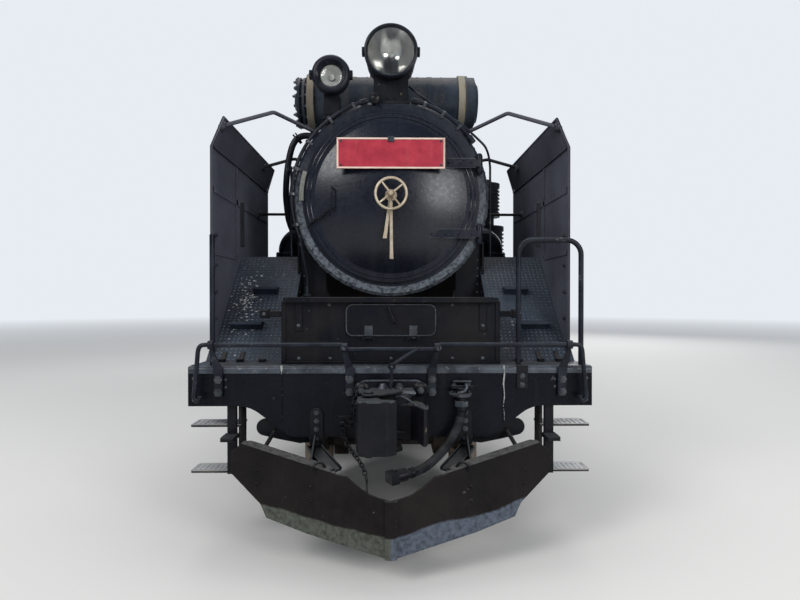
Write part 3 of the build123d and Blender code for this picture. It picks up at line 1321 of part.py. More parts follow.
# Turbo generator, safety valves and whistle on the firebox
fitting_base = boiler_centre + firebox_radius - 60
turbo_z = boiler_centre + firebox_radius + 190
turbo = round_x(130, -150, 150, 7700, turbo_z) + round_x(90, -230, 230, 7700, turbo_z)
turbo += block(-120, 120, 7620, 7780, fitting_base, turbo_z)
valves = fuse([round_z(75, fitting_base, fitting_base + 90, x, 6950) + round_z(52, fitting_base, 3370, x, 6950)
               for x in (-125, 125)])
whistle = round_z(18, fitting_base, 3300, 0, 7300) + round_z(38, 3290, 3430, 0, 7300)
nodes["boiler_top_fittings"] = fuse([turbo, valves, whistle]) - firebox_mass

# Pipework: steam pipes, feedwater pipe, sand pipes down the barrel, and the thin pipes by the smokebox
pipes = [both_sides(steam - nodes["cylinders"])]
feed_x = -874
feed = pipe([(heater_right + 20, heater_station, heater_z), (feed_x, heater_station, heater_z),
             (feed_x, heater_station, 2255), (-735, heater_station, board_top - 5)], 25, 60)
feed += round_z(48, board_top, board_top + 22, -735, heater_station)
pipes.append(feed - nodes["feedwater_heater"] - nodes["running_boards"])
thin_x = 762
thin_radius = 9
for side in (-1, 1):
    thin = pipe([(side * thin_x, 960, 2560), (side * thin_x, 960, 1890)], thin_radius)
    thin += block(side * smokebox_x(2450) * 0.97, side * thin_x, 950, 970, 2440, 2460)
    thin += block(side * smokebox_x(2060) * 0.97, side * thin_x, 950, 970, 2050, 2070)
    pipes.append(thin - smokebox_mass)
sand_radius = 20
for station, drift in ((3350, -60), (4900, 60)):
    for side in (-1, 1):
        arc = [(side * (barrel_radius + 30) * math.cos(math.radians(angle)),
                station, boiler_centre + (barrel_radius + 30) * math.sin(math.radians(angle)))
               for angle in (56, 22)]
        arc.append((side * (barrel_radius + 32), station + drift, board_top - 5))
        pipes.append(pipe(arc, sand_radius, 160) - barrel_shape - nodes["running_boards"])
nodes["pipework"] = fuse(pipes)

# Brake rigging: shoes and hangers behind the driving wheels, with the cross beams
shoe_radius = driver_radius + 10
shoe_depth = 50
shoe_half_angle = 20
shoe_drop = 8
shoe_in = wheel_back_half + flange_width + 12
shoe_out = wheel_back_half + tyre_width - 5
rigging = []
for station in driving_stations:
    ring = round_x(shoe_radius + shoe_depth, shoe_in, shoe_out, station, cylinder_z)
    ring -= round_x(shoe_radius, shoe_in - 1, shoe_out + 1, station, cylinder_z)
    wedge = side_plate([
        (0, 0), (1000, -1000 * math.tan(math.radians(shoe_half_angle + shoe_drop))),
        (1000, 1000 * math.tan(math.radians(shoe_half_angle - shoe_drop)))], shoe_in, shoe_out)
    shoe = ring & (Pos(0, middle_station + y_at(station), cylinder_z) * wedge)
    back = station + shoe_radius + shoe_depth
    shoe += block(shoe_in, shoe_out, back - 15, back + 45, cylinder_z - 240, frame_top + 20)
    low = cylinder_z - 240
    shoe += block(-1, shoe_out, back, back + 45, low, low + 60)
    shoe += block(frame_inner - 5, shoe_out, back, back + 45, frame_top, frame_top + 20)
    rigging.append(both_sides(shoe))
beams = fuse(rigging) - nodes["main_frame"]
nodes["brake_rigging"] = beams

for name, piece in nodes.items():
    export_step(piece, "parts/" + name + ".step")
print(len(nodes), "nodes written")
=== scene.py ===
import json
import math
import bmesh
import bpy
import numpy as np
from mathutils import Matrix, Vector

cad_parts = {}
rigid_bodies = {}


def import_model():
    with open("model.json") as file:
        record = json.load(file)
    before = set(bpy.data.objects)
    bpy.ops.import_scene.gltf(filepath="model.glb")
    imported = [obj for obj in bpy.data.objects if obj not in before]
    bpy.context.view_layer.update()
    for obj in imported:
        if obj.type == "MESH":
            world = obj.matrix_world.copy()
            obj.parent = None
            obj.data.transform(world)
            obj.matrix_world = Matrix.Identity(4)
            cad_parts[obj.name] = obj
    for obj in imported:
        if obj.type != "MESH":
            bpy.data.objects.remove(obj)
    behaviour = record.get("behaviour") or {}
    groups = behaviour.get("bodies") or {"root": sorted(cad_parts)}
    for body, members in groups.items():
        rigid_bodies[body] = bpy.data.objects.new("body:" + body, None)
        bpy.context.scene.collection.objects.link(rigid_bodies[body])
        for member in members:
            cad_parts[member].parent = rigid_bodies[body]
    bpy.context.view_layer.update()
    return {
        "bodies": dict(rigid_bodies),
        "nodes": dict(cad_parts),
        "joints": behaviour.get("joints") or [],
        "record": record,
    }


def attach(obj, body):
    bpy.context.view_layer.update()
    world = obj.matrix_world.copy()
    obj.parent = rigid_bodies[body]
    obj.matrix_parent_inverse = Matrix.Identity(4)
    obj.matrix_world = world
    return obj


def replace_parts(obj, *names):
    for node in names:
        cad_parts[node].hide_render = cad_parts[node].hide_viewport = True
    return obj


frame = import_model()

nodes = frame["nodes"]
middleStation = 5.085            # the beam's front face lies this far ahead of the engine's middle
boilerZ = 2.308
smokeboxRadius = 0.738
wheelZ = 0.788                   # driving axles
randomDraw = np.random.default_rng(7)


def at(x, station, z):
    # points from x, the station behind the beam's face, and z; each may be a number or an array
    x, station, z = np.broadcast_arrays(*[np.asarray(value, float) for value in (x, station, z)])
    return np.stack([x, station - middleStation, z], -1)


# directions of the engine
toFront, toRear, toTop, toGround = (0, -1, 0), (0, 1, 0), (0, 0, 1), (0, 0, -1)
toLeft, toRight = (1, 0, 0), (-1, 0, 0)


def sweep(first, last, count):
    # that many angles in radians from one number of degrees to another
    return np.radians(np.linspace(first, last, count))


def sweepBy(first, end, step):
    # angles in radians, a step of so many degrees apart, up to the end but not with it
    return np.radians(np.arange(first, end, step))


def wholeTurn(count):
    # angles evenly spaced round a circle
    return np.linspace(0, 2 * np.pi, count, endpoint=False)


def outward(angle, side=1):
    # unit vectors square to the engine's length: the cosine points to the side, the sine up
    return np.stack([side * np.cos(angle), 0 * angle, np.sin(angle)], -1)


def ringAt(x, station, z, radius, angle, plane="cross"):
    # points on a circle round that place, as seen from the front, from the side or from above
    u, v = radius * np.cos(angle), radius * np.sin(angle)
    if plane == "side":
        return at(x, station + u, z + v)
    return at(x + u, station + v, z) if plane == "plan" else at(x + u, station, z + v)


def addObject(name, data):
    made = bpy.data.objects.new(name, data)
    bpy.context.scene.collection.objects.link(made)
    return made


# Camera, at the photo's angle
cameraSettings = {
    "station": -3.65, "height": 1.578, "x": 0.0,
    "focalPixels": 600.0, "imageWidth": 800, "sensorWidth": 36.0,
    "turnRightDegrees": 0.86, "tiltDownDegrees": 0.48,
}


def makeCamera(s):
    data = bpy.data.cameras.new("viewCamera")
    data.sensor_width = s["sensorWidth"]
    data.lens = s["focalPixels"] / s["imageWidth"] * s["sensorWidth"]
    data.clip_end = 200
    cameraObject = addObject("viewCamera", data)
    cameraObject.location = at(s["x"], s["station"], s["height"])
    cameraObject.rotation_euler = (math.radians(90 - s["tiltDownDegrees"]), 0,
        math.radians(-s["turnRightDegrees"]))
    bpy.context.scene.camera = cameraObject


makeCamera(cameraSettings)
print("camera set")


# Shapes: each is its points and its faces

def gridFaces(rows, columns, closeRows=False, closeColumns=False):
    # the four-sided faces of a grid of points, row by row; a closed way joins its last line to its first
    r = np.arange(rows if closeRows else rows - 1)[:, None]
    c = np.arange(columns if closeColumns else columns - 1)[None, :]
    r2, c2 = (r + 1) % rows, (c + 1) % columns
    quads = np.stack(np.broadcast_arrays(r * columns + c, r * columns + c2, r2 * columns + c2,
            r2 * columns + c), -1)
    return quads.reshape(-1, 4).tolist()


def crossAxes(axis):
    # two unit vectors square to the axis, for one axis or for a row of them
    axis = axis / np.linalg.norm(axis, axis=-1, keepdims=True)
    helper = np.where(np.abs(axis[..., 2:3]) < 0.9, np.array([0, 0, 1.0]), np.array([1.0, 0, 0]))
    first = np.cross(axis, helper)
    first = first / np.linalg.norm(first, axis=-1, keepdims=True)
    return first, np.cross(axis, first)


def turned(profile, centre, axis, sides=32, loop=False):
    # each (along, radius) of the profile sweeps a circle round the axis
    along, radius = np.asarray(profile, float).T
    axis = np.asarray(axis, float) / np.linalg.norm(axis)
    first, second = crossAxes(axis)
    angle = wholeTurn(sides)
    circle = np.cos(angle)[:, None] * first + np.sin(angle)[:, None] * second
    points = np.asarray(centre, float) + along[:, None, None] * axis + radius[:, None, None] * circle
    return points.reshape(-1, 3), gridFaces(len(along), sides, loop, True)


def solid(profile, centre, axis, sides=32):
    # a turned profile whose two ends are closed with flat discs
    return turned([(profile[0][0], 0), *profile, (profile[-1][0], 0)], centre, axis, sides)


def ringShape(low, high, inner, outer, centre, axis, sides=32):
    # a turned rectangle, between two heights and two radii
    return turned([(low, inner), (low, outer), (high, outer), (high, inner)], centre, axis, sides, True)


def carried(section, path, upward=None, loop=False):
    # the section's (side, up) offsets ride along the path, square to its direction
    path = np.asarray(path, float)
    heading = np.roll(path, -1, 0) - np.roll(path, 1, 0) if loop else np.gradient(path, axis=0)
    heading /= np.linalg.norm(heading, axis=1, keepdims=True)
    if upward is None:
        upward = (0.137, 0.291, 0.947)
    side = np.cross(heading, np.broadcast_to(np.asarray(upward, float), heading.shape))
    side /= np.linalg.norm(side, axis=1, keepdims=True)
    up = np.cross(side, heading)
    section = np.asarray(section, float)
    if section.ndim == 2:
        section = np.broadcast_to(section, (len(path), *section.shape))
    points = path[:, None] + section[..., :1] * side[:, None] + section[..., 1:] * up[:, None]
    count = section.shape[1]
    faces = gridFaces(len(path), count, loop, True)
    if not loop:
        faces += [list(range(count))[::-1], list(range((len(path) - 1) * count, len(path) * count))]
    return points.reshape(-1, 3), faces


def tube(path, radius, sides=10, loop=False):
    # a circle of that radius carried along the path; the radius may change along it
    angle = wholeTurn(sides)
    circle = np.stack([np.cos(angle), np.sin(angle)], -1)
    radius = np.broadcast_to(np.asarray(radius, float), (len(path),))
    return carried(radius[:, None, None] * circle, path, None, loop)


def bar(path, width, thickness, upward, chamfer=0.002):
    # a flat bar with broken corners carried along the path
    w, t, c = width / 2, thickness / 2, min(chamfer, thickness * 0.3)
    section = [(-w, -t + c), (-w + c, -t), (w - c, -t), (w, -t + c), (w, t - c), (w - c, t), (-w + c, t),
        (-w, t - c)]
    return carried(section, path, upward)


def smoothPath(points, steps=8):
    # a smooth curve through the points: every span blends its four neighbours with cubics
    p = np.asarray(points, float)
    p = np.concatenate([[2 * p[0] - p[1]], p, [2 * p[-1] - p[-2]]])
    t = np.linspace(0, 1, steps, endpoint=False)[None, :, None]
    a, b, c, d = [p[i:len(p) - 3 + i, None, :] for i in range(4)]
    spans = 0.5 * (2 * b + (c - a) * t + (2 * a - 5 * b + 4 * c - d) * t ** 2
        + (3 * b - a - 3 * c + d) * t ** 3)
    return np.concatenate([spans.reshape(-1, 3), p[-2:-1]])


def arc(radius, startDegrees, endDegrees, count, station, x=0.0, z=boilerZ):
    # points round a line that runs fore and aft
    return ringAt(x, station, z, radius, sweep(startDegrees, endDegrees, count))


def plate(outline, plane, low, high, chamfer=0.003):
    # a flat outline, drawn in by the chamfer at both faces, carried through its thickness
    flat = np.asarray(outline, float)
    step = np.roll(flat, -1, 0) - flat
    area = np.sum(flat[:, 0] * np.roll(flat[:, 1], -1) - flat[:, 1] * np.roll(flat[:, 0], -1))
    normal = np.stack([step[:, 1], -step[:, 0]], -1) * np.sign(area)
    normal /= np.linalg.norm(normal, axis=1, keepdims=True)
    before = np.roll(normal, 1, 0)
    miter = (normal + before) / np.maximum(1 + np.sum(normal * before, 1, keepdims=True), 0.3)
    chamfer = min(chamfer, abs(high - low) * 0.4)
    levels = np.array([low, low + chamfer, high - chamfer, high])
    drawn = np.array([1.0, 0, 0, 1.0]) * chamfer
    u, v = np.moveaxis(flat[None] - drawn[:, None, None] * miter[None], -1, 0)
    w = np.broadcast_to(levels[:, None], u.shape)
    points = {"cross": at(u, w, v), "side": at(w, u, v), "plan": at(u, v, w)}[plane]
    count = len(flat)
    faces = gridFaces(4, count, False, True) + [list(range(count))[::-1], list(range(3 * count, 4 * count))]
    return points.reshape(-1, 3), faces


def roundRect(width, height, radius, u=0.0, v=0.0, steps=5):
    # a rectangle with round corners, as four quarter circles
    angle = np.linspace(0, np.pi / 2, steps)[None] + np.arange(4)[:, None] * np.pi / 2
    cornerU = np.array([1, -1, -1, 1])[:, None] * (width / 2 - radius)
    cornerV = np.array([1, 1, -1, -1])[:, None] * (height / 2 - radius)
    return np.stack([u + cornerU + radius * np.cos(angle), v + cornerV + radius * np.sin(angle)],
        -1).reshape(-1, 2)


def boxShape(x0, x1, s0, s1, z0, z1, chamfer=0.003):
    # a rectangle seen from the front, carried from one station to another
    return plate([(x0, z0), (x1, z0), (x1, z1), (x0, z1)], "cross", s0, s1, chamfer)


# Small heads that are stamped many times, one unit in radius, standing along their own axis
headProfiles = {
    # (height, radius) pairs, sides
    "hex": ([(-0.1, 1.0), (0.62, 1.0), (0.78, 0.84), (0.8, 0.0)], 6),
    "nut": ([(-0.1, 1.35), (0.14, 1.35), (0.16, 1.0), (0.8, 1.0), (0.86, 0.6), (1.25, 0.55), (1.28, 0.0)], 6),
    "rivet": ([(-0.1, 1.0), (0.25, 0.94), (0.5, 0.66), (0.62, 0.0)], 8),
    "screw": ([(-0.1, 1.0), (0.3, 1.0), (0.38, 0.88), (0.38, 0.0)], 12),
    "tread": ([(-0.1, 1.0), (0.25, 0.7), (0.25, 0.0)], 6),
}


def stamped(kind, places, normals, size, stretch=(1.0, 1.0), along=None):
    # one head copied to every place, stood on the surface there; stretch lengthens it over the surface
    profile, sides = headProfiles[kind]
    height, radius = np.asarray(profile, float).T
    places = np.asarray(places, float).reshape(-1, 3)
    normals = np.broadcast_to(np.asarray(normals, float), places.shape)
    normals = normals / np.linalg.norm(normals, axis=1, keepdims=True)
    if along is None:
        first, second = crossAxes(normals)
    else:
        first = np.broadcast_to(np.asarray(along, float), places.shape)
        first = first / np.linalg.norm(first, axis=1, keepdims=True)
        second = np.cross(normals, first)
    size = np.broadcast_to(np.asarray(size, float), (len(places),))[:, None, None, None]
    angle = wholeTurn(sides)
    u, v = stretch[0] * np.cos(angle)[:, None], stretch[1] * np.sin(angle)[:, None]
    circle = u * first[:, None, None] + v * second[:, None, None]
    points = places[:, None, None] + size * (height[:, None, None] * normals[:, None, None]
        + radius[:, None, None] * circle)
    one = np.array(gridFaces(len(height), sides, False, True))
    count = len(height) * sides
    faces = (np.arange(len(places))[:, None, None] * count + one).reshape(-1, 4)
    return points.reshape(-1, 3), faces.tolist()


def treadField(across, along, z, pitch, size, width):
    # raised strokes on a square grid, which lean to one side and the other by turns
    x, station = [grid.ravel() for grid in np.meshgrid(np.arange(*across, pitch), np.arange(*along, pitch))]
    odd = (np.arange(len(x)) + np.round(station / pitch).astype(int)) % 2 == 0
    return [stamped("tread", at(x[odd == flag], station[odd == flag], z), toTop, size, (1.0, width),
        (1.0 if flag else -1.0, 0.8, 0)) for flag in (True, False)]


def mirrored(shape):
    # x changes its sign, and the faces run the other way round
    points, faces = shape
    return points * np.array([-1, 1, 1]), [face[::-1] for face in faces]


def bothSides(shapes):
    # the shapes with their mirror images
    return shapes + [mirrored(shape) for shape in shapes]


def addPiece(name, shapes, material, body="root", smoothDegrees=35.0):
    # one object of all the shapes; edges that bend by more than smoothDegrees stay sharp
    allPoints, allFaces, start = [], [], 0
    for points, faces in shapes:
        allPoints.append(points)
        allFaces += [[index + start for index in face] for face in faces]
        start += len(points)
    mesh = bpy.data.meshes.new(name)
    mesh.from_pydata(np.concatenate(allPoints).tolist(), [], allFaces)
    shell = bmesh.new()
    shell.from_mesh(mesh)
    bmesh.ops.remove_doubles(shell, verts=shell.verts, dist=1e-6)
    bmesh.ops.recalc_face_normals(shell, faces=shell.faces)
    shell.to_mesh(mesh)
    shell.free()
    mesh.shade_smooth()
    mesh.set_sharp_from_angle(angle=math.radians(smoothDegrees))
    mesh.materials.append(material)
    piece = addObject(name, mesh)
    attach(piece, body)
    return piece


# Materials

def addNode(tree, kind, inputs=None, **settings):
    # a shader node; each input is a constant or another node's output
    made = tree.nodes.new("ShaderNode" + kind)
    for key, value in settings.items():
        setattr(made, key, value)
    for key, value in (inputs or {}).items():
        if isinstance(value, bpy.types.NodeSocket):
            tree.links.new(value, made.inputs[key])
        else:
            made.inputs[key].default_value = value
    return made


def noiseOf(tree, vector, scale, detail=4.0, roughness=0.55):
    return addNode(tree, "TexNoise",
        {"Vector": vector, "Scale": scale, "Detail": detail, "Roughness": roughness}).outputs[0]


def stretched(tree, vector, scale):
    return addNode(tree, "Mapping", {"Vector": vector, "Scale": scale}).outputs[0]


def between(tree, value, low, high, toLow=0.0, toHigh=1.0):
    # a straight ramp from one value to another, held level outside them
    return addNode(tree, "MapRange", {0: value, 1: low, 2: high, 3: toLow, 4: toHigh}).outputs[0]


def reckon(tree, operation, first, second=0.0):
    return addNode(tree, "Math", {0: first, 1: second}, operation=operation).outputs[0]


def times(tree, product, *factors):
    # the product of all the values
    for factor in factors:
        product = reckon(tree, "MULTIPLY", product, factor)
    return product


def mixColour(tree, factor, first, second):
    inputs = {0: factor}
    for key, value in ((6, first), (7, second)):
        inputs[key] = value if isinstance(value, bpy.types.NodeSocket) else (*value, 1.0)
    return addNode(tree, "Mix", inputs, data_type="RGBA").outputs[2]


def mixNumber(tree, factor, first, second):
    return addNode(tree, "Mix", {0: factor, 2: first, 3: second}).outputs[0]


def newMaterial(name):
    material = bpy.data.materials.new(name)
    material.use_nodes = True
    tree = material.node_tree
    return material, tree, tree.nodes["Principled BSDF"], addNode(tree, "TexCoord").outputs["Object"]


paintDefaults = {
    "base": (0.0042, 0.005, 0.0075), "second": (0.011, 0.013, 0.018), "patchScale": 2.2,
    "rough": (0.3, 0.48), "metal": 0.0, "shine": 0.13, "coat": 0.05, "coatRough": 0.2,
    "streak": 0.35, "streakColour": (0.04, 0.038, 0.037),
    "chips": 0.69, "chipScale": 9.0, "chipColour": (0.12, 0.115, 0.11),
    "dust": 0.5, "dustColour": (0.1, 0.096, 0.088),
    "mud": 0.0, "mudTop": 1.1, "mudColour": (0.16, 0.13, 0.1),
    "pits": 0.0012, "pitScale": 55.0, "lumps": 0.003, "lumpScale": 6.0,
    "marks": [],
}


def makePaint(name, **changes):
    # weathered paint: patches, streaks that run down, chips, dust on what faces up and mud low down
    look = {**paintDefaults, **changes}
    material, tree, shader, coords = newMaterial(name)
    geometry = addNode(tree, "NewGeometry")
    place = addNode(tree, "SeparateXYZ", {0: coords})
    facing = addNode(tree, "SeparateXYZ", {0: geometry.outputs["Normal"]})
    patches = noiseOf(tree, coords, look["patchScale"], 6.0, 0.6)
    fine = noiseOf(tree, coords, 38.0, 5.0, 0.65)
    colour = mixColour(tree, between(tree, patches, 0.38, 0.66), look["base"], look["second"])
    rough = mixNumber(tree, between(tree, fine, 0.3, 0.7), *look["rough"])

    def layer(mask, layerColour, layerRough):
        nonlocal colour, rough
        colour = mixColour(tree, mask, colour, layerColour)
        rough = mixNumber(tree, mask, rough, layerRough)

    if look["streak"] > 0:
        runs = noiseOf(tree, stretched(tree, coords, (11.0, 11.0, 0.8)), 1.0, 5.0, 0.6)
        sideways = between(tree, reckon(tree, "ABSOLUTE", facing.outputs[2]), 0.75, 0.35)
        layer(times(tree, between(tree, runs, 0.54, 0.74), sideways, look["streak"]),
            look["streakColour"], 0.62)
    if look["dust"] > 0:
        settled = times(tree, between(tree, facing.outputs[2], 0.35, 0.95),
            between(tree, noiseOf(tree, coords, 3.1, 6.0, 0.7), 0.32, 0.68))
        layer(times(tree, settled, look["dust"]), look["dustColour"], 0.85)
    if look["mud"] > 0:
        low = times(tree, between(tree, place.outputs[2], look["mudTop"], look["mudTop"] - 0.9),
            between(tree, noiseOf(tree, coords, 5.0, 7.0, 0.7), 0.4, 0.66))
        layer(times(tree, low, look["mud"]), look["mudColour"], 0.9)
    if look["chips"] < 1:
        flakes = noiseOf(tree, coords, look["chipScale"], 9.0, 0.72)
        layer(between(tree, flakes, look["chips"], look["chips"] + 0.015), look["chipColour"], 0.6)
    for mark in look["marks"]:
        mask, markColour, markRough = mark(tree, place, facing, fine, patches)
        layer(mask, markColour, markRough)
    tree.links.new(colour, shader.inputs["Base Color"])
    tree.links.new(rough, shader.inputs["Roughness"])
    shader.inputs["Metallic"].default_value = look["metal"]
    shader.inputs["Specular IOR Level"].default_value = look["shine"]
    shader.inputs["Coat Weight"].default_value = look["coat"]
    shader.inputs["Coat Roughness"].default_value = look["coatRough"]
    lumps = addNode(tree, "Bump", {"Height": noiseOf(tree, coords, look["lumpScale"], 3.0, 0.5),
            "Strength": 0.6, "Distance": look["lumps"]})
    pits = addNode(tree, "Bump", {"Height": noiseOf(tree, coords, look["pitScale"], 6.0, 0.7), "Strength": 0.8,
            "Distance": look["pits"], "Normal": lumps.outputs[0]})
    tree.links.new(pits.outputs[0], shader.inputs["Normal"])
    return material


def bandMask(tree, first, second, low, high, soft):
    # one where the distance, the root of both squares' sum, lies between low and high
    radius = reckon(tree, "SQRT", reckon(tree, "ADD", times(tree, first, first), times(tree, second, second)))
    return times(tree, between(tree, radius, low, low + soft), between(tree, radius, high + soft, high))


def ringMark(centreZ, low, high, colour, lowerOnly=0.0):
    # worn band round the boiler's line, from one radius to another, on what faces forwards
    def mark(tree, place, facing, fine, patches):
        dz = reckon(tree, "SUBTRACT", place.outputs[2], centreZ)
        inside = bandMask(tree, dz, place.outputs[0], low, high, 0.006)
        front = between(tree, facing.outputs[1], -0.3, -0.6)
        worn = between(tree, fine, 0.34, 0.56)
        drop = between(tree, dz, 0.35, -0.3, 1 - lowerOnly, 1.0)
        return times(tree, inside, front, times(tree, worn, drop)), colour, 0.55
    return mark


def treadMark(station, centreZ, low, high, colour, roughness=0.3):
    # bare metal between two radii of a wheel
    def mark(tree, place, facing, fine, patches):
        dy = reckon(tree, "SUBTRACT", place.outputs[1], station - middleStation)
        dz = reckon(tree, "SUBTRACT", place.outputs[2], centreZ)
        inside = bandMask(tree, dy, dz, low, high, 0.003)
        return times(tree, inside, between(tree, fine, 0.2, 0.5, 0.55, 0.95)), colour, roughness
    return mark


def topMark(colour, amount, roughness=0.7, broken=(0.3, 0.55)):
    # what faces straight up is paler: partly wear and dust, partly a painted highlight of the sky above
    def mark(tree, place, facing, fine, patches):
        mask = times(tree, between(tree, facing.outputs[2], 0.85, 0.97), between(tree, fine, *broken))
        return times(tree, mask, amount), colour, roughness
    return mark


def innerSkyLightMark(colour, amount):
    # the faces that look towards the engine's middle line are paler in patches: painted sky light
    def mark(tree, place, facing, fine, patches):
        inward = between(tree, times(tree, place.outputs[0], facing.outputs[0]), -0.1, -0.6)
        mask = times(tree, inward, between(tree, patches, 0.25, 0.7, 0.4, 1.0))
        return times(tree, mask, amount), colour, 0.55
    return mark


def plowMark(side, colour, amount):
    # the band along the plow's foot, which rises from the nose to the ends
    def mark(tree, place, facing, fine, patches):
        out = reckon(tree, "ABSOLUTE", place.outputs[0])
        edge = reckon(tree, "ADD", times(tree, out, 0.145), 0.277)
        edge = reckon(tree, "ADD", edge, between(tree, patches, 0.3, 0.7, -0.02, 0.02))
        below = between(tree, reckon(tree, "SUBTRACT", edge, place.outputs[2]), 0.0, 0.012)
        half = between(tree, times(tree, place.outputs[0], side), -0.002, 0.002)
        mask = times(tree, below, half, between(tree, fine, 0.3, 0.6, 0.3, 1))
        return times(tree, mask, amount), colour, 0.75
    return mark


def makeGlass(name, tint, roughness):
    material, tree, shader, coords = newMaterial(name)
    film = noiseOf(tree, coords, 14.0, 6.0, 0.7)
    tree.links.new(mixColour(tree, between(tree, film, 0.45, 0.8), tint, [value * 0.75 for value in tint]),
        shader.inputs["Base Color"])
    tree.links.new(between(tree, film, 0.4, 0.8, roughness, roughness + 0.12), shader.inputs["Roughness"])
    shader.inputs["Transmission Weight"].default_value = 1.0
    shader.inputs["IOR"].default_value = 1.45
    return material


def makeMetal(name, base, second, rough, metal=1.0, scale=8.0, pits=0.0006, grime=0.5,
        grimeColour=(0.05, 0.04, 0.03)):
    # bare or plated metal with a film of grime in patches
    material, tree, shader, coords = newMaterial(name)
    patches = noiseOf(tree, coords, scale, 7.0, 0.65)
    fine = noiseOf(tree, coords, scale * 9, 5.0, 0.7)
    colour = mixColour(tree, between(tree, patches, 0.35, 0.65), base, second)
    dirt = times(tree, between(tree, noiseOf(tree, coords, scale * 0.6, 8.0, 0.7), 0.5, 0.68), grime)
    tree.links.new(mixColour(tree, dirt, colour, grimeColour), shader.inputs["Base Color"])
    tree.links.new(mixNumber(tree, dirt, between(tree, fine, 0.3, 0.7, *rough), 0.8),
        shader.inputs["Roughness"])
    shader.inputs["Metallic"].default_value = metal
    bump = addNode(tree, "Bump", {"Height": fine, "Strength": 0.7, "Distance": pits})
    tree.links.new(bump.outputs[0], shader.inputs["Normal"])
    return material


# Finishes, one for each kind of surface on the engine
dustTan = (0.13, 0.105, 0.08)
smokeboxBlack = makePaint("smokeboxBlack", base=(0.0028, 0.0042, 0.0085), second=(0.0095, 0.013, 0.02),
    rough=(0.26, 0.42), coat=0.1, shine=0.26, streak=0.25, chips=0.72,
    marks=[ringMark(boilerZ, 0.664, 0.74, (0.105, 0.12, 0.138), 0.97)])
doorBlack = makePaint("doorBlack", base=(0.0022, 0.0034, 0.008), second=(0.0062, 0.0086, 0.015), patchScale=1.6,
    rough=(0.22, 0.4), coat=0.12, shine=0.3, streak=0.2, streakColour=(0.0275, 0.0302, 0.0347), chips=0.705,
    lumps=0.002)
boilerBlack = makePaint("boilerBlack", rough=(0.34, 0.52), streak=0.5, chips=0.71, dust=0.55)
casingBlack = makePaint("casingBlack", base=(0.0024, 0.003, 0.0058), second=(0.0085, 0.0074, 0.0078),
    patchScale=3.4, chips=0.665, chipScale=16.0, dust=0.35, lumps=0.004, streak=0.12)
# beamBlack: its up-facing faces are paler, wear and dust with a painted sky highlight
beamBlack = makePaint("beamBlack", base=(0.0018, 0.002, 0.0048), second=(0.0046, 0.0052, 0.0088),
    rough=(0.2, 0.36), coat=0.04, chips=0.67, chipScale=22.0, chipColour=(0.075, 0.075, 0.075), dust=0.55,
    lumps=0.006, lumpScale=9.0, pits=0.0035, pitScale=26.0, marks=[topMark((0.1, 0.11, 0.12), 0.5)],
    streak=0.12, shine=0.1)
slopeBlack = makePaint("slopeBlack", base=(0.0095, 0.013, 0.021), second=(0.028, 0.038, 0.055),
    rough=(0.38, 0.55), chips=0.66, chipScale=12.0, chipColour=(0.165, 0.165, 0.1575), dust=0.6,
    dustColour=(0.06, 0.065, 0.0715), streak=0.45)
# the deflectors' inward faces carry painted sky light in patches
deflectorBlack = makePaint("deflectorBlack", base=(0.0075, 0.0072, 0.0088), second=(0.021, 0.0185, 0.0205),
    patchScale=1.7, rough=(0.42, 0.6), coat=0.1, streak=0.75, streakColour=(0.024, 0.02, 0.018), chips=0.67,
    chipScale=5.0, chipColour=(0.105, 0.0638, 0.0375), shine=0.15,
    marks=[innerSkyLightMark((0.104, 0.11, 0.142), 0.85)])
# plowBlack: the top mark paints the flange's top paler, wear with a painted highlight
plowBlack = makePaint("plowBlack", base=(0.004, 0.0032, 0.0036), second=(0.0085, 0.0066, 0.0068),
    rough=(0.45, 0.65), coat=0.05, chips=0.66, chipScale=14.0, chipColour=(0.0975, 0.0825, 0.0675), mud=0.1,
    mudTop=0.7, marks=[plowMark(-1, (0.078, 0.086, 0.072), 0.9), plowMark(1, (0.088, 0.106, 0.138), 0.9),
        topMark((0.1, 0.1, 0.1), 0.7)], streak=0.1, shine=0.1)
heaterBlack = makePaint("heaterBlack", base=(0.012, 0.018, 0.027), second=(0.036, 0.046, 0.06), patchScale=4.0,
    rough=(0.45, 0.62), coat=0.1, dust=0.95, dustColour=dustTan, streak=0.7, streakColour=(0.06, 0.052, 0.0448))
creamPaint = makePaint("creamPaint", base=(0.22, 0.2, 0.155), second=(0.13, 0.115, 0.09), rough=(0.5, 0.7),
    coat=0.0, streak=0.8, streakColour=(0.14, 0.1, 0.07), chips=0.62, chipColour=(0.1, 0.08, 0.06), dust=0.3)
# castBlack: its up-facing faces are paler, dust with a painted highlight
castBlack = makePaint("castBlack", base=(0.002, 0.0022, 0.0042), second=(0.006, 0.006, 0.0082), patchScale=7.0,
    rough=(0.42, 0.62), coat=0.1, chips=0.66, chipScale=18.0, chipColour=(0.1125, 0.09, 0.0675), lumps=0.004,
    lumpScale=18.0, pits=0.0018, marks=[topMark((0.055, 0.058, 0.062), 0.75)], streak=0.08)
framePaint = makePaint("framePaint", base=(0.0059, 0.0059, 0.007), second=(0.02, 0.0173, 0.017),
    rough=(0.55, 0.75), coat=0.0, chips=0.65, chipColour=(0.12, 0.0638, 0.03), dust=0.8, mud=0.7, streak=0.5,
    streakColour=(0.045, 0.0286, 0.0168))
cabBlack = makePaint("cabBlack", base=(0.0036, 0.0044, 0.0065), second=(0.011, 0.0119, 0.0156),
    rough=(0.32, 0.5), streak=0.55, chips=0.7, dust=0.6)
cabInside = makePaint("cabInside", base=(0.055, 0.095, 0.08), second=(0.08, 0.125, 0.105), rough=(0.4, 0.6),
    chips=0.66, chipColour=(0.12, 0.09, 0.06), dust=0.5)
floorSteel = makePaint("floorSteel", base=(0.03, 0.028, 0.026), second=(0.06, 0.052, 0.045), rough=(0.5, 0.7),
    coat=0.0, dust=0.9, dustColour=(0.16, 0.14, 0.12))
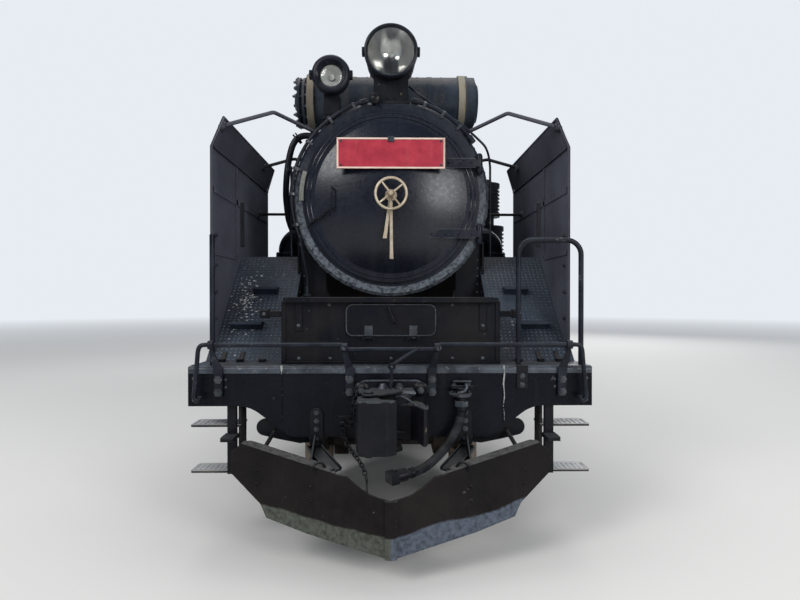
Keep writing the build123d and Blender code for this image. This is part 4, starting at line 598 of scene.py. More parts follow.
railBlack = makePaint("railBlack", base=(0.0046, 0.0059, 0.0095), second=(0.015, 0.0184, 0.0258),
    patchScale=6.0, rough=(0.3, 0.45), chips=0.64, chipScale=12.0, chipColour=(0.12, 0.1125, 0.105), dust=0.9,
    dustColour=(0.065, 0.0728, 0.0825), streak=0.2, lumps=0.001)
# step treads are pale grey on top: bare wear and a painted highlight of the sky
stepPaint = makePaint("stepPaint", base=(0.0046, 0.0052, 0.007), second=(0.015, 0.0151, 0.0177),
    rough=(0.4, 0.6), chips=0.66, mud=0.5, marks=[topMark((0.42, 0.42, 0.42), 0.95, 0.5, (0.1, 0.3))])
# bolt heads are lighter than the paint round them: a painted glint on each, with chips
boltPaintAndGlint = makePaint("boltPaintAndGlint", base=(0.016, 0.019, 0.025), second=(0.048, 0.054, 0.063), patchScale=14.0,
    rough=(0.24, 0.4), chips=0.63, chipScale=30.0, chipColour=(0.15, 0.1275, 0.105), lumps=0.001, shine=0.4)
redEnamel = makePaint("redEnamel", base=(0.37, 0.034, 0.052), second=(0.27, 0.02, 0.036), patchScale=11.0,
    rough=(0.28, 0.42), coat=0.3, streak=0.5, streakColour=(0.3, 0.1, 0.09), chips=0.67,
    chipColour=(0.3, 0.18, 0.12), lumps=0.0006, pits=0.0004, dust=0.3)
plateRimPaint = makePaint("plateRimPaint", base=(0.66, 0.52, 0.44), second=(0.55, 0.4, 0.34), patchScale=9.0,
    rough=(0.35, 0.5), chips=0.66, chipScale=30.0, chipColour=(0.2, 0.12, 0.08), lumps=0.0005, pits=0.0004)
hoseRubber = makePaint("hoseRubber", base=(0.0066, 0.0074, 0.01), second=(0.025, 0.0259, 0.0306),
    patchScale=12.0, rough=(0.6, 0.8), coat=0.0, chips=0.68, chipScale=30.0, chipColour=(0.0975, 0.09, 0.0825),
    streak=0.0, dust=0.7, lumps=0.002, lumpScale=40.0, pits=0.001, pitScale=160.0)
# slope tread tops are pale bluish: wear and painted highlights
treadWearAndHighlight = makePaint("treadWearAndHighlight", base=(0.016, 0.021, 0.031), second=(0.115, 0.14, 0.175), patchScale=3.2,
    rough=(0.32, 0.5), chips=0.62, chipScale=30.0, chipColour=(0.3, 0.32, 0.34), shine=0.4)
# edge paint: pale bluish, for worn edges and for painted highlights along edges and rims
edgeWearAndHighlight = makePaint("edgeWearAndHighlight", base=(0.05, 0.06, 0.074), second=(0.012, 0.015, 0.021), patchScale=9.0,
    rough=(0.3, 0.45), chips=0.6, chipScale=30.0, chipColour=(0.12, 0.13, 0.14), shine=0.35)
seatLeather = makePaint("seatLeather", base=(0.06, 0.028, 0.018), second=(0.1, 0.05, 0.03), rough=(0.4, 0.6),
    coat=0.1, chips=0.7, lumps=0.002, pits=0.0006, pitScale=120.0)
agedBrass = makeMetal("agedBrass", (0.42, 0.34, 0.23), (0.56, 0.49, 0.38), (0.34, 0.55), 0.55, 10.0, 0.0004,
    0.55, (0.16, 0.11, 0.06))
rodSteel = makeMetal("rodSteel", (0.36, 0.35, 0.33), (0.22, 0.2, 0.18), (0.28, 0.48), 0.9, 4.0, 0.0005, 0.6,
    (0.07, 0.045, 0.03))
oiledSteel = makeMetal("oiledSteel", (0.3, 0.29, 0.28), (0.16, 0.15, 0.14), (0.22, 0.4), 0.95, 12.0,
    0.0004, 0.5)
silverMirror = makeMetal("silverMirror", (0.5, 0.49, 0.47), (0.36, 0.35, 0.33), (0.1, 0.22), 1.0, 5.0, 0.0002,
    0.15, (0.3, 0.27, 0.22))
paleEnamel = makeMetal("paleEnamel", (0.62, 0.62, 0.58), (0.45, 0.44, 0.4), (0.3, 0.45), 0.0, 10.0, 0.0002, 0.3)
stripPaint = makeMetal("stripPaint", (0.175, 0.178, 0.155), (0.085, 0.088, 0.078), (0.4, 0.6), 0.0, 30.0,
    0.001, 0.4)
paleDrip = makeMetal("palePaint", (0.34, 0.35, 0.35), (0.16, 0.17, 0.17), (0.5, 0.7), 0.0, 40.0, 0.001, 0.4,
    (0.05, 0.05, 0.05))
lampGlass = makeGlass("lampGlass", (0.93, 0.95, 0.95), 0.01)
windowGlass = makeGlass("windowGlass", (0.84, 0.91, 0.9), 0.03)
wheelPaints = {}
for nodeName, station, centreZ, tread in (("leading_wheelset", 1.15, 0.458, 0.43),
        ("trailing_wheelset", 9.3, 0.458, 0.43), ("front_driving_wheelset", 3.65, wheelZ, 0.76),
        ("main_driving_wheelset", 5.4, wheelZ, 0.76), ("rear_driving_wheelset", 7.15, wheelZ, 0.76)):
    paint = makePaint(nodeName.replace("_wheelset", "WheelPaint"), base=(0.0046, 0.0052, 0.007),
        second=(0.015, 0.014, 0.0163), rough=(0.4, 0.6), chips=0.67, mud=0.5, mudTop=1.5, streak=0.2,
        marks=[treadMark(station, centreZ, tread - 0.004, tread + 0.04, (0.24, 0.2, 0.17)),
            treadMark(station, centreZ, tread - 0.072, tread - 0.066, (0.1, 0.07, 0.05), 0.6)])
    wheelPaints[paint] = [nodeName]

nodeFinishes = {smokeboxBlack: ["smokebox"], doorBlack: ["smokebox_door"],
    boilerBlack: ["boiler_barrel", "firebox", "dome_casing", "chimney", "boiler_top_fittings"],
    casingBlack: ["saddle_box", "front_hatch"], beamBlack: ["front_beam"], slopeBlack: ["running_boards"],
    deflectorBlack: ["smoke_deflectors"], plowBlack: ["snowplow"], heaterBlack: ["feedwater_heater"],
    castBlack: ["coupler_body", "coupler_knuckle", "air_compressor", "feedwater_pump", "cylinders",
        "angle_cock", "hose_coupling", "lamps", "motion_brackets"],
    framePaint: ["main_frame", "frame_extensions", "frame_stretchers", "drawbar", "brake_rigging",
        "leading_truck_frame", "trailing_truck_frame", "air_reservoirs"],
    cabBlack: ["cab_sides", "cab_ends", "cab_roof", "cab_door_left", "cab_door_right"],
    floorSteel: ["cab_floor"], cabInside: ["cab_fittings"], stepPaint: ["step_hangers"],
    railBlack: ["handrails", "uncoupling_lever", "pipework"], redEnamel: ["number_plate"],
    agedBrass: ["door_handwheel"], hoseRubber: ["brake_hose"], windowGlass: ["cab_glass"],
    rodSteel: ["side_rod_left", "side_rod_right", "main_rod_left", "main_rod_right", "valve_gear",
        "slide_bars"], oiledSteel: ["crosshead_left", "crosshead_right"], **wheelPaints}
for finish, names in nodeFinishes.items():
    for name in names:
        nodes[name].data.materials.clear()
        nodes[name].data.materials.append(finish)
print("finishes set on", sum(len(names) for names in nodeFinishes.values()), "nodes")


# Brake hose: a free cord from the angle cock to its coupling
hoseSettings = {
    "route": [(0.42, -0.08, 0.905), (0.412, -0.086, 0.84), (0.385, -0.1, 0.77), (0.34, -0.125, 0.7),
              (0.28, -0.155, 0.64), (0.215, -0.19, 0.592), (0.15, -0.225, 0.566), (0.085, -0.255, 0.56)],
    "radius": 0.026, "length": 0.555, "clampRise": 0.004,
}


def makeHose(s):
    route = at(*np.array(s["route"]).T)
    curve = bpy.data.curves.new("brakeHose", "CURVE")
    curve.dimensions = "3D"
    curve.bevel_depth = s["radius"]
    curve.bevel_resolution = 6
    curve.resolution_u = 12
    curve.use_fill_caps = True
    line = curve.splines.new("NURBS")
    line.points.add(len(route) - 1)
    line.points.foreach_set("co", np.c_[route, np.ones(len(route))].ravel())
    line.order_u = 3
    line.use_endpoint_u = True
    curve.materials.append(hoseRubber)
    hose = addObject("brakeHose", curve)
    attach(hose, "root")
    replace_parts(hose, "brake_hose")
    # the cord's middle line, read back from the curve, carries the clamps and the collar
    plain = curve.copy()
    plain.bevel_depth = 0.0
    helper = bpy.data.objects.new("hoseLine", plain)
    traced = bpy.data.meshes.new_from_object(helper)
    trace = np.zeros(len(traced.vertices) * 3)
    traced.vertices.foreach_get("co", trace)
    trace = trace.reshape(-1, 3)
    bpy.data.objects.remove(helper)
    bpy.data.meshes.remove(traced)
    radius = s["radius"]
    shapes = []
    for index, width in ((4, 0.03), (len(trace) - 5, 0.026)):
        heading = trace[index + 1] - trace[index - 1]
        rise = radius + s["clampRise"]
        shapes += [ringShape(-width / 2, width / 2, radius - 0.004, rise, trace[index], heading, 24),
            stamped("nut", trace[index] + rise * np.array([[0.9, -0.3, 0.3]]), (1, -0.3, 0.3), 0.008)]
    start, heading = trace[0], trace[1] - trace[0]
    shapes.append(turned([(-0.012, 0.02), (-0.012, 0.036), (0.016, 0.036), (0.022, 0.03), (0.05, 0.0295),
            (0.05, 0.02)], start, heading, 24, True))
    clamps = addPiece("hoseClamps", shapes, castBlack)


makeHose(hoseSettings)
print("brake hose laid")


# Head lamp and auxiliary lamp, in place of the plain lamps
lampSettings = [
    # half is half the bracket's width; glass is the pane's radius, glassAt its distance behind the front
    {"x": 0.0, "z": 3.388, "radius": 0.2, "front": 0.79, "half": 0.13, "bulge": False,
     "glass": 0.172, "glassAt": 0.016, "mirrorDepth": 0.13},
    {"x": -0.447, "z": 3.218, "radius": 0.145, "front": 0.8, "half": 0.06, "bulge": True,
     "glass": 0.079, "glassAt": 0.05, "mirrorDepth": 0.06},
]


def makeLamps(lamps):
    bodies, glasses, mirrors, bulbs, brackets = [], [], [], [], []
    bracketFoot = 0.898
    # each profile is a row of (distance behind the front, radius)
    for s in lamps:
        r, g = s["radius"], s["glass"]
        centre = at(s["x"], s["front"], s["z"])
        if s["bulge"]:
            profile = [(0.22, 0), (0.22, 0.055), (0.205, 0.085), (0.17, 0.112), (0.12, 0.133),
                (0.07, r - 0.002), (0.035, r), (0.014, r - 0.005), (0.002, r - 0.018), (0.0, r - 0.03),
                (0.006, r - 0.04), (0.02, r - 0.046), (0.036, g + 0.008), (0.046, g + 0.004), (0.06, g + 0.003),
                (0.13, 0.05), (0.135, 0)]
        else:
            profile = [(0.33, 0), (0.33, r - 0.09), (0.318, r - 0.05), (0.295, r - 0.024), (0.265, r - 0.014),
                (0.17, r - 0.014), (0.166, r - 0.009), (0.152, r - 0.009), (0.148, r - 0.014),
                (0.07, r - 0.014), (0.066, r - 0.003), (0.058, r), (0.01, r), (0.002, r - 0.005),
                (0.0, r - 0.011), (0.003, r - 0.018), (0.012, r - 0.024), (0.05, r - 0.025), (0.2, r - 0.05),
                (0.205, 0)]
        bodies.append(turned(profile, centre, toRear, 56))
        # the glass bulges by 1 less the square of its share of the radius, and the mirror in the same way
        share = np.linspace(0, 1, 9)
        front = np.stack([s["glassAt"] - 0.012 * (1 - share ** 2), g * share], -1)
        rear = np.stack([s["glassAt"] + 0.004 - 0.01 * (1 - share ** 2), g * share], -1)[::-1]
        glasses.append(turned(np.concatenate([front, rear]), centre, toRear, 48))
        dish = np.linspace(1, 0.1, 14)
        inner = np.stack([s["glassAt"] + 0.012 + s["mirrorDepth"] * (1 - dish ** 2), (g + 0.001) * dish], -1)
        outer = inner[::-1] + np.array([0.003, 0.0])
        mirrors.append(turned(np.concatenate([inner, outer]), centre, toRear, 48, True))
        bulb = s["glassAt"] + 0.012 + s["mirrorDepth"] * 0.55
        angle = np.linspace(0, np.pi, 10)
        bulbs.append(turned(np.stack([bulb - 0.022 * np.cos(angle), 0.022 * np.sin(angle)], -1), centre,
            toRear, 20))
        socketEnd = s["glassAt"] + s["mirrorDepth"] + 0.02
        screws = centre + (r - 0.012) * outward(np.radians([35, 145, 215, 325]))
        bodies += [ringShape(bulb + 0.012, socketEnd, 0.012, 0.022, centre, toRear, 20),
            stamped("screw", screws, toFront, 0.004 if s["bulge"] else 0.007)]
        for side in (-1, 1):
            x = s["x"] + side * (r + 0.004)
            bodies += [boxShape(x - 0.012, x + 0.012, s["front"] + 0.018, s["front"] + 0.075, s["z"] - 0.028,
                    s["z"] + 0.028),
                stamped("nut", [at(x, s["front"] + 0.018, s["z"])], toFront, 0.01)]
        # bracket: two plates hollowed to the lamp's round, on a pedestal from the smokebox
        half, low = s["half"], s["z"] - r - 0.16
        angle = np.arcsin(half / (r - 0.01))
        turn = np.linspace(-angle, angle, 9)
        cradle = np.stack([s["x"] + (r - 0.01) * np.sin(turn), s["z"] - (r - 0.01) * np.cos(turn)], -1)
        outline = np.concatenate([cradle, [(s["x"] + half, low), (s["x"] - half, low)]])
        frontSide, rearSide = s["front"] + 0.09, s["front"] + (0.31 if not s["bulge"] else 0.2)
        brackets += [plate(outline, "cross", frontSide, frontSide + 0.014),
            plate(outline, "cross", rearSide - 0.014, rearSide),
            boxShape(s["x"] - half - 0.012, s["x"] + half + 0.012, frontSide - 0.012, rearSide + 0.012,
                low - 0.012, low),
            boxShape(s["x"] - half, s["x"] + half, bracketFoot, rearSide, 2.7, low - 0.012, 0.006),
            stamped("hex", at(s["x"] + np.array([-0.75, -0.25, 0.25, 0.75]) * half, frontSide, low + 0.03),
                toFront, 0.009),
            stamped("hex", at(s["x"] + np.array([-0.7, 0.7, -0.7, 0.7]) * half, bracketFoot,
                low - 0.012 - np.array([0.035, 0.035, 0.1, 0.1])), toFront, 0.01)]
    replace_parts(addPiece("lampBodies", bodies, railBlack), "lamps")
    addPiece("lampBrackets", brackets, castBlack)
    addPiece("lampGlasses", glasses, lampGlass)
    addPiece("lampMirrors", mirrors[:1], silverMirror)
    # the small lamp's reflector is pale enamel: a painted reflection that keeps it bright
    addPiece("smallLampMirror", mirrors[1:], paleEnamel)
    addPiece("lampBulbs", bulbs, paleEnamel)


makeLamps(lampSettings)
print("lamps made")


# Number plate's pale rim, screws and clip; the field stays blank
plateSettings = {"z": 2.611, "width": 0.79, "height": 0.225, "front": 0.729, "rim": 0.013, "proud": 0.005}


def makePlateRim(s):
    # the rim is four blocks round a rectangle
    w, h, z, t = s["width"] / 2, s["height"] / 2, s["z"], s["rim"]
    front, rear = s["front"] - s["proud"], s["front"] + 0.002
    rim = [boxShape(-w, w, front, rear, z + side * (h - t / 2) - t / 2, z + side * (h - t / 2) + t / 2, 0.002)
        for side in (-1, 1)]
    rim += [boxShape(side * (w - t / 2) - t / 2, side * (w - t / 2) + t / 2, front, rear, z - h + t, z + h - t,
        0.002) for side in (-1, 1)]
    addPiece("plateRim", rim, plateRimPaint, "smokebox_door")
    corners = at(np.array([-1, 1, -1, 1]) * (w - 0.03), s["front"], z + np.array([-1, -1, 1, 1]) * (h - 0.026))
    screws = [stamped("nut", corners, toFront, 0.007),
        boxShape(-0.024, 0.024, front - 0.004, rear + 0.006, z + h - 0.03, z + h + 0.01, 0.003)]
    addPiece("plateScrews", screws, boltPaintAndGlint, "smokebox_door")


makePlateRim(plateSettings)


# Door handwheel and locking bars, in place of the plain ones
handwheelSettings = {"station": 0.66, "radius": 0.112, "rim": 0.0105, "spokes": 4, "turn": 38.0,
    "doorFace": 0.749}


def makeHandwheel(s):
    turn = wholeTurn(64)
    rimPath = ringAt(0, s["station"], boilerZ, s["radius"], turn)
    shapes = [tube(rimPath, s["rim"], 12, True)]
    for index in range(s["spokes"]):
        angle = np.radians(s["turn"]) + 2 * np.pi * index / s["spokes"]
        out = np.linspace(0.012, s["radius"] - 0.004, 8)
        # each spoke bows to the rear by the sine of its share of the radius
        spoke = ringAt(0, s["station"] + 0.01 * np.sin(np.pi * out / s["radius"]), boilerZ, out, angle)
        shapes.append(tube(spoke, np.linspace(0.0095, 0.0065, 8), 8))
    reach = s["doorFace"] - s["station"]
    hub = [(-0.022, 0), (-0.022, 0.014), (-0.016, 0.02), (-0.004, 0.028), (0.012, 0.028), (0.018, 0.021),
        (0.03, 0.02), (reach - 0.012, 0.02), (reach - 0.012, 0.042), (reach + 0.002, 0.046), (reach + 0.002, 0)]
    shapes.append(turned(hub, at(0, s["station"], boilerZ), toRear, 28))
    # locking bars widen at the foot with the sixth power of their length, round caps at the top
    for offset, foot, length, wide in ((0.032, 0.004, 0.47, 0.0115), (0.048, -0.045, 0.32, 0.0125)):
        share = np.linspace(0, 1, 9)
        centreX, centreZ = foot * share, boilerZ - length * share
        half = wide * (1 + 0.25 * share ** 6)
        left = np.stack([centreX - half, centreZ], -1)
        right = np.stack([centreX + half, centreZ], -1)[::-1]
        cap = np.array([[0.03, 0.0], [0.022, 0.024], [0, 0.033], [-0.022, 0.024], [-0.03, 0.0]]) + [0, boilerZ]
        shapes.append(plate(np.concatenate([left, right, cap]), "cross", s["station"] + offset,
            s["station"] + offset + 0.01, 0.002))
    piece = addPiece("doorHandwheel", shapes, agedBrass, "smokebox_door")
    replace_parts(piece, "door_handwheel")


makeHandwheel(handwheelSettings)


# Door rim beads, hinge bolts, grab handle with its chain
doorSettings = {"beadRadii": ((0.602, 0.845, 0.006), (0.632, 0.846, 0.005)), "dishRadius": 1.6745,
    "dishCentre": 2.4195, "hingeX": 0.662, "straps": ((2.557, 0.43), (2.034, 0.3))}


def dishStation(radius):
    # the station of the door's face, a ball's surface, at that distance from the boiler's line
    return doorSettings["dishCentre"] - np.sqrt(doorSettings["dishRadius"] ** 2 - radius ** 2)


def makeDoorDetails(s):
    beads = [tube(arc(radius, 0, 357, 120, station), thick, 8, True)
        for radius, station, thick in s["beadRadii"]]
    addPiece("doorBeads", beads, doorBlack, "smokebox_door")
    shapes = []
    for z, inner in s["straps"]:
        xs = np.linspace(inner, 0.6, 3 if inner > 0.4 else 4)
        shapes += [stamped("rivet", at(xs, 0.8, z), toFront, 0.012),
            solid([(-0.078, 0.014), (-0.066, 0.021), (-0.058, 0.024), (0.058, 0.024), (0.066, 0.021),
                (0.078, 0.014)], at(s["hingeX"], 0.838, z), toTop, 20)]
    handleX = -0.436
    handle = smoothPath([at(handleX + dx, dishStation(0.44) - out, z) for dx, out, z in ((0, -0.004, 2.372),
            (0, 0.03, 2.372), (0, 0.04, 2.355), (0, 0.04, 2.235), (0, 0.03, 2.218), (0, -0.004, 2.218))], 4)
    shapes.append(tube(handle, 0.007, 8))
    addPiece("doorFittings", shapes, railBlack, "smokebox_door")
    # pale edges of the two hinge straps, painted wear and highlight: two straight runs joined by a half circle
    edges = []
    for z, inner in s["straps"]:
        turn = sweep(90, 270, 12)
        line = at(np.concatenate([[0.63], inner + 0.03 * np.cos(turn), [0.63]]), 0.7985,
            z + np.concatenate([[0.033], 0.033 * np.sin(turn), [-0.033]]))
        edges.append(tube(line, 0.0032, 6))
    addPiece("strapEdges", edges, edgeWearAndHighlight, "smokebox_door")
    ends = np.array([(-0.44, 0.765, 2.212), (-0.5, 0.8, 2.165), (-0.58, 0.83, 2.12), (-0.625, 0.835, 2.075)])
    makeChain("doorChain", ends, 0.024, 0.0032, "smokebox_door")


def makeChain(name, route, pitch, thick, body):
    # oval links along a smooth curve, each turned a quarter against the last
    line = smoothPath(at(*np.asarray(route, float).T), 24)
    run = np.r_[0, np.cumsum(np.linalg.norm(np.diff(line, axis=0), axis=1))]
    count = int(run[-1] / pitch)
    shapes = []
    for index in range(count):
        here = np.array([np.interp((index + 0.5) * pitch, run, line[:, axis]) for axis in range(3)])
        ahead = np.array([np.interp((index + 0.9) * pitch, run, line[:, axis]) for axis in range(3)]) - here
        ahead /= np.linalg.norm(ahead)
        first, second = crossAxes(ahead)
        across = first if index % 2 else second
        turn = wholeTurn(14)
        length, width = pitch * 0.72 * np.cos(turn), pitch * 0.42 * np.sin(turn)
        loop = here + length[:, None] * ahead + width[:, None] * across
        shapes.append(tube(loop, thick, 6, True))
    addPiece(name, shapes, castBlack, body)


makeDoorDetails(doorSettings)
print("smokebox door dressed")


# Conduits round the smokebox's edge, the lamp cable, clamps and unions
conduitSettings = {
    "radius": 0.748, "station": 0.868, "thick": 0.014, "cable": 0.009,
    "left": (106, 204), "right": (76, 36),
    "clips": (112, 128, 146, 163, 178, 196, 70, 58, 46), "strip": (163, 182), "stripRadius": 0.672,
}


def makeConduits(s):
    # tubes along arcs round the smokebox's line; each clip is a bar bent over its tube
    shapes = []
    ring = arc(s["radius"], *s["left"], 40, s["station"])
    down = smoothPath([ring[-1],
            *at([-0.67, -0.655, -0.64, -0.646], [0.9, 0.925, 0.945, 0.95], [1.9, 1.8, 1.7, 1.58])], 8)
    shapes += [tube(np.concatenate([ring, down[1:]]), s["thick"], 12),
        solid([(0, 0.034), (0.012, 0.04), (0.024, 0.034), (0.03, 0.022), (0.09, 0.02)], at(-0.646, 0.95, 1.557),
            toTop, 20),
        tube(arc(s["radius"], *s["right"], 30, s["station"]), s["thick"] + 0.002, 12)]
    cable = smoothPath(at([0.14, 0.22, 0.4, 0.53, 0.66, 0.715, 0.745, 0.762], [0.95, 0.9, 0.882, 0.868, 0.865,
            0.88, 0.92, 0.958], [3.17, 3.09, 2.95, 2.86, 2.745, 2.69, 2.63, 2.555]), 10)
    shapes.append(tube(cable, s["cable"], 8))
    for angle in s["left"][:1] + s["right"]:
        end = arc(s["radius"], angle, angle, 1, s["station"])[0]
        lean = np.radians(angle)
        heading = np.array([-np.sin(lean), 0, np.cos(lean)])
        shapes.append(solid([(-0.03, 0.019), (-0.022, 0.022), (0.022, 0.022), (0.03, 0.019)], end, heading, 16))
    addPiece("conduits", shapes, railBlack)
    clips = []
    for angle in s["clips"]:
        lean = np.radians(angle)
        centre = arc(s["radius"] - 0.006, angle, angle, 1, s["station"] - 0.003)[0]
        away = outward(lean)
        over = np.array([[0, dy, 0] for dy in (0.004, -0.006, -0.015, -0.016, -0.01, 0.004)])
        path = centre + np.linspace(-0.034, 0.026, 6)[:, None] * away + over
        clips += [bar(path, 0.022, 0.004, toFront),
            stamped("hex", [centre - 0.03 * away + np.array([0, -0.002, 0])], toFront, 0.008)]
    addPiece("conduitClips", clips, boltPaintAndGlint)
    # junction by the lamp bracket, and the bare wedge strip on the door's right edge
    box = [turned([(0, 0), (0, 0.036), (0.006, 0.042), (0.034, 0.042), (0.04, 0.036), (0.046, 0.012),
            (0.05, 0)], at(-0.12, 0.87, 3.045), (0, -1, 0.05), 24),
        stamped("screw", at([-0.146, -0.094, -0.12], 0.834, [3.052, 3.052, 3.02]), toFront, 0.004)]
    addPiece("junctionBox", box, castBlack)
    strip = arc(s["stripRadius"], *s["strip"], 14, 0.862)
    addPiece("wedgeStrip", [bar(strip, 0.034, 0.01, toFront, 0.003)], stripPaint)


makeConduits(conduitSettings)


# Casing under the smokebox: rivet rows, side strips, hatch bead, brackets
casingSettings = {
    "face": 0.13, "topRow": (-0.58, -0.388, -0.191, 0.0, 0.193, 0.386, 0.578), "topZ": 1.5185,
    "lowRow": (-0.58, -0.383, 0.0, 0.388, 0.58), "lowZ": 1.178, "head": 0.0125,
}


def makeCasingDetails(s):
    # rivets stand in straight rows, strips are blocks, the bead follows a rounded rectangle
    face = s["face"]
    heads = [stamped("rivet", at(s["topRow"], face, s["topZ"]), toFront, s["head"]),
        stamped("rivet", at(s["lowRow"], face, s["lowZ"]), toFront, s["head"]),
        stamped("rivet", at([-0.58, 0.58], face - 0.008, 1.385), toFront, s["head"])]
    strips = bothSides([boxShape(0.556, 0.604, face - 0.008, face, 1.35, 1.536)])
    lipZ = 1.549
    lip = [plate([(-0.682, lipZ - 0.02), (-0.64, lipZ + 0.016), (0.64, lipZ + 0.016), (0.682, lipZ - 0.02)],
        "cross", face - 0.05, face - 0.034, 0.004)]
    corner = bothSides([boxShape(0.655, 0.69, face - 0.006, face + 0.05, 1.142, 1.536, 0.006)])
    clamps = bothSides([boxShape(0.69, 0.8, face + 0.02, face + 0.06, 1.44, 1.478, 0.004),
        boxShape(0.77, 0.83, face + 0.015, face + 0.065, 1.432, 1.486, 0.006)])
    heads.append(stamped("hex", at([-0.8, 0.8], face + 0.015, 1.459), toFront, 0.012))
    foot = [bar(at(np.linspace(-0.66, 0.66, 12), face - 0.006, 1.146), 0.03, 0.012, (0, -1, 0.0))]
    sideRivets = []
    for z in (1.19, 1.51):
        sideRivets.append(stamped("rivet", at(0.68, np.arange(0.2, 1.08, 0.105), z), toLeft, 0.01))
    heads += bothSides(sideRivets)
    addPiece("casingRivets", heads, boltPaintAndGlint)
    addPiece("casingStrips", strips + lip + corner + clamps + foot, casingBlack)
    outline = roundRect(0.566 - 0.006, 0.201 - 0.006, 0.042, 0, 1.4205, 8)
    bead = at(outline[:, 0], 0.1125, outline[:, 1])
    hatch = [tube(bead, 0.0042, 6, True)]
    for side in (-1, 1):
        hatch += [bar(at(side * 0.14, 0.106, [1.322, 1.386]), 0.052, 0.006, toFront),
            stamped("rivet", at(side * 0.14 + np.array([-0.014, 0.014]), 0.104, 1.366), toFront, 0.006)]
    addPiece("hatchBead", hatch, boltPaintAndGlint, "front_hatch")


makeCasingDetails(casingSettings)


# Apron plates between the smokebox's flanks and the slopes, with their rivets
apronSettings = {"station": 1.005, "thick": 0.008, "outline": [(0.5, 1.555), (0.722, 1.555), (0.722, 1.985),
        (0.69, 1.995), (0.655, 1.985), (0.612, 1.91), (0.5, 1.8)]}


def makeAprons(s):
    # a flat outline with its thickness, a strip at its edge and rivets at even heights
    shapes = [plate(s["outline"], "cross", s["station"], s["station"] + s["thick"], 0.002),
        boxShape(0.7, 0.716, s["station"] - 0.045, s["station"], 1.56, 1.98)]
    heads = [stamped("rivet", at(0.672, s["station"], np.arange(1.6, 1.95, 0.062)), toFront, 0.009),
        stamped("rivet", at(0.7, s["station"] - 0.022, np.arange(1.6, 1.95, 0.062)), toRight, 0.008)]
    addPiece("apronPlates", bothSides(shapes), casingBlack)
    addPiece("apronRivets", bothSides(heads), boltPaintAndGlint)


makeAprons(apronSettings)


# Raised tread pattern on the slopes and the running boards; specks of lime on the right slope
treadSettings = {"pitch": 0.031, "length": 0.0115,
                 "slope": (0.3, 1.14, 1.12, 1.88), "lime": 130,
                 # the boards' pattern: first and last x, first and last station, pitch
                 "board": (0.86, 1.2, 1.22, 8.25, 0.075)}


def slopePoint(x, share):
    s0, z0, s1, z1 = treadSettings["slope"]
    return at(x, s0 + (s1 - s0) * share, z0 + (z1 - z0) * share)


def makeTreads(s):
    # strokes stand square to the slope on a square grid; the lime is scattered by a bell curve
    s0, z0, s1, z1 = s["slope"]
    normal = np.array([0, -(z1 - z0), s1 - s0])
    normal /= np.linalg.norm(normal)
    uphill = np.array([0, s1 - s0, z1 - z0])
    uphill /= np.linalg.norm(uphill)
    length = math.hypot(s1 - s0, z1 - z0)
    shapes = []
    rows, columns = int(length / s["pitch"]), int(0.47 / s["pitch"])
    r, c = np.meshgrid(np.arange(rows), np.arange(columns), indexing="ij")
    share = (r.ravel() + 0.6) * s["pitch"] / length
    x = 0.712 + (c.ravel() + 0.5) * s["pitch"]
    keep = share < 0.975
    for odd in (0, 1):
        pick = keep & ((r.ravel() + c.ravel()) % 2 == odd)
        lean = uphill * 0.75 + np.array([1.0 if odd else -1.0, 0, 0])
        shapes.append(stamped("tread", slopePoint(x[pick], share[pick]), normal, s["length"],
            (1.0, 0.34), lean))
    # the slope treads' pale tops are painted highlights with wear
    addPiece("slopeTreads", bothSides(shapes), treadWearAndHighlight)
    flat = []
    x0, x1, front, rear, pitch = s["board"]
    stations, xs = np.arange(front, rear, pitch), np.arange(x0, x1, pitch)
    r, c = np.meshgrid(np.arange(len(stations)), np.arange(len(xs)), indexing="ij")
    for odd in (0, 1):
        pick = (r.ravel() + c.ravel()) % 2 == odd
        flat.append(stamped("tread", at(xs[c.ravel()[pick]], stations[r.ravel()[pick]], 1.88), toTop, 0.022,
            (1.0, 0.3), (1.0 if odd else -1.0, 0.8, 0)))
    addPiece("boardTreads", bothSides(flat), slopeBlack)
    spread = randomDraw.normal(0, 1, (s["lime"], 2))
    share = np.clip(0.55 + 0.17 * spread[:, 0], 0.05, 0.97)
    x = -np.clip(1.06 + 0.05 * spread[:, 1], 0.72, 1.17)
    addPiece("limeSpecks", [stamped("tread", slopePoint(x, share), normal,
            randomDraw.uniform(0.003, 0.012, s["lime"]), (1.0, 0.7), (1, 0.3, 0))], paleDrip)


makeTreads(treadSettings)
print("slopes and boards dressed")


# Front beam: rounded edge, lever brackets' bolts, weld seams, angle plates
beamSettings = {
    "edgeRadius": 0.026, "edgeProud": 0.007, "halfWidth": 1.228,
    "bolts": [(1.043, 1.066), (1.043, 0.99), (0.25, 1.066), (0.25, 0.99)],
    "seams": (-0.663, 0.687), "anglePlateX": 0.452, "anglePlateHalf": 0.042,
}


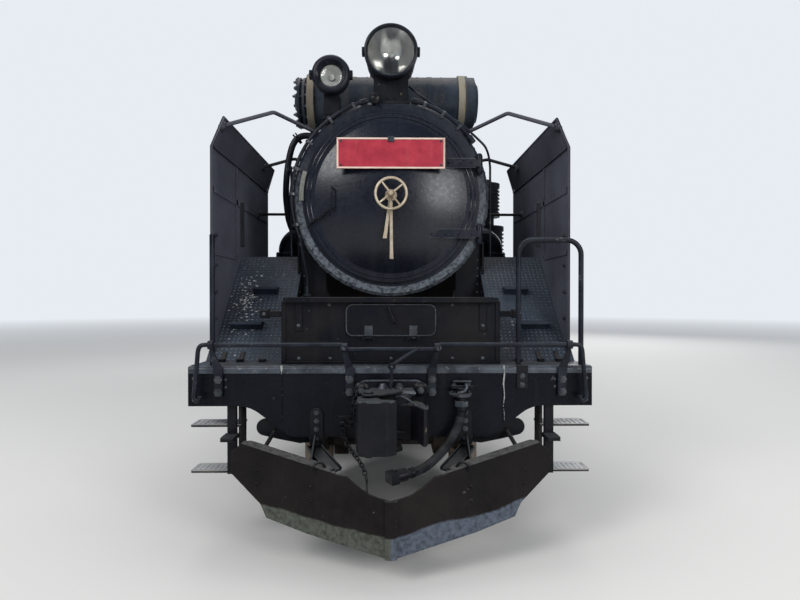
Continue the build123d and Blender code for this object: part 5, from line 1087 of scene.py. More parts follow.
def makeBeamDetails(s):
    # the edge is a quarter circle in section, carried across the engine
    r, p = s["edgeRadius"], s["edgeProud"]
    turn = sweep(0, 90, 8)
    section = [(-p, -0.018), *[(-p + r - r * np.cos(t), 0.02 + p - r + r * np.sin(t)) for t in turn],
        (0.09, 0.02 + p), (0.09, 0.0), (0.02, 0.0), (0.004, -0.018)]
    outline = np.array([(station, 1.12 + z) for station, z in section])
    # the rounded edge is pale: painted wear and highlight
    addPiece("beamEdge", [plate(outline, "side", -s["halfWidth"], s["halfWidth"], 0.002)], edgeWearAndHighlight)
    heads = [stamped("nut", at(side * x, -0.024, z), toFront, 0.019) for x, z in s["bolts"] for side in (-1, 1)]
    heads += [stamped("nut", at([0.8, 0.8], -0.008, [1.085, 1.03]), toFront, 0.014),
        stamped("rivet", at([-1.196, -1.196, 1.196, 1.196], 0, [1.07, 0.94, 1.07, 0.94]), toFront, 0.012)]
    plates = [boxShape(0.765, 0.835, -0.01, 0.002, 1.005, 1.15, 0.003)]
    for side in (-1, 1):
        top = sweep(0, 180, 9)
        x, half = side * s["anglePlateX"], s["anglePlateHalf"]
        outline = [(x - half, 0.668), (x + half, 0.668),
            *[(x + half * np.cos(t), 0.85 + half * np.sin(t)) for t in top]]
        plates.append(plate(outline, "cross", -0.014, 0.0, 0.003))
        heads += [stamped("nut", at(x, -0.014, [0.865, 0.815, 0.765, 0.705]), toFront, 0.013),
            stamped("hex", at(side * 1.0, 0.0, [1.065, 1.02]), toFront, 0.009)]
    # the stiffener's edge behind the face shows as shallow upright welds
    beads = []
    for x in s["seams"]:
        z = np.linspace(1.146, 0.8, 40)
        beads.append(tube(at(x + 0.0015 * np.sin(z * 190), -0.0005, z), 0.0055 + 0.001 * np.sin(z * 333), 6))
    addPiece("beamSeams", beads, beamBlack)
    z = np.linspace(1.148, 0.815, 30)
    drips = [tube(at(0.689 + 0.0025 * np.sin(z * 47), -0.0025, z), np.linspace(0.0065, 0.0018, 30), 6),
        tube(at([-0.664, -0.663, -0.664], -0.0035, [1.15, 1.128, 1.096]), [0.01, 0.007, 0.002], 6)]
    addPiece("paintDrips", drips, paleDrip)
    for side in (-1, 1):
        # post and collar at the plow's end
        plates += [boxShape(*sorted((side * 0.945, side * 1.003)), 0.03, 0.058, 0.48, 0.905, 0.004),
            boxShape(*sorted((side * 0.935, side * 1.015)), -0.085, 0.06, 0.703, 0.728, 0.006)]
    addPiece("beamPlates", plates, castBlack)
    addPiece("beamBolts", heads, boltPaintAndGlint)


makeBeamDetails(beamSettings)


# Uncoupling lever with its straps and handles, in place of the plain one
leverSettings = {"station": -0.072, "radius": 0.0135, "outerZ": 1.281, "innerZ": 1.253, "step": 0.285,
    "straps": (1.07, 0.276),
    "arm": [(0.176, -0.074, 1.262), (0.12, -0.082, 1.234), (0.05, -0.096, 1.19), (0.014, -0.106, 1.168)]}


def makeLever(s):
    # the bar is a tube through one half's points and their mirror images
    half = [(0.0, s["innerZ"]), (0.12, s["innerZ"]), (s["step"] - 0.035, s["innerZ"]),
        (s["step"] - 0.01, s["innerZ"] + 0.006), (s["step"] + 0.012, s["outerZ"] - 0.006),
        (s["step"] + 0.035, s["outerZ"]), (0.6, s["outerZ"]), (1.04, s["outerZ"]), (1.11, 1.281),
        (1.134, 1.272), (1.146, 1.245), (1.152, 1.18), (1.166, 1.02), (1.17, 0.975), (1.16, 0.95),
        (1.143, 0.952), (1.137, 0.974)]
    points = np.array([(-x, z) for x, z in half[:0:-1]] + half)
    shapes = [tube(smoothPath(at(points[:, 0], s["station"], points[:, 1]), 6), s["radius"], 12),
        tube(smoothPath(at(*np.array(s["arm"]).T), 6), 0.011, 10),
        ringShape(-0.01, 0.01, 0.011, 0.022, at(0.004, -0.11, 1.155), (0.4, 1, 0.1), 18),
        tube(smoothPath(at([0.004, 0.003, 0.0, -0.002], [-0.112, -0.118, -0.125, -0.13],
            [1.14, 1.1, 1.06, 1.012]), 6), 0.01, 8)]
    knobs = []
    for side in (-1, 1):
        knobs.append(solid([(-0.02, 0.012), (-0.012, 0.021), (0.012, 0.021), (0.02, 0.012)],
            at(side * (s["step"] - 0.006), s["station"] - 0.004, s["innerZ"] + 0.01), (0.4, -1, 0.3), 18))
        for out in s["straps"]:
            # eye, neck and foot: the strap stands off the beam at its top and widens over the beam's edge
            shapes.append(ringShape(-0.016, 0.016, 0.0135, 0.026,
                at(side * out, s["station"], s["outerZ"] if out > 0.5 else s["innerZ"] + 0.012), toLeft, 20))
            neck = smoothPath(at(side * (out - np.array([0, 0, 0.004, 0.016, 0.024])),
                    [-0.066, -0.06, -0.045, -0.026, -0.014], [1.268, 1.25, 1.215, 1.165, 1.13]), 6)
            wide = np.linspace(0, 1, len(neck)) ** 1.6
            section = np.array([(-1.0, -1.0), (1.0, -1.0), (1.0, 1.0), (-1.0, 1.0)])
            half2 = np.stack([0.009 + 0.018 * wide, 0.006 + 0 * wide], -1)
            shapes += [carried(section[None] * half2[:, None], neck, (0, -1, 0.2)),
                boxShape(*sorted((side * (out - 0.055), side * out)), -0.024, -0.002, 0.962, 1.14, 0.004)]
    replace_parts(addPiece("uncouplingLever", shapes, railBlack), "uncoupling_lever")
    # the knobs are pale: painted wear and highlight
    addPiece("leverKnobs", knobs, edgeWearAndHighlight)


makeLever(leverSettings)


# Hidden stays' eyes under the beam, clips at the slopes' feet, angle cock's fittings
smallSettings = {"eye": (0.778, 0.762), "eyeRadius": 0.052, "cockX": 0.42, "cockStation": -0.08}


def makeSmallFittings(s):
    # each eye is an arc closed by straight edges; the cock is turned round upright lines
    u, z = s["eye"]
    turn = sweep(-70, 120, 14)
    outline = [(u + s["eyeRadius"] * np.cos(t), z + s["eyeRadius"] * np.sin(t)) for t in turn]
    outline += [(0.52, 0.735), (0.5, 0.668), (0.56, 0.662), (0.7, 0.69)]
    dark = bothSides([plate(outline, "cross", 0.052, 0.076, 0.005)])
    clips = [boxShape(x - 0.022, x + 0.022, 0.262, 0.3, 1.14, 1.163, 0.004) for x in (0.84, 0.985, 1.105, 1.15)]
    clips += [bar(slopePoint([x, x], np.array([0.02, 0.075])) + [0, -0.003, 0.003], 0.03, 0.01, (0, -1, 1.1))
        for x in (0.985, 1.105)]
    clips += [boxShape(0.985, 1.01, 0.392, 0.402, 1.9, 2.2, 0.003)]
    addPiece("stayEyes", dark, castBlack)
    addPiece("slopeClips", bothSides(clips), castBlack)
    face = stamped("nut", at(1.183, [0.42, 0.42, 0.42, 0.42], [1.42, 1.6, 1.78, 1.98]), toRight, 0.013)
    addPiece("deflectorBolts", bothSides([face]), boltPaintAndGlint)
    x, station = s["cockX"], s["cockStation"]
    cock = [solid([(0, 0.04), (0.008, 0.058), (0.02, 0.058), (0.026, 0.04)], at(x, station, 0.968), toTop, 28),
        turned([(0, 0.03), (0, 0.044), (0.03, 0.044), (0.034, 0.036), (0.034, 0.03)], at(x, station, 0.915),
            toTop, 6, True),
        boxShape(x - 0.07, x + 0.06, station - 0.018, station + 0.06, 0.984, 0.992, 0.002),
        boxShape(x - 0.045, x + 0.065, -0.05, 0.0, 1.052, 1.06, 0.002),
        tube(smoothPath(at([x + 0.025, x + 0.028, x + 0.01, x - 0.028], [station - 0.02, station - 0.03,
            station - 0.04, station - 0.04], [1.052, 1.03, 1.008, 0.998]), 6), 0.008, 8)]
    heads = [stamped("nut", at([x - 0.035, x + 0.045], -0.01, [1.025, 1.035]), toFront, 0.014),
        stamped("nut", at([x - 0.055, x + 0.045], station + 0.01, 0.992), toTop, 0.011)]
    # the angle cock's parts are pale: painted wear and highlight
    addPiece("angleCockParts", cock, edgeWearAndHighlight)
    addPiece("angleCockBolts", heads, boltPaintAndGlint)


makeSmallFittings(smallSettings)


# Coupler: head with its guard arm and lugs, pocket plate with round bosses, shelf, pale rims of painted wear
# and highlight, chains
couplerSettings = {"bossX": 0.178, "bossZ": 1.008, "bossRadius": 0.034, "pin": (-0.125, -0.325),
    "guard": [(-0.15, -0.15), (0.15, -0.15), (0.188, -0.215), (0.201, -0.3), (0.203, -0.385), (0.196, -0.402),
        (0.178, -0.403), (0.164, -0.385), (0.146, -0.31), (0.11, -0.262), (0.02, -0.24), (-0.06, -0.24),
        (-0.168, -0.228)],
    "crown": [(-0.13, -0.15), (0.1, -0.15), (0.118, -0.2), (0.09, -0.246), (-0.06, -0.246), (-0.13, -0.222)],
    "rim": [(0.026, -0.247, 1.002), (0.062, -0.249, 1.001), (0.1, -0.262, 0.984), (0.128, -0.3, 0.969),
        (0.156, -0.375, 0.963), (0.178, -0.402, 0.962), (0.198, -0.398, 0.962), (0.201, -0.33, 0.962)],
    "pocket": (0.404, 0.345, 0.055, 0.8875)}


def makeCouplerDetails(s):
    # outlines seen from above are carried up through their thickness; pins are turned
    pinX, pinStation = s["pin"]
    shapes, heads = [boxShape(-0.075, 0.075, -0.17, 0.4, 0.79, 0.94, 0.006)], []
    shapes += [plate(s["guard"], "plan", 0.75, 0.962, 0.01), plate(s["crown"], "plan", 0.94, 1.001, 0.014)]
    # lugs above and below the knuckle, round about its pin
    turn = sweep(-40, -180, 12)
    lug = [(-0.15, -0.17), (0.06, -0.17), (0.066, -0.235), (0.035, -0.275), (-0.06, -0.345),
        *[(pinX + 0.04 * np.cos(t), pinStation + 0.04 * np.sin(t)) for t in turn], (-0.166, -0.25),
        (-0.16, -0.19)]
    shapes += [plate(lug, "plan", 1.015, 1.031, 0.005),
        plate(lug, "plan", 0.687, 0.715, 0.006),
        boxShape(-0.1, 0.04, -0.238, -0.17, 0.69, 1.03, 0.006),
        solid([(0.677, 0.02), (1.031, 0.02), (1.031, 0.027), (1.041, 0.027), (1.046, 0.02)],
            at(pinX, pinStation, 0), toTop, 24)]
    # pocket's plate with its raised rim on the beam, the lock's tail in the throat
    width, height, corner, middle = s["pocket"]
    outline = roundRect(width, height, corner, 0, middle, 7)
    shapes += [plate(outline, "cross", -0.03, 0.0, 0.005),
        boxShape(0.028, 0.086, -0.262, -0.236, 0.793, 0.806, 0.003),
        boxShape(-0.325, -0.235, -0.014, 0.0, 0.775, 0.845, 0.004)]
    for side in (-1, 1):
        x = side * s["bossX"]
        shapes.append(turned([(0, 0), (0, 0.046), (0.01, 0.046), (0.016, s["bossRadius"]),
                (0.036, s["bossRadius"]), (0.05, 0.024), (0.052, 0)], at(x, -0.028, s["bossZ"]), toFront, 28))
        heads += [stamped("nut", at([x], -0.078, s["bossZ"]), toFront, 0.015),
            stamped("nut", at(side * np.array([0.18, 0.18]), -0.03, [0.8, 0.745]), toFront, 0.015)]
    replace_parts(addPiece("couplerBody", shapes, castBlack), "coupler_body")
    # shelf behind the lugs: its front edge waves by a few millimetres
    x = np.linspace(-0.137, 0.146, 24)
    front = -0.165 - 0.018 * np.cos(9 * x) + 0.004 * np.sin(95 * x)
    shelf = [*zip(x, front), (0.14, -0.03), (-0.131, -0.03)]
    # the shelf, the rims and the bosses' tops are pale: painted wear and highlight
    worn = [plate(shelf, "plan", 0.992, 1.019, 0.011),
        tube(smoothPath(at(*np.array(s["rim"]).T), 6), 0.0055, 8),
        tube(at(outline[:, 0], -0.031, outline[:, 1])[:15], 0.0065, 8)]
    for x in (-0.048, 0.05):
        worn.append(turned([(0, 0.031), (0.01, 0.029), (0.022, 0.02), (0.03, 0.016), (0.036, 0.0)],
            at(x, -0.06, 1.016), toTop, 20))
    addPiece("couplerWearAndHighlight", worn, edgeWearAndHighlight)
    addPiece("couplerBolts", heads, boltPaintAndGlint)
    ridge = [boxShape(-0.188, -0.18, -0.44, -0.36, 0.735, 0.995, 0.003)]
    addPiece("knuckleDetails", ridge, castBlack, "coupler_knuckle")
    rim = at([-0.178, -0.176, -0.16, -0.1, -0.04, -0.018, 0.014],
        [-0.385, -0.44, -0.47, -0.475, -0.474, -0.47, -0.448], 1.0065)
    # the knuckle's rim is pale: painted wear and highlight
    addPiece("knuckleRim", [tube(smoothPath(rim, 6), 0.006, 8)], edgeWearAndHighlight, "coupler_knuckle")
    makeChain("liftChain", [(-0.2, -0.075, 1.0), (-0.214, -0.13, 0.93), (-0.216, -0.14, 0.87),
            (-0.228, -0.11, 0.825), (-0.278, -0.055, 0.8)], 0.038, 0.006, "root")
    makeChain("couplerChain", [(-0.287, -0.05, 0.77), (-0.276, -0.07, 0.715), (-0.235, -0.12, 0.662),
            (-0.17, -0.2, 0.6), (-0.14, -0.27, 0.545)], 0.028, 0.0045, "root")
    # the chain's lower end holds to an eye on the plow's back
    links = [ringShape(-0.01, 0.01, 0.01, 0.024, at(-0.29, -0.04, 0.792), (0, 1, 0.2), 16),
        stamped("nut", at([-0.3, -0.262], -0.012, [0.806, 0.818]), toFront, 0.012),
        ringShape(-0.006, 0.006, 0.008, 0.018, at(-0.136, -0.28, 0.535), toLeft, 14),
        tube(at([-0.144, -0.138, -0.13], [-0.256, -0.285, -0.398], [0.562, 0.53, 0.48]), 0.006, 8)]
    addPiece("chainEyes", links, castBlack)


makeCouplerDetails(couplerSettings)


# Plow: two plates that meet under the nose strip, top flange, channel braces up to the beam
plowSettings = {
    "nose": -0.45, "slope": 0.34 / 0.943, "thick": 0.012, "flange": 0.066,
    "edge": [(0.309, 0.585), (0.36, 0.596), (0.6, 0.646), (0.879, 0.705)],
    "top": [(0, 0.474), (0.06, 0.483), (0.119, 0.499), (0.18, 0.534), (0.247, 0.583), (0.309, 0.587),
            (0.879, 0.705), (0.937, 0.659), (0.943, 0.652)],
    "foot": [(0, 0.155), (0.478, 0.235), (0.72, 0.293), (0.758, 0.369), (0.943, 0.528)],
    # x, station, z of the braces' middle lines
    "brace": [(0.462, -0.02, 0.672), (0.452, -0.05, 0.648), (0.335, -0.245, 0.592), (0.312, -0.272, 0.582)],
    "stay": [(0.715, 0.03, 0.74), (0.735, -0.05, 0.7), (0.765, -0.16, 0.64)],
}


def makePlow(s):
    # P(x, t) = the foot's line up to the top's line; a slight ripple stands the plate in and out
    x = np.unique(np.r_[np.linspace(0, 0.943, 64), [p[0] for p in s["top"] + s["foot"]]])[:, None]
    t = np.r_[0, 0.012, np.linspace(0.03, 0.97, 16), 0.988, 1.0][None]
    top = np.interp(x, *np.array(s["top"]).T)
    foot = np.interp(x, *np.array(s["foot"]).T)
    z = foot + (top - foot) * t
    ripple = 0.0016 * np.sin(9 * x + 5 * z) * np.sin(13 * z) + 0.001 * np.sin(31 * x - 11 * z)
    ripple = ripple * np.clip(x / 0.08, 0, 1) * np.sin(np.pi * t) ** 0.5
    edge = np.where((t < 0.006) | (t > 0.994), 0.003, 0.0)
    front = at(x + 0 * t, s["nose"] + s["slope"] * x + ripple + edge, z)
    back = at(x + 0 * t, s["nose"] + s["slope"] * x + ripple + s["thick"] * 1.06 - edge, z)
    ring = np.concatenate([front, back[:, ::-1]], 1)
    rows, columns = ring.shape[:2]
    faces = gridFaces(rows, columns, False, True) + [list(range(columns))[::-1],
        list(range((rows - 1) * columns, rows * columns))]
    shapes = bothSides([(ring.reshape(-1, 3), faces)])
    nose = [(-0.034, 0.158), (0, 0.153), (0.034, 0.158), (0.034, 0.474), (0.0, 0.47), (-0.034, 0.474)]
    shapes.append(plate(nose, "cross", s["nose"] - 0.004, s["nose"] + 0.022, 0.003))
    # top flange behind the edge
    edgeLine = np.array(s["edge"])
    x = np.linspace(edgeLine[0, 0], edgeLine[-1, 0], 24)
    z = np.interp(x, *edgeLine.T)
    reach = s["flange"] * np.interp(x, [0.309, 0.37, 0.85, 0.879], [0.25, 1.0, 1.0, 0.55])
    inward = np.array([-s["slope"], 1.0]) / math.hypot(s["slope"], 1.0)
    low = at(x, s["nose"] + s["slope"] * x - 0.001, z - 0.004)
    shift = np.stack([inward[0] * reach, inward[1] * reach, 0.16 * reach], -1)
    across = np.stack([low, low + shift, low + shift + [0, 0, 0.009], low + [0, 0, 0.009]], 1)
    faces = gridFaces(24, 4, False, True) + [[3, 2, 1, 0], [92, 93, 94, 95]]
    shapes += bothSides([(across.reshape(-1, 3), faces)])
    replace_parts(addPiece("plow", shapes, plowBlack), "snowplow")
    # braces: a flat web with two upstanding edges; round stays outside them; lifting hoops
    line = smoothPath(at(*np.array(s["brace"]).T), 6)
    section = [(-0.044, -0.004), (0.044, -0.004), (0.044, 0.02), (0.036, 0.02), (0.036, 0.004), (-0.036, 0.004),
        (-0.036, 0.02), (-0.044, 0.02)]
    braces = [carried(section, line, (0.35, 0.25, 1.0)),
        tube(smoothPath(at(*np.array(s["stay"]).T), 6), 0.013, 10)]
    hoop = sweep(0, 180, 12)
    braces.append(tube(at(0.405 - 0.036 * np.cos(hoop), -0.3 + 0.018 * np.cos(hoop),
            0.596 + 0.045 * np.sin(hoop)), 0.008, 8))
    web = [(-0.268, 0.56), (-0.268, 0.606), (-0.052, 0.73), (-0.006, 0.73), (-0.006, 0.64), (-0.23, 0.56)]
    braces.append(plate(web, "side", 0.452, 0.464, 0.002))
    foot = at([0.27, 0.38], np.array([0.27, 0.38]) * s["slope"] + s["nose"] + 0.021, 0.556)
    braces.append(bar(foot, 0.052, 0.014, (-0.34, 0.94, 0)))
    addPiece("plowBraces", bothSides(braces), castBlack)
    rise = np.arange(0.19, 0.47, 0.035)
    heads = [stamped("rivet", at(side * 0.024, s["nose"] - 0.004, rise), toFront, 0.0065) for side in (-1, 1)]
    out = np.array([0.45, 0.45, 0.78, 0.78])
    heads += bothSides([stamped("rivet", at(out, s["nose"] + s["slope"] * out - 0.001, [0.5, 0.42, 0.56, 0.48]),
        (-0.34, -0.94, 0), 0.01)])
    addPiece("plowRivets", heads, plowBlack)


makePlow(plowSettings)


# Smoke deflectors: rolled front edge, seam battens, rivets
deflectorSettings = {"x": 1.185, "front": 0.35, "rear": 2.15, "fold": 2.565, "top": 2.762, "lean": 0.075,
                     "seamZ": 2.285, "seamStation": 0.975, "rivetPitch": 0.085}


def makeDeflectorDetails(s):
    # tubes follow the sheet's edges, flat bars cover its seams, rivets stand in rows
    x = s["x"] + 0.005
    shapes = [tube(at([x, x, x - s["lean"]], [s["front"], s["front"], s["front"] + 0.025],
            [1.2, s["fold"], s["top"]]), 0.009, 8),
        tube(at(x - s["lean"], [s["front"] + 0.025, s["rear"] - 0.06], s["top"]), 0.009, 8),
        tube(at([x, x - s["lean"]], [s["rear"], s["rear"] - 0.06], [s["fold"], s["top"]]), 0.008, 8),
        tube(at(x, [s["rear"], s["rear"]], [1.9, s["fold"]]), 0.008, 8)]
    for face, out in ((s["x"] - 0.003, -1), (s["x"] + 0.013, 1)):
        shapes += [bar(at(face, [s["front"] + 0.02, s["rear"] - 0.02], s["seamZ"]), 0.045, 0.006, (out, 0, 0)),
            bar(at(face, [s["seamStation"]] * 2, [1.86, s["fold"] - 0.01]), 0.04, 0.006, (out, 0, 0)),
            bar(at(face, [s["front"] + 0.02, s["seamStation"]], [1.862, 1.862]), 0.03, 0.006, (out, 0, 0))]
        run = np.arange(s["front"] + 0.06, s["rear"], s["rivetPitch"])
        rise = np.arange(1.9, s["fold"] - 0.03, s["rivetPitch"])
        for offset in (-0.013, 0.013):
            shapes += [stamped("rivet", at(face + out * 0.003, run, s["seamZ"] + offset), (out, 0, 0), 0.0055),
                stamped("rivet", at(face + out * 0.003, s["seamStation"] + offset, rise), (out, 0, 0), 0.0055)]
    foldLine = at([x - 0.012, x - 0.012], [s["front"] + 0.02, s["rear"] - 0.02], s["fold"] - 0.002)
    shapes.append(tube(foldLine, 0.006, 6))
    addPiece("deflectorSeams", bothSides(shapes), deflectorBlack)
    joints = []
    for station, z, px in ((0.4, 2.711, x - 0.062), (1.7, 2.711, x - 0.062), (1.75, 2.3, x - 0.004)):
        profile = [(-0.02, 0.022), (-0.006, 0.034), (0.01, 0.034)]
        joints += [solid(profile, at(px, station, z), (1, 0, 0.15), 16),
            stamped("nut", at([px + 0.014], station, z), toLeft, 0.012)]
    addPiece("stayJoints", bothSides(joints), boltPaintAndGlint)


makeDeflectorDetails(deflectorSettings)


# Feedwater heater: cream flange and band, cover bolts, cladding seams
heaterSettings = {"station": 1.49, "z": 3.208, "right": -0.69, "studRadius": 0.189,
    "seams": (-0.42, -0.2, 0.22, 0.42)}


def makeHeaterDetails(s):
    # bands and covers are turned round the heater's line, bolts stand at even angles
    centre = at(0, s["station"], s["z"])
    pale = [turned([(-0.6885, 0.2415), (-0.685, 0.2445), (-0.636, 0.2445), (-0.632, 0.2415)], centre, toLeft,
            72, True),
        turned([(0.556, 0.2165), (0.558, 0.229), (0.612, 0.229), (0.614, 0.2165)], centre, toLeft, 72, True)]
    addPiece("heaterBands", pale, creamPaint)
    angle = sweepBy(0, 360, 22.5)
    around = np.stack([0 * angle, np.cos(angle), np.sin(angle)], -1)
    bolts = [stamped("nut", centre + s["studRadius"] * around + [s["right"] - 0.086, 0, 0], toRight, 0.019),
        stamped("nut", centre + 0.222 * around + [s["right"], 0, 0], toRight, 0.013),
        stamped("hex", centre + 0.212 * around + [s["right"] + 0.06, 0, 0], toLeft, 0.013)]
    turn = sweepBy(-60, 250, 14.0)
    along = np.stack([0 * turn, np.cos(turn), np.sin(turn)], -1)
    for x in s["seams"]:
        bolts.append(stamped("screw", centre + 0.2155 * along + [x, 0, 0], along, 0.0055))
    cover = [solid([(-0.812, 0.055), (-0.8, 0.07), (-0.782, 0.085), (-0.776, 0.182), (-0.772, 0.206),
            (-0.756, 0.208), (-0.752, 0.206), (-0.748, 0.172), (-0.736, 0.172), (-0.732, 0.206),
            (-0.712, 0.208), (-0.706, 0.196), (-0.688, 0.19)], centre, toLeft, 48),
        turned([(0.694, 0), (0.694, 0.19), (0.71, 0.178), (0.724, 0.12), (0.728, 0)], centre, toLeft, 48)]
    for x in (-0.31, 0.32):
        cover.append(ringShape(x - 0.02, x + 0.02, 0.214, 0.2185, centre, toLeft, 64))
    ends = np.array([[s["right"] - 0.118, 0, 0], [s["right"] - 0.02, 0, 0]])
    for spoke in around[::2]:
        cover.append(tube(centre + s["studRadius"] * spoke + ends, 0.009, 8))
    addPiece("heaterBolts", bolts, boltPaintAndGlint)
    addPiece("heaterCovers", cover, heaterBlack)


makeHeaterDetails(heaterSettings)


# Pipework, in place of the plain one: the feed pipe bends round the smokebox as in the photo
pipeSettings = {"feed": [(-0.52, 3.03), (-0.548, 2.972), (-0.6, 2.938), (-0.66, 2.932), (-0.72, 2.936),
        (-0.772, 2.926), (-0.815, 2.892), (-0.846, 2.83), (-0.872, 2.72), (-0.889, 2.583), (-0.895, 2.441),
        (-0.886, 2.32), (-0.866, 2.2), (-0.812, 2.07), (-0.757, 1.98), (-0.736, 1.92), (-0.735, 1.878)],
    "feedStation": 1.49, "feedRadius": 0.027, "boardTop": 1.88, "steamX": 0.98, "steamStation": 2.15,
    "steamZ": 2.13, "steamFoot": 1.39, "steamRadius": 0.1, "sandRadius": 0.02, "sandRound": 0.775,
    "sandX": 0.777}


def makePipework(s):
    # pipes are circles carried along smooth curves and arcs, flanges are turned
    x, z = np.array(s["feed"]).T
    feed = smoothPath(at(x, s["feedStation"], z), 6)
    shapes = [tube(feed, s["feedRadius"], 18)]
    for share in (0.335, 0.352):
        near = int(share * len(feed))
        shapes.append(ringShape(-0.006, 0.006, 0.02, 0.05, feed[near], feed[near + 1] - feed[near - 1], 24))
    shapes.append(solid([(0, 0.048), (0.018, 0.048), (0.024, 0.03)],
        at(-0.735, s["feedStation"], s["boardTop"]), toTop, 28))
    # steam pipe: out from the smokebox, a quarter circle, then straight down
    bend = sweep(90, 0, 14)
    x = np.concatenate([[0.6], s["steamX"] - 0.13 + 0.13 * np.cos(bend), [s["steamX"]]])
    z = np.concatenate([[s["steamZ"]], s["steamZ"] - 0.13 + 0.13 * np.sin(bend), [s["steamFoot"]]])
    pair = [tube(at(x, s["steamStation"], z), s["steamRadius"], 40)]
    for low, wide in ((s["steamZ"] - 0.19, 0.125), (s["steamZ"] - 0.17, 0.125), (s["boardTop"], 0.122)):
        pair.append(turned([(0, 0.09), (0, wide - 0.003), (0.003, wide), (0.015, wide), (0.018, wide - 0.003),
                (0.018, 0.09)], at(s["steamX"], s["steamStation"], low), toTop, 40, True))
    turn = np.radians(np.arange(8) * 45 + 22.5)
    pair += [stamped("nut", ringAt(s["steamX"], s["steamStation"], s["steamZ"] - 0.152, 0.112, turn, "plan"),
            toTop, 0.009),
        tube(at(0.762, 0.96, [2.56, 1.878]), 0.009, 12)]
    for height in (2.45, 2.06):
        inner = math.sqrt(smokeboxRadius ** 2 - (height - boilerZ) ** 2) * 0.985
        pair.append(boxShape(inner, 0.764, 0.95, 0.97, height - 0.01, height + 0.01, 0.002))
    for station, drift in ((3.35, -0.06), (4.9, 0.06)):
        drop = smoothPath([(s["sandX"], station + drift * share, height) for share, height in
            ((0.1, 2.4), (0.4, 2.2), (0.8, 2.0), (1.0, s["boardTop"] - 0.005))], 4)
        path = np.concatenate([arc(s["sandRound"], 56, 10, 14, station), at(*drop[1:].T)])
        pair.append(tube(path, s["sandRadius"], 12))
    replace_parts(addPiece("pipes", shapes + bothSides(pair), railBlack), "pipework")
    # the flange's three bolts in sight
    offsets = np.array([[0.03, 0.0, 0.034], [-0.03, 0.0, -0.034], [0.0, -0.046, 0.0]])
    bolts = stamped("nut", feed[int(0.343 * len(feed))] + offsets, (-0.75, 0, 0.66), 0.01)
    addPiece("pipeBolts", [bolts], boltPaintAndGlint)


makePipework(pipeSettings)
print("front dressed")


# Boiler clothing: hoop clips, sheet seams, washout plugs, smokebox rivets
boilerSettings = {
    "hoops": (3.4, 4.4, 5.6), "hoopRadius": 0.752, "smokeboxRows": (0.905, 1.3, 2.1, 2.72),
    "firebox": (6.7, 6.98, 7.26, 7.54, 7.82, 8.1), "fireboxRadius": 0.782, "clipDegrees": -38,
    "seamDegrees": (28, -18), "plugDegrees": 52,
}


def makeBoilerDetails(s):
    # rivets stand on circles round the boiler's line, seams are bars along it
    heads, clips = [], []
    for station in s["smokeboxRows"]:
        turn = sweepBy(-52, 233, 5.2)
        around = outward(turn)
        heads.append(stamped("rivet", at(0, station, boilerZ) + smokeboxRadius * around, around, 0.01))
    addPiece("smokeboxRivets", heads, smokeboxBlack)
    for station in s["hoops"]:
        for side in (-1, 1):
            lean = np.radians(s["clipDegrees"])
            away = outward(lean, side)
            centre = at(0, station, boilerZ) + (s["hoopRadius"] + 0.01) * away
            along = np.array([-side * np.sin(lean), 0, np.cos(lean)])
            clips.append(tube(np.stack([centre - 0.06 * along, centre + 0.06 * along]), 0.009, 8))
            for reach in (-0.06, 0.06):
                clips += [stamped("nut", [centre + reach * along], along * np.sign(reach), 0.014),
                    bar(np.stack([centre + reach * along - 0.02 * away, centre + reach * along + 0.016 * away]),
                        0.05, 0.012, along)]
        turn = sweepBy(-30, 211, 12.0)
        around = outward(turn)
        for step in (-0.02, 0.02):
            clips.append(stamped("screw", at(0, station + step, boilerZ) + (s["hoopRadius"] - 0.001) * around,
                around, 0.0045))
    seams = []
    for side in (-1, 1):
        for degrees in s["seamDegrees"]:
            lean = np.radians(degrees)
            for low, high, radius in ((2.79, 6.55, 0.7415), (6.62, 8.29, s["fireboxRadius"])):
                centre = at(side * radius * np.cos(lean), [low, high], boilerZ + radius * np.sin(lean))
                seams.append(bar(centre, 0.03, 0.005, outward(lean, side), 0.001))
                count = np.arange(low + 0.05, high, 0.11)
                seams.append(stamped("screw", at(side * (radius + 0.002) * np.cos(lean), count,
                        boilerZ + (radius + 0.002) * np.sin(lean)), outward(lean, side), 0.0045))
    addPiece("clothingSeams", seams, boilerBlack)
    addPiece("hoopClips", clips, boltPaintAndGlint)
    plugs = []
    for side in (-1, 1):
        for station in s["firebox"]:
            lean = np.radians(s["plugDegrees"])
            away = outward(lean, side)
            centre = at(0, station, boilerZ) + s["fireboxRadius"] * away
            plugs.append(solid([(-0.01, 0.04), (0.008, 0.04), (0.014, 0.034), (0.014, 0.018), (0.034, 0.016)],
                centre, away, 20))
    addPiece("washoutPlugs", plugs, agedBrass)


makeBoilerDetails(boilerSettings)


# Dome casing: sand box lid, sheet joints with screws
domeSettings = {"front": 3.0, "rear": 5.4, "half": 0.35, "top": 3.72, "joints": (3.78, 4.62),
    "lids": (3.45, 4.95), "chimney": 1.95, "chimneyBolts": 0.3}


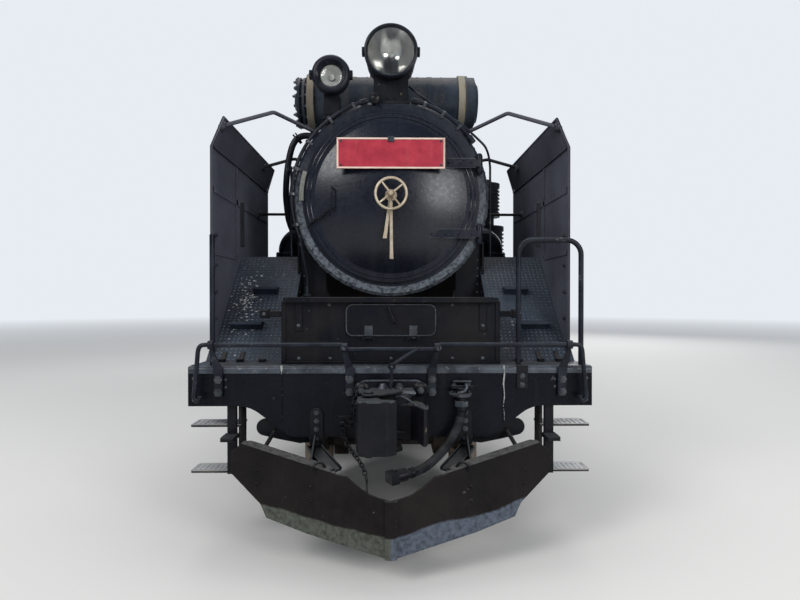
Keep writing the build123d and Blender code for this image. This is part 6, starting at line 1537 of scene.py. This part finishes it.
def makeDomeDetails(s):
    # flat bars over the sheet joints, lids turned round upright lines
    shapes, screws = [], []
    for station in s["joints"]:
        for side in (-1, 1):
            shapes.append(bar(at(side * (s["half"] + 0.003), [station] * 2, [2.98, 3.53]), 0.04, 0.006,
                (side, 0, 0), 0.001))
            z = np.arange(3.02, 3.52, 0.07)
            for step in (-0.012, 0.012):
                screws.append(stamped("screw", at(side * (s["half"] + 0.006), station + step, z),
                    (side, 0, 0), 0.005))
    foot = []
    for side in (-1, 1):
        foot.append(bar(at(side * (s["half"] + 0.006), [s["front"] + 0.1, s["rear"] - 0.1], 2.985), 0.045, 0.01,
            (side, 0, 0.2)))
        screws.append(stamped("rivet", at(side * (s["half"] + 0.012),
                np.arange(s["front"] + 0.14, s["rear"] - 0.1, 0.12), 2.985), (side, 0, 0), 0.008))
    lids = []
    for station in s["lids"]:
        lids += [turned([(0, 0), (0, 0.155), (0.012, 0.165), (0.03, 0.16), (0.044, 0.12), (0.05, 0)],
                at(0, station, s["top"] - 0.004), toTop, 40),
            bar(at([-0.1, 0.1], [station] * 2, s["top"] + 0.05), 0.028, 0.016, toTop),
            ringShape(-0.045, 0.045, 0.01, 0.022, at(0, station + 0.17, s["top"] + 0.01), toLeft, 14)]
    addPiece("domeLids", lids, castBlack)
    addPiece("domeSeams", shapes + foot, boilerBlack)
    addPiece("domeScrews", screws, boltPaintAndGlint)
    # bolts round the chimney's base: a circle seen from above, laid on the smokebox's round
    turn = sweepBy(0, 360, 18.0)
    drop = s["chimneyBolts"]
    ring = ringAt(0, s["chimney"], boilerZ + np.sqrt(smokeboxRadius ** 2 - (drop * np.cos(turn)) ** 2), drop,
        turn, "plan")
    normal = np.stack([drop * np.cos(turn) / smokeboxRadius, 0 * turn,
            np.sqrt(1 - (drop * np.cos(turn) / smokeboxRadius) ** 2)], -1)
    addPiece("chimneyBolts", [stamped("hex", ring + 0.004 * normal, normal, 0.013)], boltPaintAndGlint)


makeDomeDetails(domeSettings)
print("boiler dressed")


# Cylinders and valve chests: cover studs, drain cocks, clothing screws, relief valve
cylinderSettings = {"x": 0.94, "z": 0.788, "front": 1.615, "rear": 2.685, "bolt": 0.298, "chestX": 0.98,
    "chestZ": 1.29, "chestFront": 1.68, "chestRear": 2.62, "chestBolt": 0.166, "clothing": 0.3165,
    "cocks": (1.76, 2.15, 2.54), "bands": (1.665, 2.635)}


def makeCylinderDetails(s):
    # studs stand on circles at even angles, cocks and rings are turned
    studs, brass, trim = [], [], []
    turn = sweepBy(0, 360, 22.5)
    for station, facing in ((s["front"], -1), (s["rear"], 1)):
        places = ringAt(s["x"], station, s["z"], s["bolt"], turn)
        studs.append(stamped("nut", places, (0, facing, 0), 0.017))
    turn = sweepBy(15, 375, 30.0)
    for station, facing in ((s["chestFront"], -1), (s["chestRear"], 1)):
        places = ringAt(s["chestX"], station, s["chestZ"], s["chestBolt"], turn)
        studs.append(stamped("nut", places, (0, facing, 0), 0.014))
    for station in s["cocks"]:
        brass.append(solid([(0, 0.022), (0.045, 0.02), (0.055, 0.028), (0.075, 0.028), (0.08, 0.012),
                (0.12, 0.012)], at(s["x"], station, s["z"] - 0.305), toGround, 14))
    trim.append(tube(smoothPath(at([s["x"] - 0.02] * 4, [1.64, 1.9, 2.4, 2.66], s["z"] - 0.405), 4), 0.009, 8))
    for station in s["bands"]:
        trim.append(ringShape(-0.012, 0.012, s["clothing"], 0.321, at(s["x"], station, s["z"]), toRear, 48))
    turn = sweepBy(-70, 71, 14)
    studs.append(stamped("screw", ringAt(s["x"], 1.8, s["z"], s["clothing"] - 0.001, turn),
        outward(turn), 0.006))
    relief = [solid([(-0.01, 0.034), (0.02, 0.034), (0.025, 0.022), (0.075, 0.022), (0.08, 0.03), (0.1, 0.03),
            (0.108, 0.012)], at(s["x"], 1.612, s["z"] - 0.245), toFront, 16)]
    addPiece("cylinderStuds", bothSides(studs), boltPaintAndGlint)
    addPiece("drainCocks", bothSides(brass + relief), agedBrass)
    addPiece("cylinderTrim", bothSides(trim), railBlack)


makeCylinderDetails(cylinderSettings)


# Air compressor and feed pump: cooling ribs, flange bolts; reservoir seams and taps
pumpSettings = {
    # x, station, foot, then each rib's radius, first height, last height and number
    "pumps": [(0.96, 2.56, 1.88, [(0.205, 0.05, 0.36, 9), (0.163, 0.54, 0.8, 8)]),
              (-0.97, 5.3, 1.88, [(0.16, 0.06, 0.27, 7), (0.14, 0.48, 0.69, 7)])],
    "tankX": 1.01, "tankZ": 1.6,
}


def makePumpDetails(s):
    # ribs are thin rings at even heights, bolts stand on circles
    ribs, bolts = [], []
    for x, station, foot, stacks in s["pumps"]:
        for radius, low, high, count in stacks:
            for height in np.linspace(low, high, count):
                ribs.append(turned([(-0.006, radius - 0.03), (-0.005, radius), (0.005, radius),
                        (0.006, radius - 0.03)], at(x, station, foot + height), toTop, 32, True))
            turn = sweepBy(0, 360, 45.0)
            bolts.append(stamped("nut", ringAt(x, station, foot + high + 0.008, radius - 0.018, turn, "plan"),
                toTop, 0.014))
    addPiece("pumpRibs", ribs, castBlack)
    seams = []
    for station in (6.02, 6.86, 7.7):
        seams.append(turned([(-0.004, 0.188), (-0.002, 0.1935), (0.002, 0.1935), (0.004, 0.188)],
            at(s["tankX"], station, s["tankZ"]), toRear, 40, True))
    taps = []
    for station in (6.25, 7.45):
        taps.append(solid([(0, 0.016), (0.03, 0.016), (0.036, 0.024), (0.056, 0.024), (0.062, 0.01),
                (0.09, 0.01)], at(s["tankX"], station, 1.412), toGround, 14))
    for station in (5.8, 7.9):
        facing = -1 if station < 6.5 else 1
        turn = sweepBy(0, 360, 60.0)
        bolts.append(stamped("hex", ringAt(s["tankX"], station + facing * 0.002, s["tankZ"], 0.05, turn),
            (0, facing, 0), 0.01))
    addPiece("reservoirSeams", bothSides(seams), boilerBlack)
    addPiece("reservoirTaps", bothSides(taps), agedBrass)
    addPiece("pumpBolts", bolts, boltPaintAndGlint)


makePumpDetails(pumpSettings)


# Running boards: edge strips and their rivets
boardSettings = {"x": 1.215, "rivets": (2.25, 8.25, 0.14), "rivetZ": 1.862, "edge": (2.2, 8.28), "edgeZ": 1.845}


def makeBoardDetails(s):
    # a flat bar along the edge and a row of rivets
    heads = [stamped("rivet", at(s["x"], np.arange(*s["rivets"]), s["rivetZ"]), toLeft, 0.008)]
    edge = [bar(at(s["x"] + 0.004, s["edge"], s["edgeZ"]), 0.012, 0.06, toTop, 0.003)]
    addPiece("boardEdges", bothSides(edge), slopeBlack)
    addPiece("boardRivets", bothSides(heads), boltPaintAndGlint)


makeBoardDetails(boardSettings)


# Wheels: rims' and hubs' rings and bolts; they turn with their axles
wheelSettings = {
    "drivers": [("front_driving_axle", 3.65), ("main_driving_axle", 5.4), ("rear_driving_axle", 7.15)],
    "small": [("leading_axle", 1.15, 0.458), ("trailing_axle", 9.3, 0.458)],
    "rimX": 0.625, "hubX": 0.655,
}


def makeWheelDetails(s):
    # rings are turned round the axle's line, bolts stand on circles
    turn = sweepBy(0, 360, 30.0)
    for body, station in s["drivers"]:
        shapes = []
        for x, radius, size in ((s["hubX"], 0.13, 0.012), (s["rimX"], 0.715, 0.008)):
            shapes.append(stamped("hex", ringAt(x, station, wheelZ, radius, turn, "side"), toLeft, size))
        shapes += [turned([(-0.004, 0.69), (0.003, 0.694), (0.003, 0.702), (-0.004, 0.706)],
                at(s["rimX"], station, wheelZ), toLeft, 72, True),
            turned([(-0.004, 0.052), (0.006, 0.056), (0.008, 0.07), (0.006, 0.084), (-0.004, 0.088)],
                at(s["hubX"], station, wheelZ), toLeft, 32, True)]
        addPiece(body + "Bolts", bothSides(shapes), boltPaintAndGlint, body)
    for body, station, z in s["small"]:
        shapes = [turned([(-0.004, 0.362), (0.003, 0.366), (0.003, 0.374), (-0.004, 0.378)],
                at(s["rimX"], station, z), toLeft, 60, True),
            stamped("hex", ringAt(0.635, station, z, 0.092, turn[::2], "side"), toLeft, 0.01)]
        addPiece(body + "Bolts", bothSides(shapes), boltPaintAndGlint, body)


makeWheelDetails(wheelSettings)
print("machinery dressed")


# Cab: rivet rows, beadings, window rails, gutters and drip strips
cabSettings = {"front": 8.3, "rear": 10.48, "half": 1.39,
    "windows": [(8.52, 9.02, 2.38, 2.98), (9.1, 9.6, 2.38, 2.98)], "doorway": (9.72, 10.36),
    "rivetPitch": 0.088}


def makeCabDetails(s):
    # rivets stand in straight rows, beads are bars round rounded rectangles
    heads, trim = [], []
    x = s["half"]
    for z in (1.425, 2.24, 3.195):
        run = np.arange(s["front"] + 0.06, s["doorway"][0] - 0.02, s["rivetPitch"])
        heads.append(stamped("rivet", at(x, run, z), toLeft, 0.0075))
    for station in (s["front"] + 0.035, s["doorway"][0] - 0.04):
        heads.append(stamped("rivet", at(x, station, np.arange(1.5, 3.15, s["rivetPitch"])), toLeft, 0.0075))
    for s0, s1, z0, z1 in s["windows"]:
        mid, half = ((s0 + s1) / 2, (z0 + z1) / 2), (s1 - s0, z1 - z0)
        outline = roundRect(half[0] + 0.05, half[1] + 0.05, 0.04, *mid, 5)
        trim.append(bar(at(x + 0.004, np.append(outline[:, 0], outline[:2, 0]),
                np.append(outline[:, 1], outline[:2, 1])), 0.036, 0.01, toLeft))
    for z in (2.335, 3.025):
        trim.append(bar(at(x + 0.01, [8.46, 9.66], z), 0.026, 0.018, toLeft))
    gutter = [bar(at(x + 0.018, [s["front"] - 0.02, s["rear"] + 0.02], 3.232), 0.034, 0.03, toLeft)]
    lower = [bar(at(x + 0.006, [s["front"] + 0.01, s["doorway"][0] - 0.01], 2.2), 0.05, 0.01, toLeft)]
    addPiece("cabTrim", bothSides(trim + gutter + lower), cabBlack)
    addPiece("cabRivets", bothSides(heads), cabBlack)
    rear = [stamped("rivet", at(side * px, s["rear"], np.arange(1.45, 3.18, 0.1)), toRear, 0.008)
        for side in (-1, 1) for px in (0.37, 0.66, 1.33)]
    front = [stamped("rivet", at(side * 1.33, s["front"], np.arange(1.95, 3.18, 0.1)), toFront, 0.008)
        for side in (-1, 1)]
    addPiece("cabEndRivets", rear + front, cabBlack)


makeCabDetails(cabSettings)
print("cab dressed")


# Inside the cab: seats, gauges, fire door, regulator, reversing wheel, pipes and floor plates
insideSettings = {"seatX": 1.05, "seatStation": 9.35, "seatTop": 2.03, "backhead": 8.9,
    "gauges": (-0.42, -0.25, 0.25), "gaugeZ": 2.48, "fireDoorZ": 1.85, "standX": 1.09, "standStation": 8.815,
    "standZ": 2.15, "wheelRadius": 0.165, "manifoldZ": 2.86}


def makeCabInside(s):
    seats, steel, brass, faces = [], [], [], []
    # cushion: a square pad whose top swells by the product of two flat-topped arches
    side = 25
    run = np.linspace(-1, 1, side)
    u, v = np.meshgrid(run, run, indexing="ij")
    arch = (1 - np.abs(u) ** 6) * (1 - np.abs(v) ** 6)
    top = at(s["seatX"] + 0.205 * u, s["seatStation"] + 0.205 * v,
        s["seatTop"] + 0.012 + 0.05 * arch - 0.006 * np.cos(6 * u) * np.cos(6 * v))
    base = at(s["seatX"] + 0.2 * u, s["seatStation"] + 0.2 * v, s["seatTop"] - 0.002 + 0 * u)
    over, count = gridFaces(side, side), side * side
    under = [[index + count for index in face[::-1]] for face in over]
    # the border's points in order, each joined to the one below it
    rim = np.concatenate([np.arange(side), np.arange(1, side) * side + side - 1, count - 1 - np.arange(1, side),
        (side - 2 - np.arange(side - 1)) * side])[:-1]
    border = [[int(a), int(b), int(b) + count, int(a) + count] for a, b in zip(rim, np.roll(rim, -1))]
    seats.append((np.concatenate([top.reshape(-1, 3), base.reshape(-1, 3)]), over + under + border))
    back = roundRect(0.4, 0.34, 0.06, s["seatStation"], s["seatTop"] + 0.26, 6)
    seats.append(plate(back, "side", s["seatX"] + 0.232, s["seatX"] + 0.285, 0.016))
    addPiece("seatCushions", bothSides(seats), seatLeather)
    rear = s["backhead"]
    for x in s["gauges"]:
        centre = at(x, rear + 0.045, s["gaugeZ"])
        brass.append(turned([(-0.02, 0.066), (-0.02, 0.076), (0.006, 0.078), (0.012, 0.072), (0.012, 0.062),
                (0.004, 0.06)], centre, toRear, 36, True))
        faces.append(solid([(0.001, 0.062), (-0.004, 0.062)], centre, toRear, 36))
        turn = sweepBy(-40, 221, 20.0)
        steel.append(stamped("tread", centre + 0.05 * outward(turn) + [0, 0.001, 0], toRear, 0.0045, (1.0, 0.3),
            (1, 0, 0.2)))
        lean = np.radians(130)
        steel.append(tube(np.stack([centre + [0, 0.006, 0],
                centre + 0.046 * np.array([np.cos(lean), 0.13, np.sin(lean)])]), 0.0022, 6))
        pipe = at([x, x, x * 0.9], [rear + 0.02, rear + 0.05, rear + 0.03], [2.4, 2.3, 2.16])
        brass.append(tube(smoothPath(pipe, 6), 0.007, 8))
    # fire door: two leaves, rails, handle and latch
    z = s["fireDoorZ"]
    for side in (-1, 1):
        half = roundRect(0.146, 0.236, 0.03, side * 0.077, z, 5)
        steel += [plate(half, "cross", rear + 0.05, rear + 0.064, 0.004),
            stamped("rivet", at(side * np.array([0.03, 0.12, 0.03, 0.12]), rear + 0.064,
                z + np.array([-0.09, -0.09, 0.09, 0.09])), toRear, 0.008),
            tube(smoothPath(at(side * 0.03, rear + np.array([0.062, 0.1, 0.1, 0.062]),
                z + np.array([-0.05, -0.04, 0.04, 0.05])), 6), 0.008, 8)]
    for dz in (-0.13, 0.13):
        steel.append(bar(at([-0.22, 0.22], rear + 0.04, z + dz), 0.02, 0.024, toTop))
    turn = sweepBy(0, 360, 24.0)
    steel.append(stamped("rivet", ringAt(0, rear + 0.03, z, 0.172, turn), toRear, 0.01))
    # backhead: stay ends in rows, left out round the fire door and the gauges
    gx, gz = [grid.ravel() for grid in np.meshgrid(np.arange(-0.6, 0.61, 0.11), np.arange(1.62, 2.95, 0.11))]
    keep = (gx ** 2 + (gz - boilerZ) ** 2 < 0.72 ** 2) | ((gz < boilerZ) & (np.abs(gx) < 0.68))
    keep &= gx ** 2 + (gz - z) ** 2 > 0.26 ** 2
    keep &= (np.abs(gz - s["gaugeZ"]) > 0.12) & (np.abs(gz - 2.72) > 0.06)
    steel.append(stamped("rivet", at(gx[keep], rear, gz[keep]), toRear, 0.012))
    # water gauges' unions, regulator's grip, try cocks
    for x in (-0.12, 0.12):
        for height in (2.14, 2.43):
            brass += [solid([(-0.05, 0.018), (-0.02, 0.026), (0.02, 0.026), (0.05, 0.018)],
                    at(x, rear + 0.055, height), toTop, 14),
                ringShape(0, 0.01, 0.006, 0.03, at(x, rear + 0.1, height), toRear, 18),
                tube(at([x, x], [rear + 0.06, rear + 0.11], height), 0.006, 8)]
    brass += [tube(at([0.34, 0.44], rear + 0.1, 2.72), [0.014, 0.018], 12),
        solid([(0, 0.06), (0.014, 0.064), (0.02, 0.04), (0.05, 0.036)], at(0, rear + 0.028, 2.72), toRear, 24)]
    for height in (1.98, 2.05, 2.12):
        brass.append(solid([(0, 0.012), (0.04, 0.012), (0.05, 0.02), (0.07, 0.02)], at(-0.3, rear, height),
            toRear, 12))
    # reversing wheel on its stand
    turn = wholeTurn(48)
    rimPath = ringAt(s["standX"], s["standStation"], s["standZ"], s["wheelRadius"], turn)
    steel.append(tube(rimPath, 0.012, 10, True))
    for degrees in (90, 210, 330):
        lean = np.radians(degrees)
        spoke = ringAt(s["standX"], s["standStation"], s["standZ"], np.array([0.02, 0.16]), lean)
        steel.append(tube(spoke, 0.01, 8))
    steel += [solid([(0, 0.036), (0.02, 0.036), (0.03, 0.02)], at(s["standX"], 8.8, s["standZ"]), toRear, 20),
        tube(at([s["standX"] + 0.13] * 2, [s["standStation"], 8.905], s["standZ"] + 0.1), 0.013, 10)]
    # manifold over the backhead with its valves and down pipes
    brass.append(tube(at([-0.5, 0.62], rear + 0.1, s["manifoldZ"]), 0.034, 16))
    for x in (-0.42, -0.22, 0.02, 0.22, 0.42, 0.56):
        brass.append(tube(smoothPath(at([x, x, x * 1.05, x * 1.12],
                [rear + 0.1, rear + 0.12, rear + 0.08, rear + 0.06], [2.86, 2.8, 2.62, 2.52]), 6), 0.009, 8))
        steel += [ringShape(0, 0.012, 0.008, 0.034, at(x, rear + 0.175, s["manifoldZ"]), toRear, 20),
            tube(at([x, x], [rear + 0.12, rear + 0.185], s["manifoldZ"]), 0.007, 8)]
    addPiece("cabIronwork", steel, railBlack)
    addPiece("cabBrasswork", brass, agedBrass)
    addPiece("gaugeFaces", faces, paleEnamel)
    addPiece("cabFloorTreads", treadField((-1.26, 1.28), (9.02, 10.4), 1.5, 0.085, 0.024, 0.3), floorSteel)


makeCabInside(insideSettings)


# Cab roof: sheet ribs with their screws, ventilator hatch rails; door handles and window frames
roofSettings = {"ribs": (8.62, 9.78, 10.18), "half": 1.39, "eaves": 3.25, "top": 3.74}


def makeRoofDetails(s):
    # the roof's arc passes through both eaves and the crown
    rise, half = s["top"] - s["eaves"], s["half"] + 0.03
    radius = (half ** 2 + rise ** 2) / (2 * rise)
    reach = math.asin(half / radius)
    lean = np.linspace(-reach * 0.985, reach * 0.985, 40)
    centreZ = s["top"] - radius
    ribs, heads, rails = [], [], []
    for station in s["ribs"]:
        path = at((radius + 0.004) * np.sin(lean), station, centreZ + (radius + 0.004) * np.cos(lean))
        ribs.append(bar(path, 0.045, 0.01, toTop, 0.002))
        normal = np.stack([np.sin(lean[1:-1]), 0 * lean[1:-1], np.cos(lean[1:-1])], -1)
        for step in (-0.014, 0.014):
            heads.append(stamped("screw", path[1:-1] + [0, step, 0] + 0.004 * normal, normal, 0.0065))
    for side in (-1, 1):
        rails.append(bar(at(side * 0.365, [8.96, 9.64], s["top"] + 0.012), 0.03, 0.045, toTop))
        heads.append(stamped("rivet", at(side * 0.352, np.arange(9.0, 9.62, 0.1), s["top"] + 0.03),
            (side, 0, 0), 0.008))
    rails.append(bar(at([-0.3, 0.3], 9.3, s["top"] + 0.096), 0.04, 0.018, toTop))
    addPiece("roofRibs", ribs + rails, cabBlack)
    addPiece("roofRivets", heads, boltPaintAndGlint)
    handleStation = 10.3
    for side, body in ((1, "cab_door_left"), (-1, "cab_door_right")):
        x = side * 1.387
        handle = smoothPath(at(x + side * np.array([-0.004, 0.03, 0.04, 0.04, 0.03, -0.004]), handleStation,
                [2.3, 2.3, 2.285, 2.165, 2.15, 2.15]), 5)
        pieces = [tube(handle, 0.008, 10),
            solid([(0, 0.022), (0.006, 0.022), (0.01, 0.014)], at(x, handleStation, 2.08), (side, 0, 0), 18),
            bar(at([x + side * 0.004] * 2, [9.87, 10.24], 2.345), 0.02, 0.012, (side, 0, 0))]
        frame = roundRect(0.43, 0.66, 0.03, 10.045, 2.68, 5)
        pieces.append(bar(at(x + side * 0.002, np.append(frame[:, 0], frame[:2, 0]),
                np.append(frame[:, 1], frame[:2, 1])), 0.026, 0.008, (side, 0, 0)))
        addPiece(body + "Fittings", pieces, railBlack, body)


makeRoofDetails(roofSettings)


# Step treads: raised pattern on each plate, round front and outer edges
stepSettings = {
    # outer x, front and rear stations, heights, plate's inner x
    "plates": [(1.225, 0.06, 0.2, (0.498, 0.78), 0.95), (1.36, 9.82, 10.26, (0.482, 0.8, 1.11), 1.19)],
    "pitch": 0.03,
}


def makeStepDetails(s):
    # strokes on a square grid, tubes along the plate's edges
    shapes = []
    for outer, front, rear, heights, inner in s["plates"]:
        for z in heights:
            shapes += treadField((inner + 0.02, outer - 0.01), (front + 0.018, rear - 0.01), z, s["pitch"],
                0.0085, 0.34)
            shapes += [tube(at([inner, outer], [front] * 2, z - 0.006), 0.008, 8),
                tube(at([outer] * 2, [front, rear], z - 0.006), 0.008, 8)]
    addPiece("stepTreads", bothSides(shapes), stepPaint)


makeStepDetails(stepSettings)
print("cab and steps dressed")


# Floor, world and soft studio lamps
stageSettings = {
    "floorSize": 120.0, "floorColour": (0.62, 0.61, 0.59), "skyColour": (0.8, 0.84, 0.89), "skyLight": 0.62,
    "gleamColour": (0.14, 0.18, 0.28), "fade": (11.0, 38.0),
    # name, place, target, size, watts
    "lamps": [
        ("keyLamp", (-9.0, -15.0, 11.0), (0, -4, 2), 6.0, 1400),
        ("fillLamp", (6.8, -14.5, 5.2), (0, -3, 2), 4.5, 750),
        ("topLamp", (0.0, 0.0, 14.0), (0, 0, 0), 12.0, 900),
        ("rearLamp", (8.0, 13.0, 8.0), (0, 3, 2), 7.0, 700),
    ],
}


def makeStage(s):
    size = s["floorSize"] / 2
    mesh = bpy.data.meshes.new("floor")
    mesh.from_pydata([(-size, -size, 0), (size, -size, 0), (size, size, 0), (-size, size, 0)], [],
        [(0, 1, 2, 3)])
    floor = addObject("floor", mesh)
    material, tree, shader, coords = newMaterial("floorPale")
    shader.inputs["Base Color"].default_value = (*s["floorColour"], 1)
    shader.inputs["Roughness"].default_value = 0.9
    # the floor fades into the background's colour with its distance from the middle
    away = addNode(tree, "VectorMath", {0: coords}, operation="LENGTH").outputs["Value"]
    far = addNode(tree, "Emission", {"Color": (*s["skyColour"], 1)})
    blend = addNode(tree, "MixShader",
        {0: between(tree, away, *s["fade"]), 1: shader.outputs[0], 2: far.outputs[0]})
    tree.links.new(blend.outputs[0], tree.nodes["Material Output"].inputs[0])
    mesh.materials.append(material)
    world = bpy.data.worlds.new("studioWorld")
    bpy.context.scene.world = world
    world.use_nodes = True
    tree = world.node_tree
    tree.nodes.clear()
    output = tree.nodes.new("ShaderNodeOutputWorld")
    seen = addNode(tree, "Background", {"Color": (*s["skyColour"], 1)})
    lit = addNode(tree, "Background", {"Color": (*s["skyColour"], 1), "Strength": s["skyLight"]})
    gleam = addNode(tree, "Background", {"Color": (*s["gleamColour"], 1)})
    path = addNode(tree, "LightPath")
    shown = reckon(tree, "MAXIMUM", path.outputs["Is Camera Ray"], path.outputs["Is Transmission Ray"])
    inner = addNode(tree, "MixShader",
        {0: path.outputs["Is Glossy Ray"], 1: lit.outputs[0], 2: gleam.outputs[0]})
    mix = addNode(tree, "MixShader", {0: shown, 1: inner.outputs[0], 2: seen.outputs[0]})
    tree.links.new(mix.outputs[0], output.inputs[0])
    for name, place, target, width, watts in s["lamps"]:
        data = bpy.data.lights.new(name, "AREA")
        data.size = width
        data.energy = watts
        lamp = addObject(name, data)
        lamp.location = place
        lamp.rotation_euler = (Vector(target) - Vector(place)).to_track_quat("-Z", "Y").to_euler()


makeStage(stageSettings)
bpy.context.scene.view_settings.view_transform = "Standard"
print("stage set")
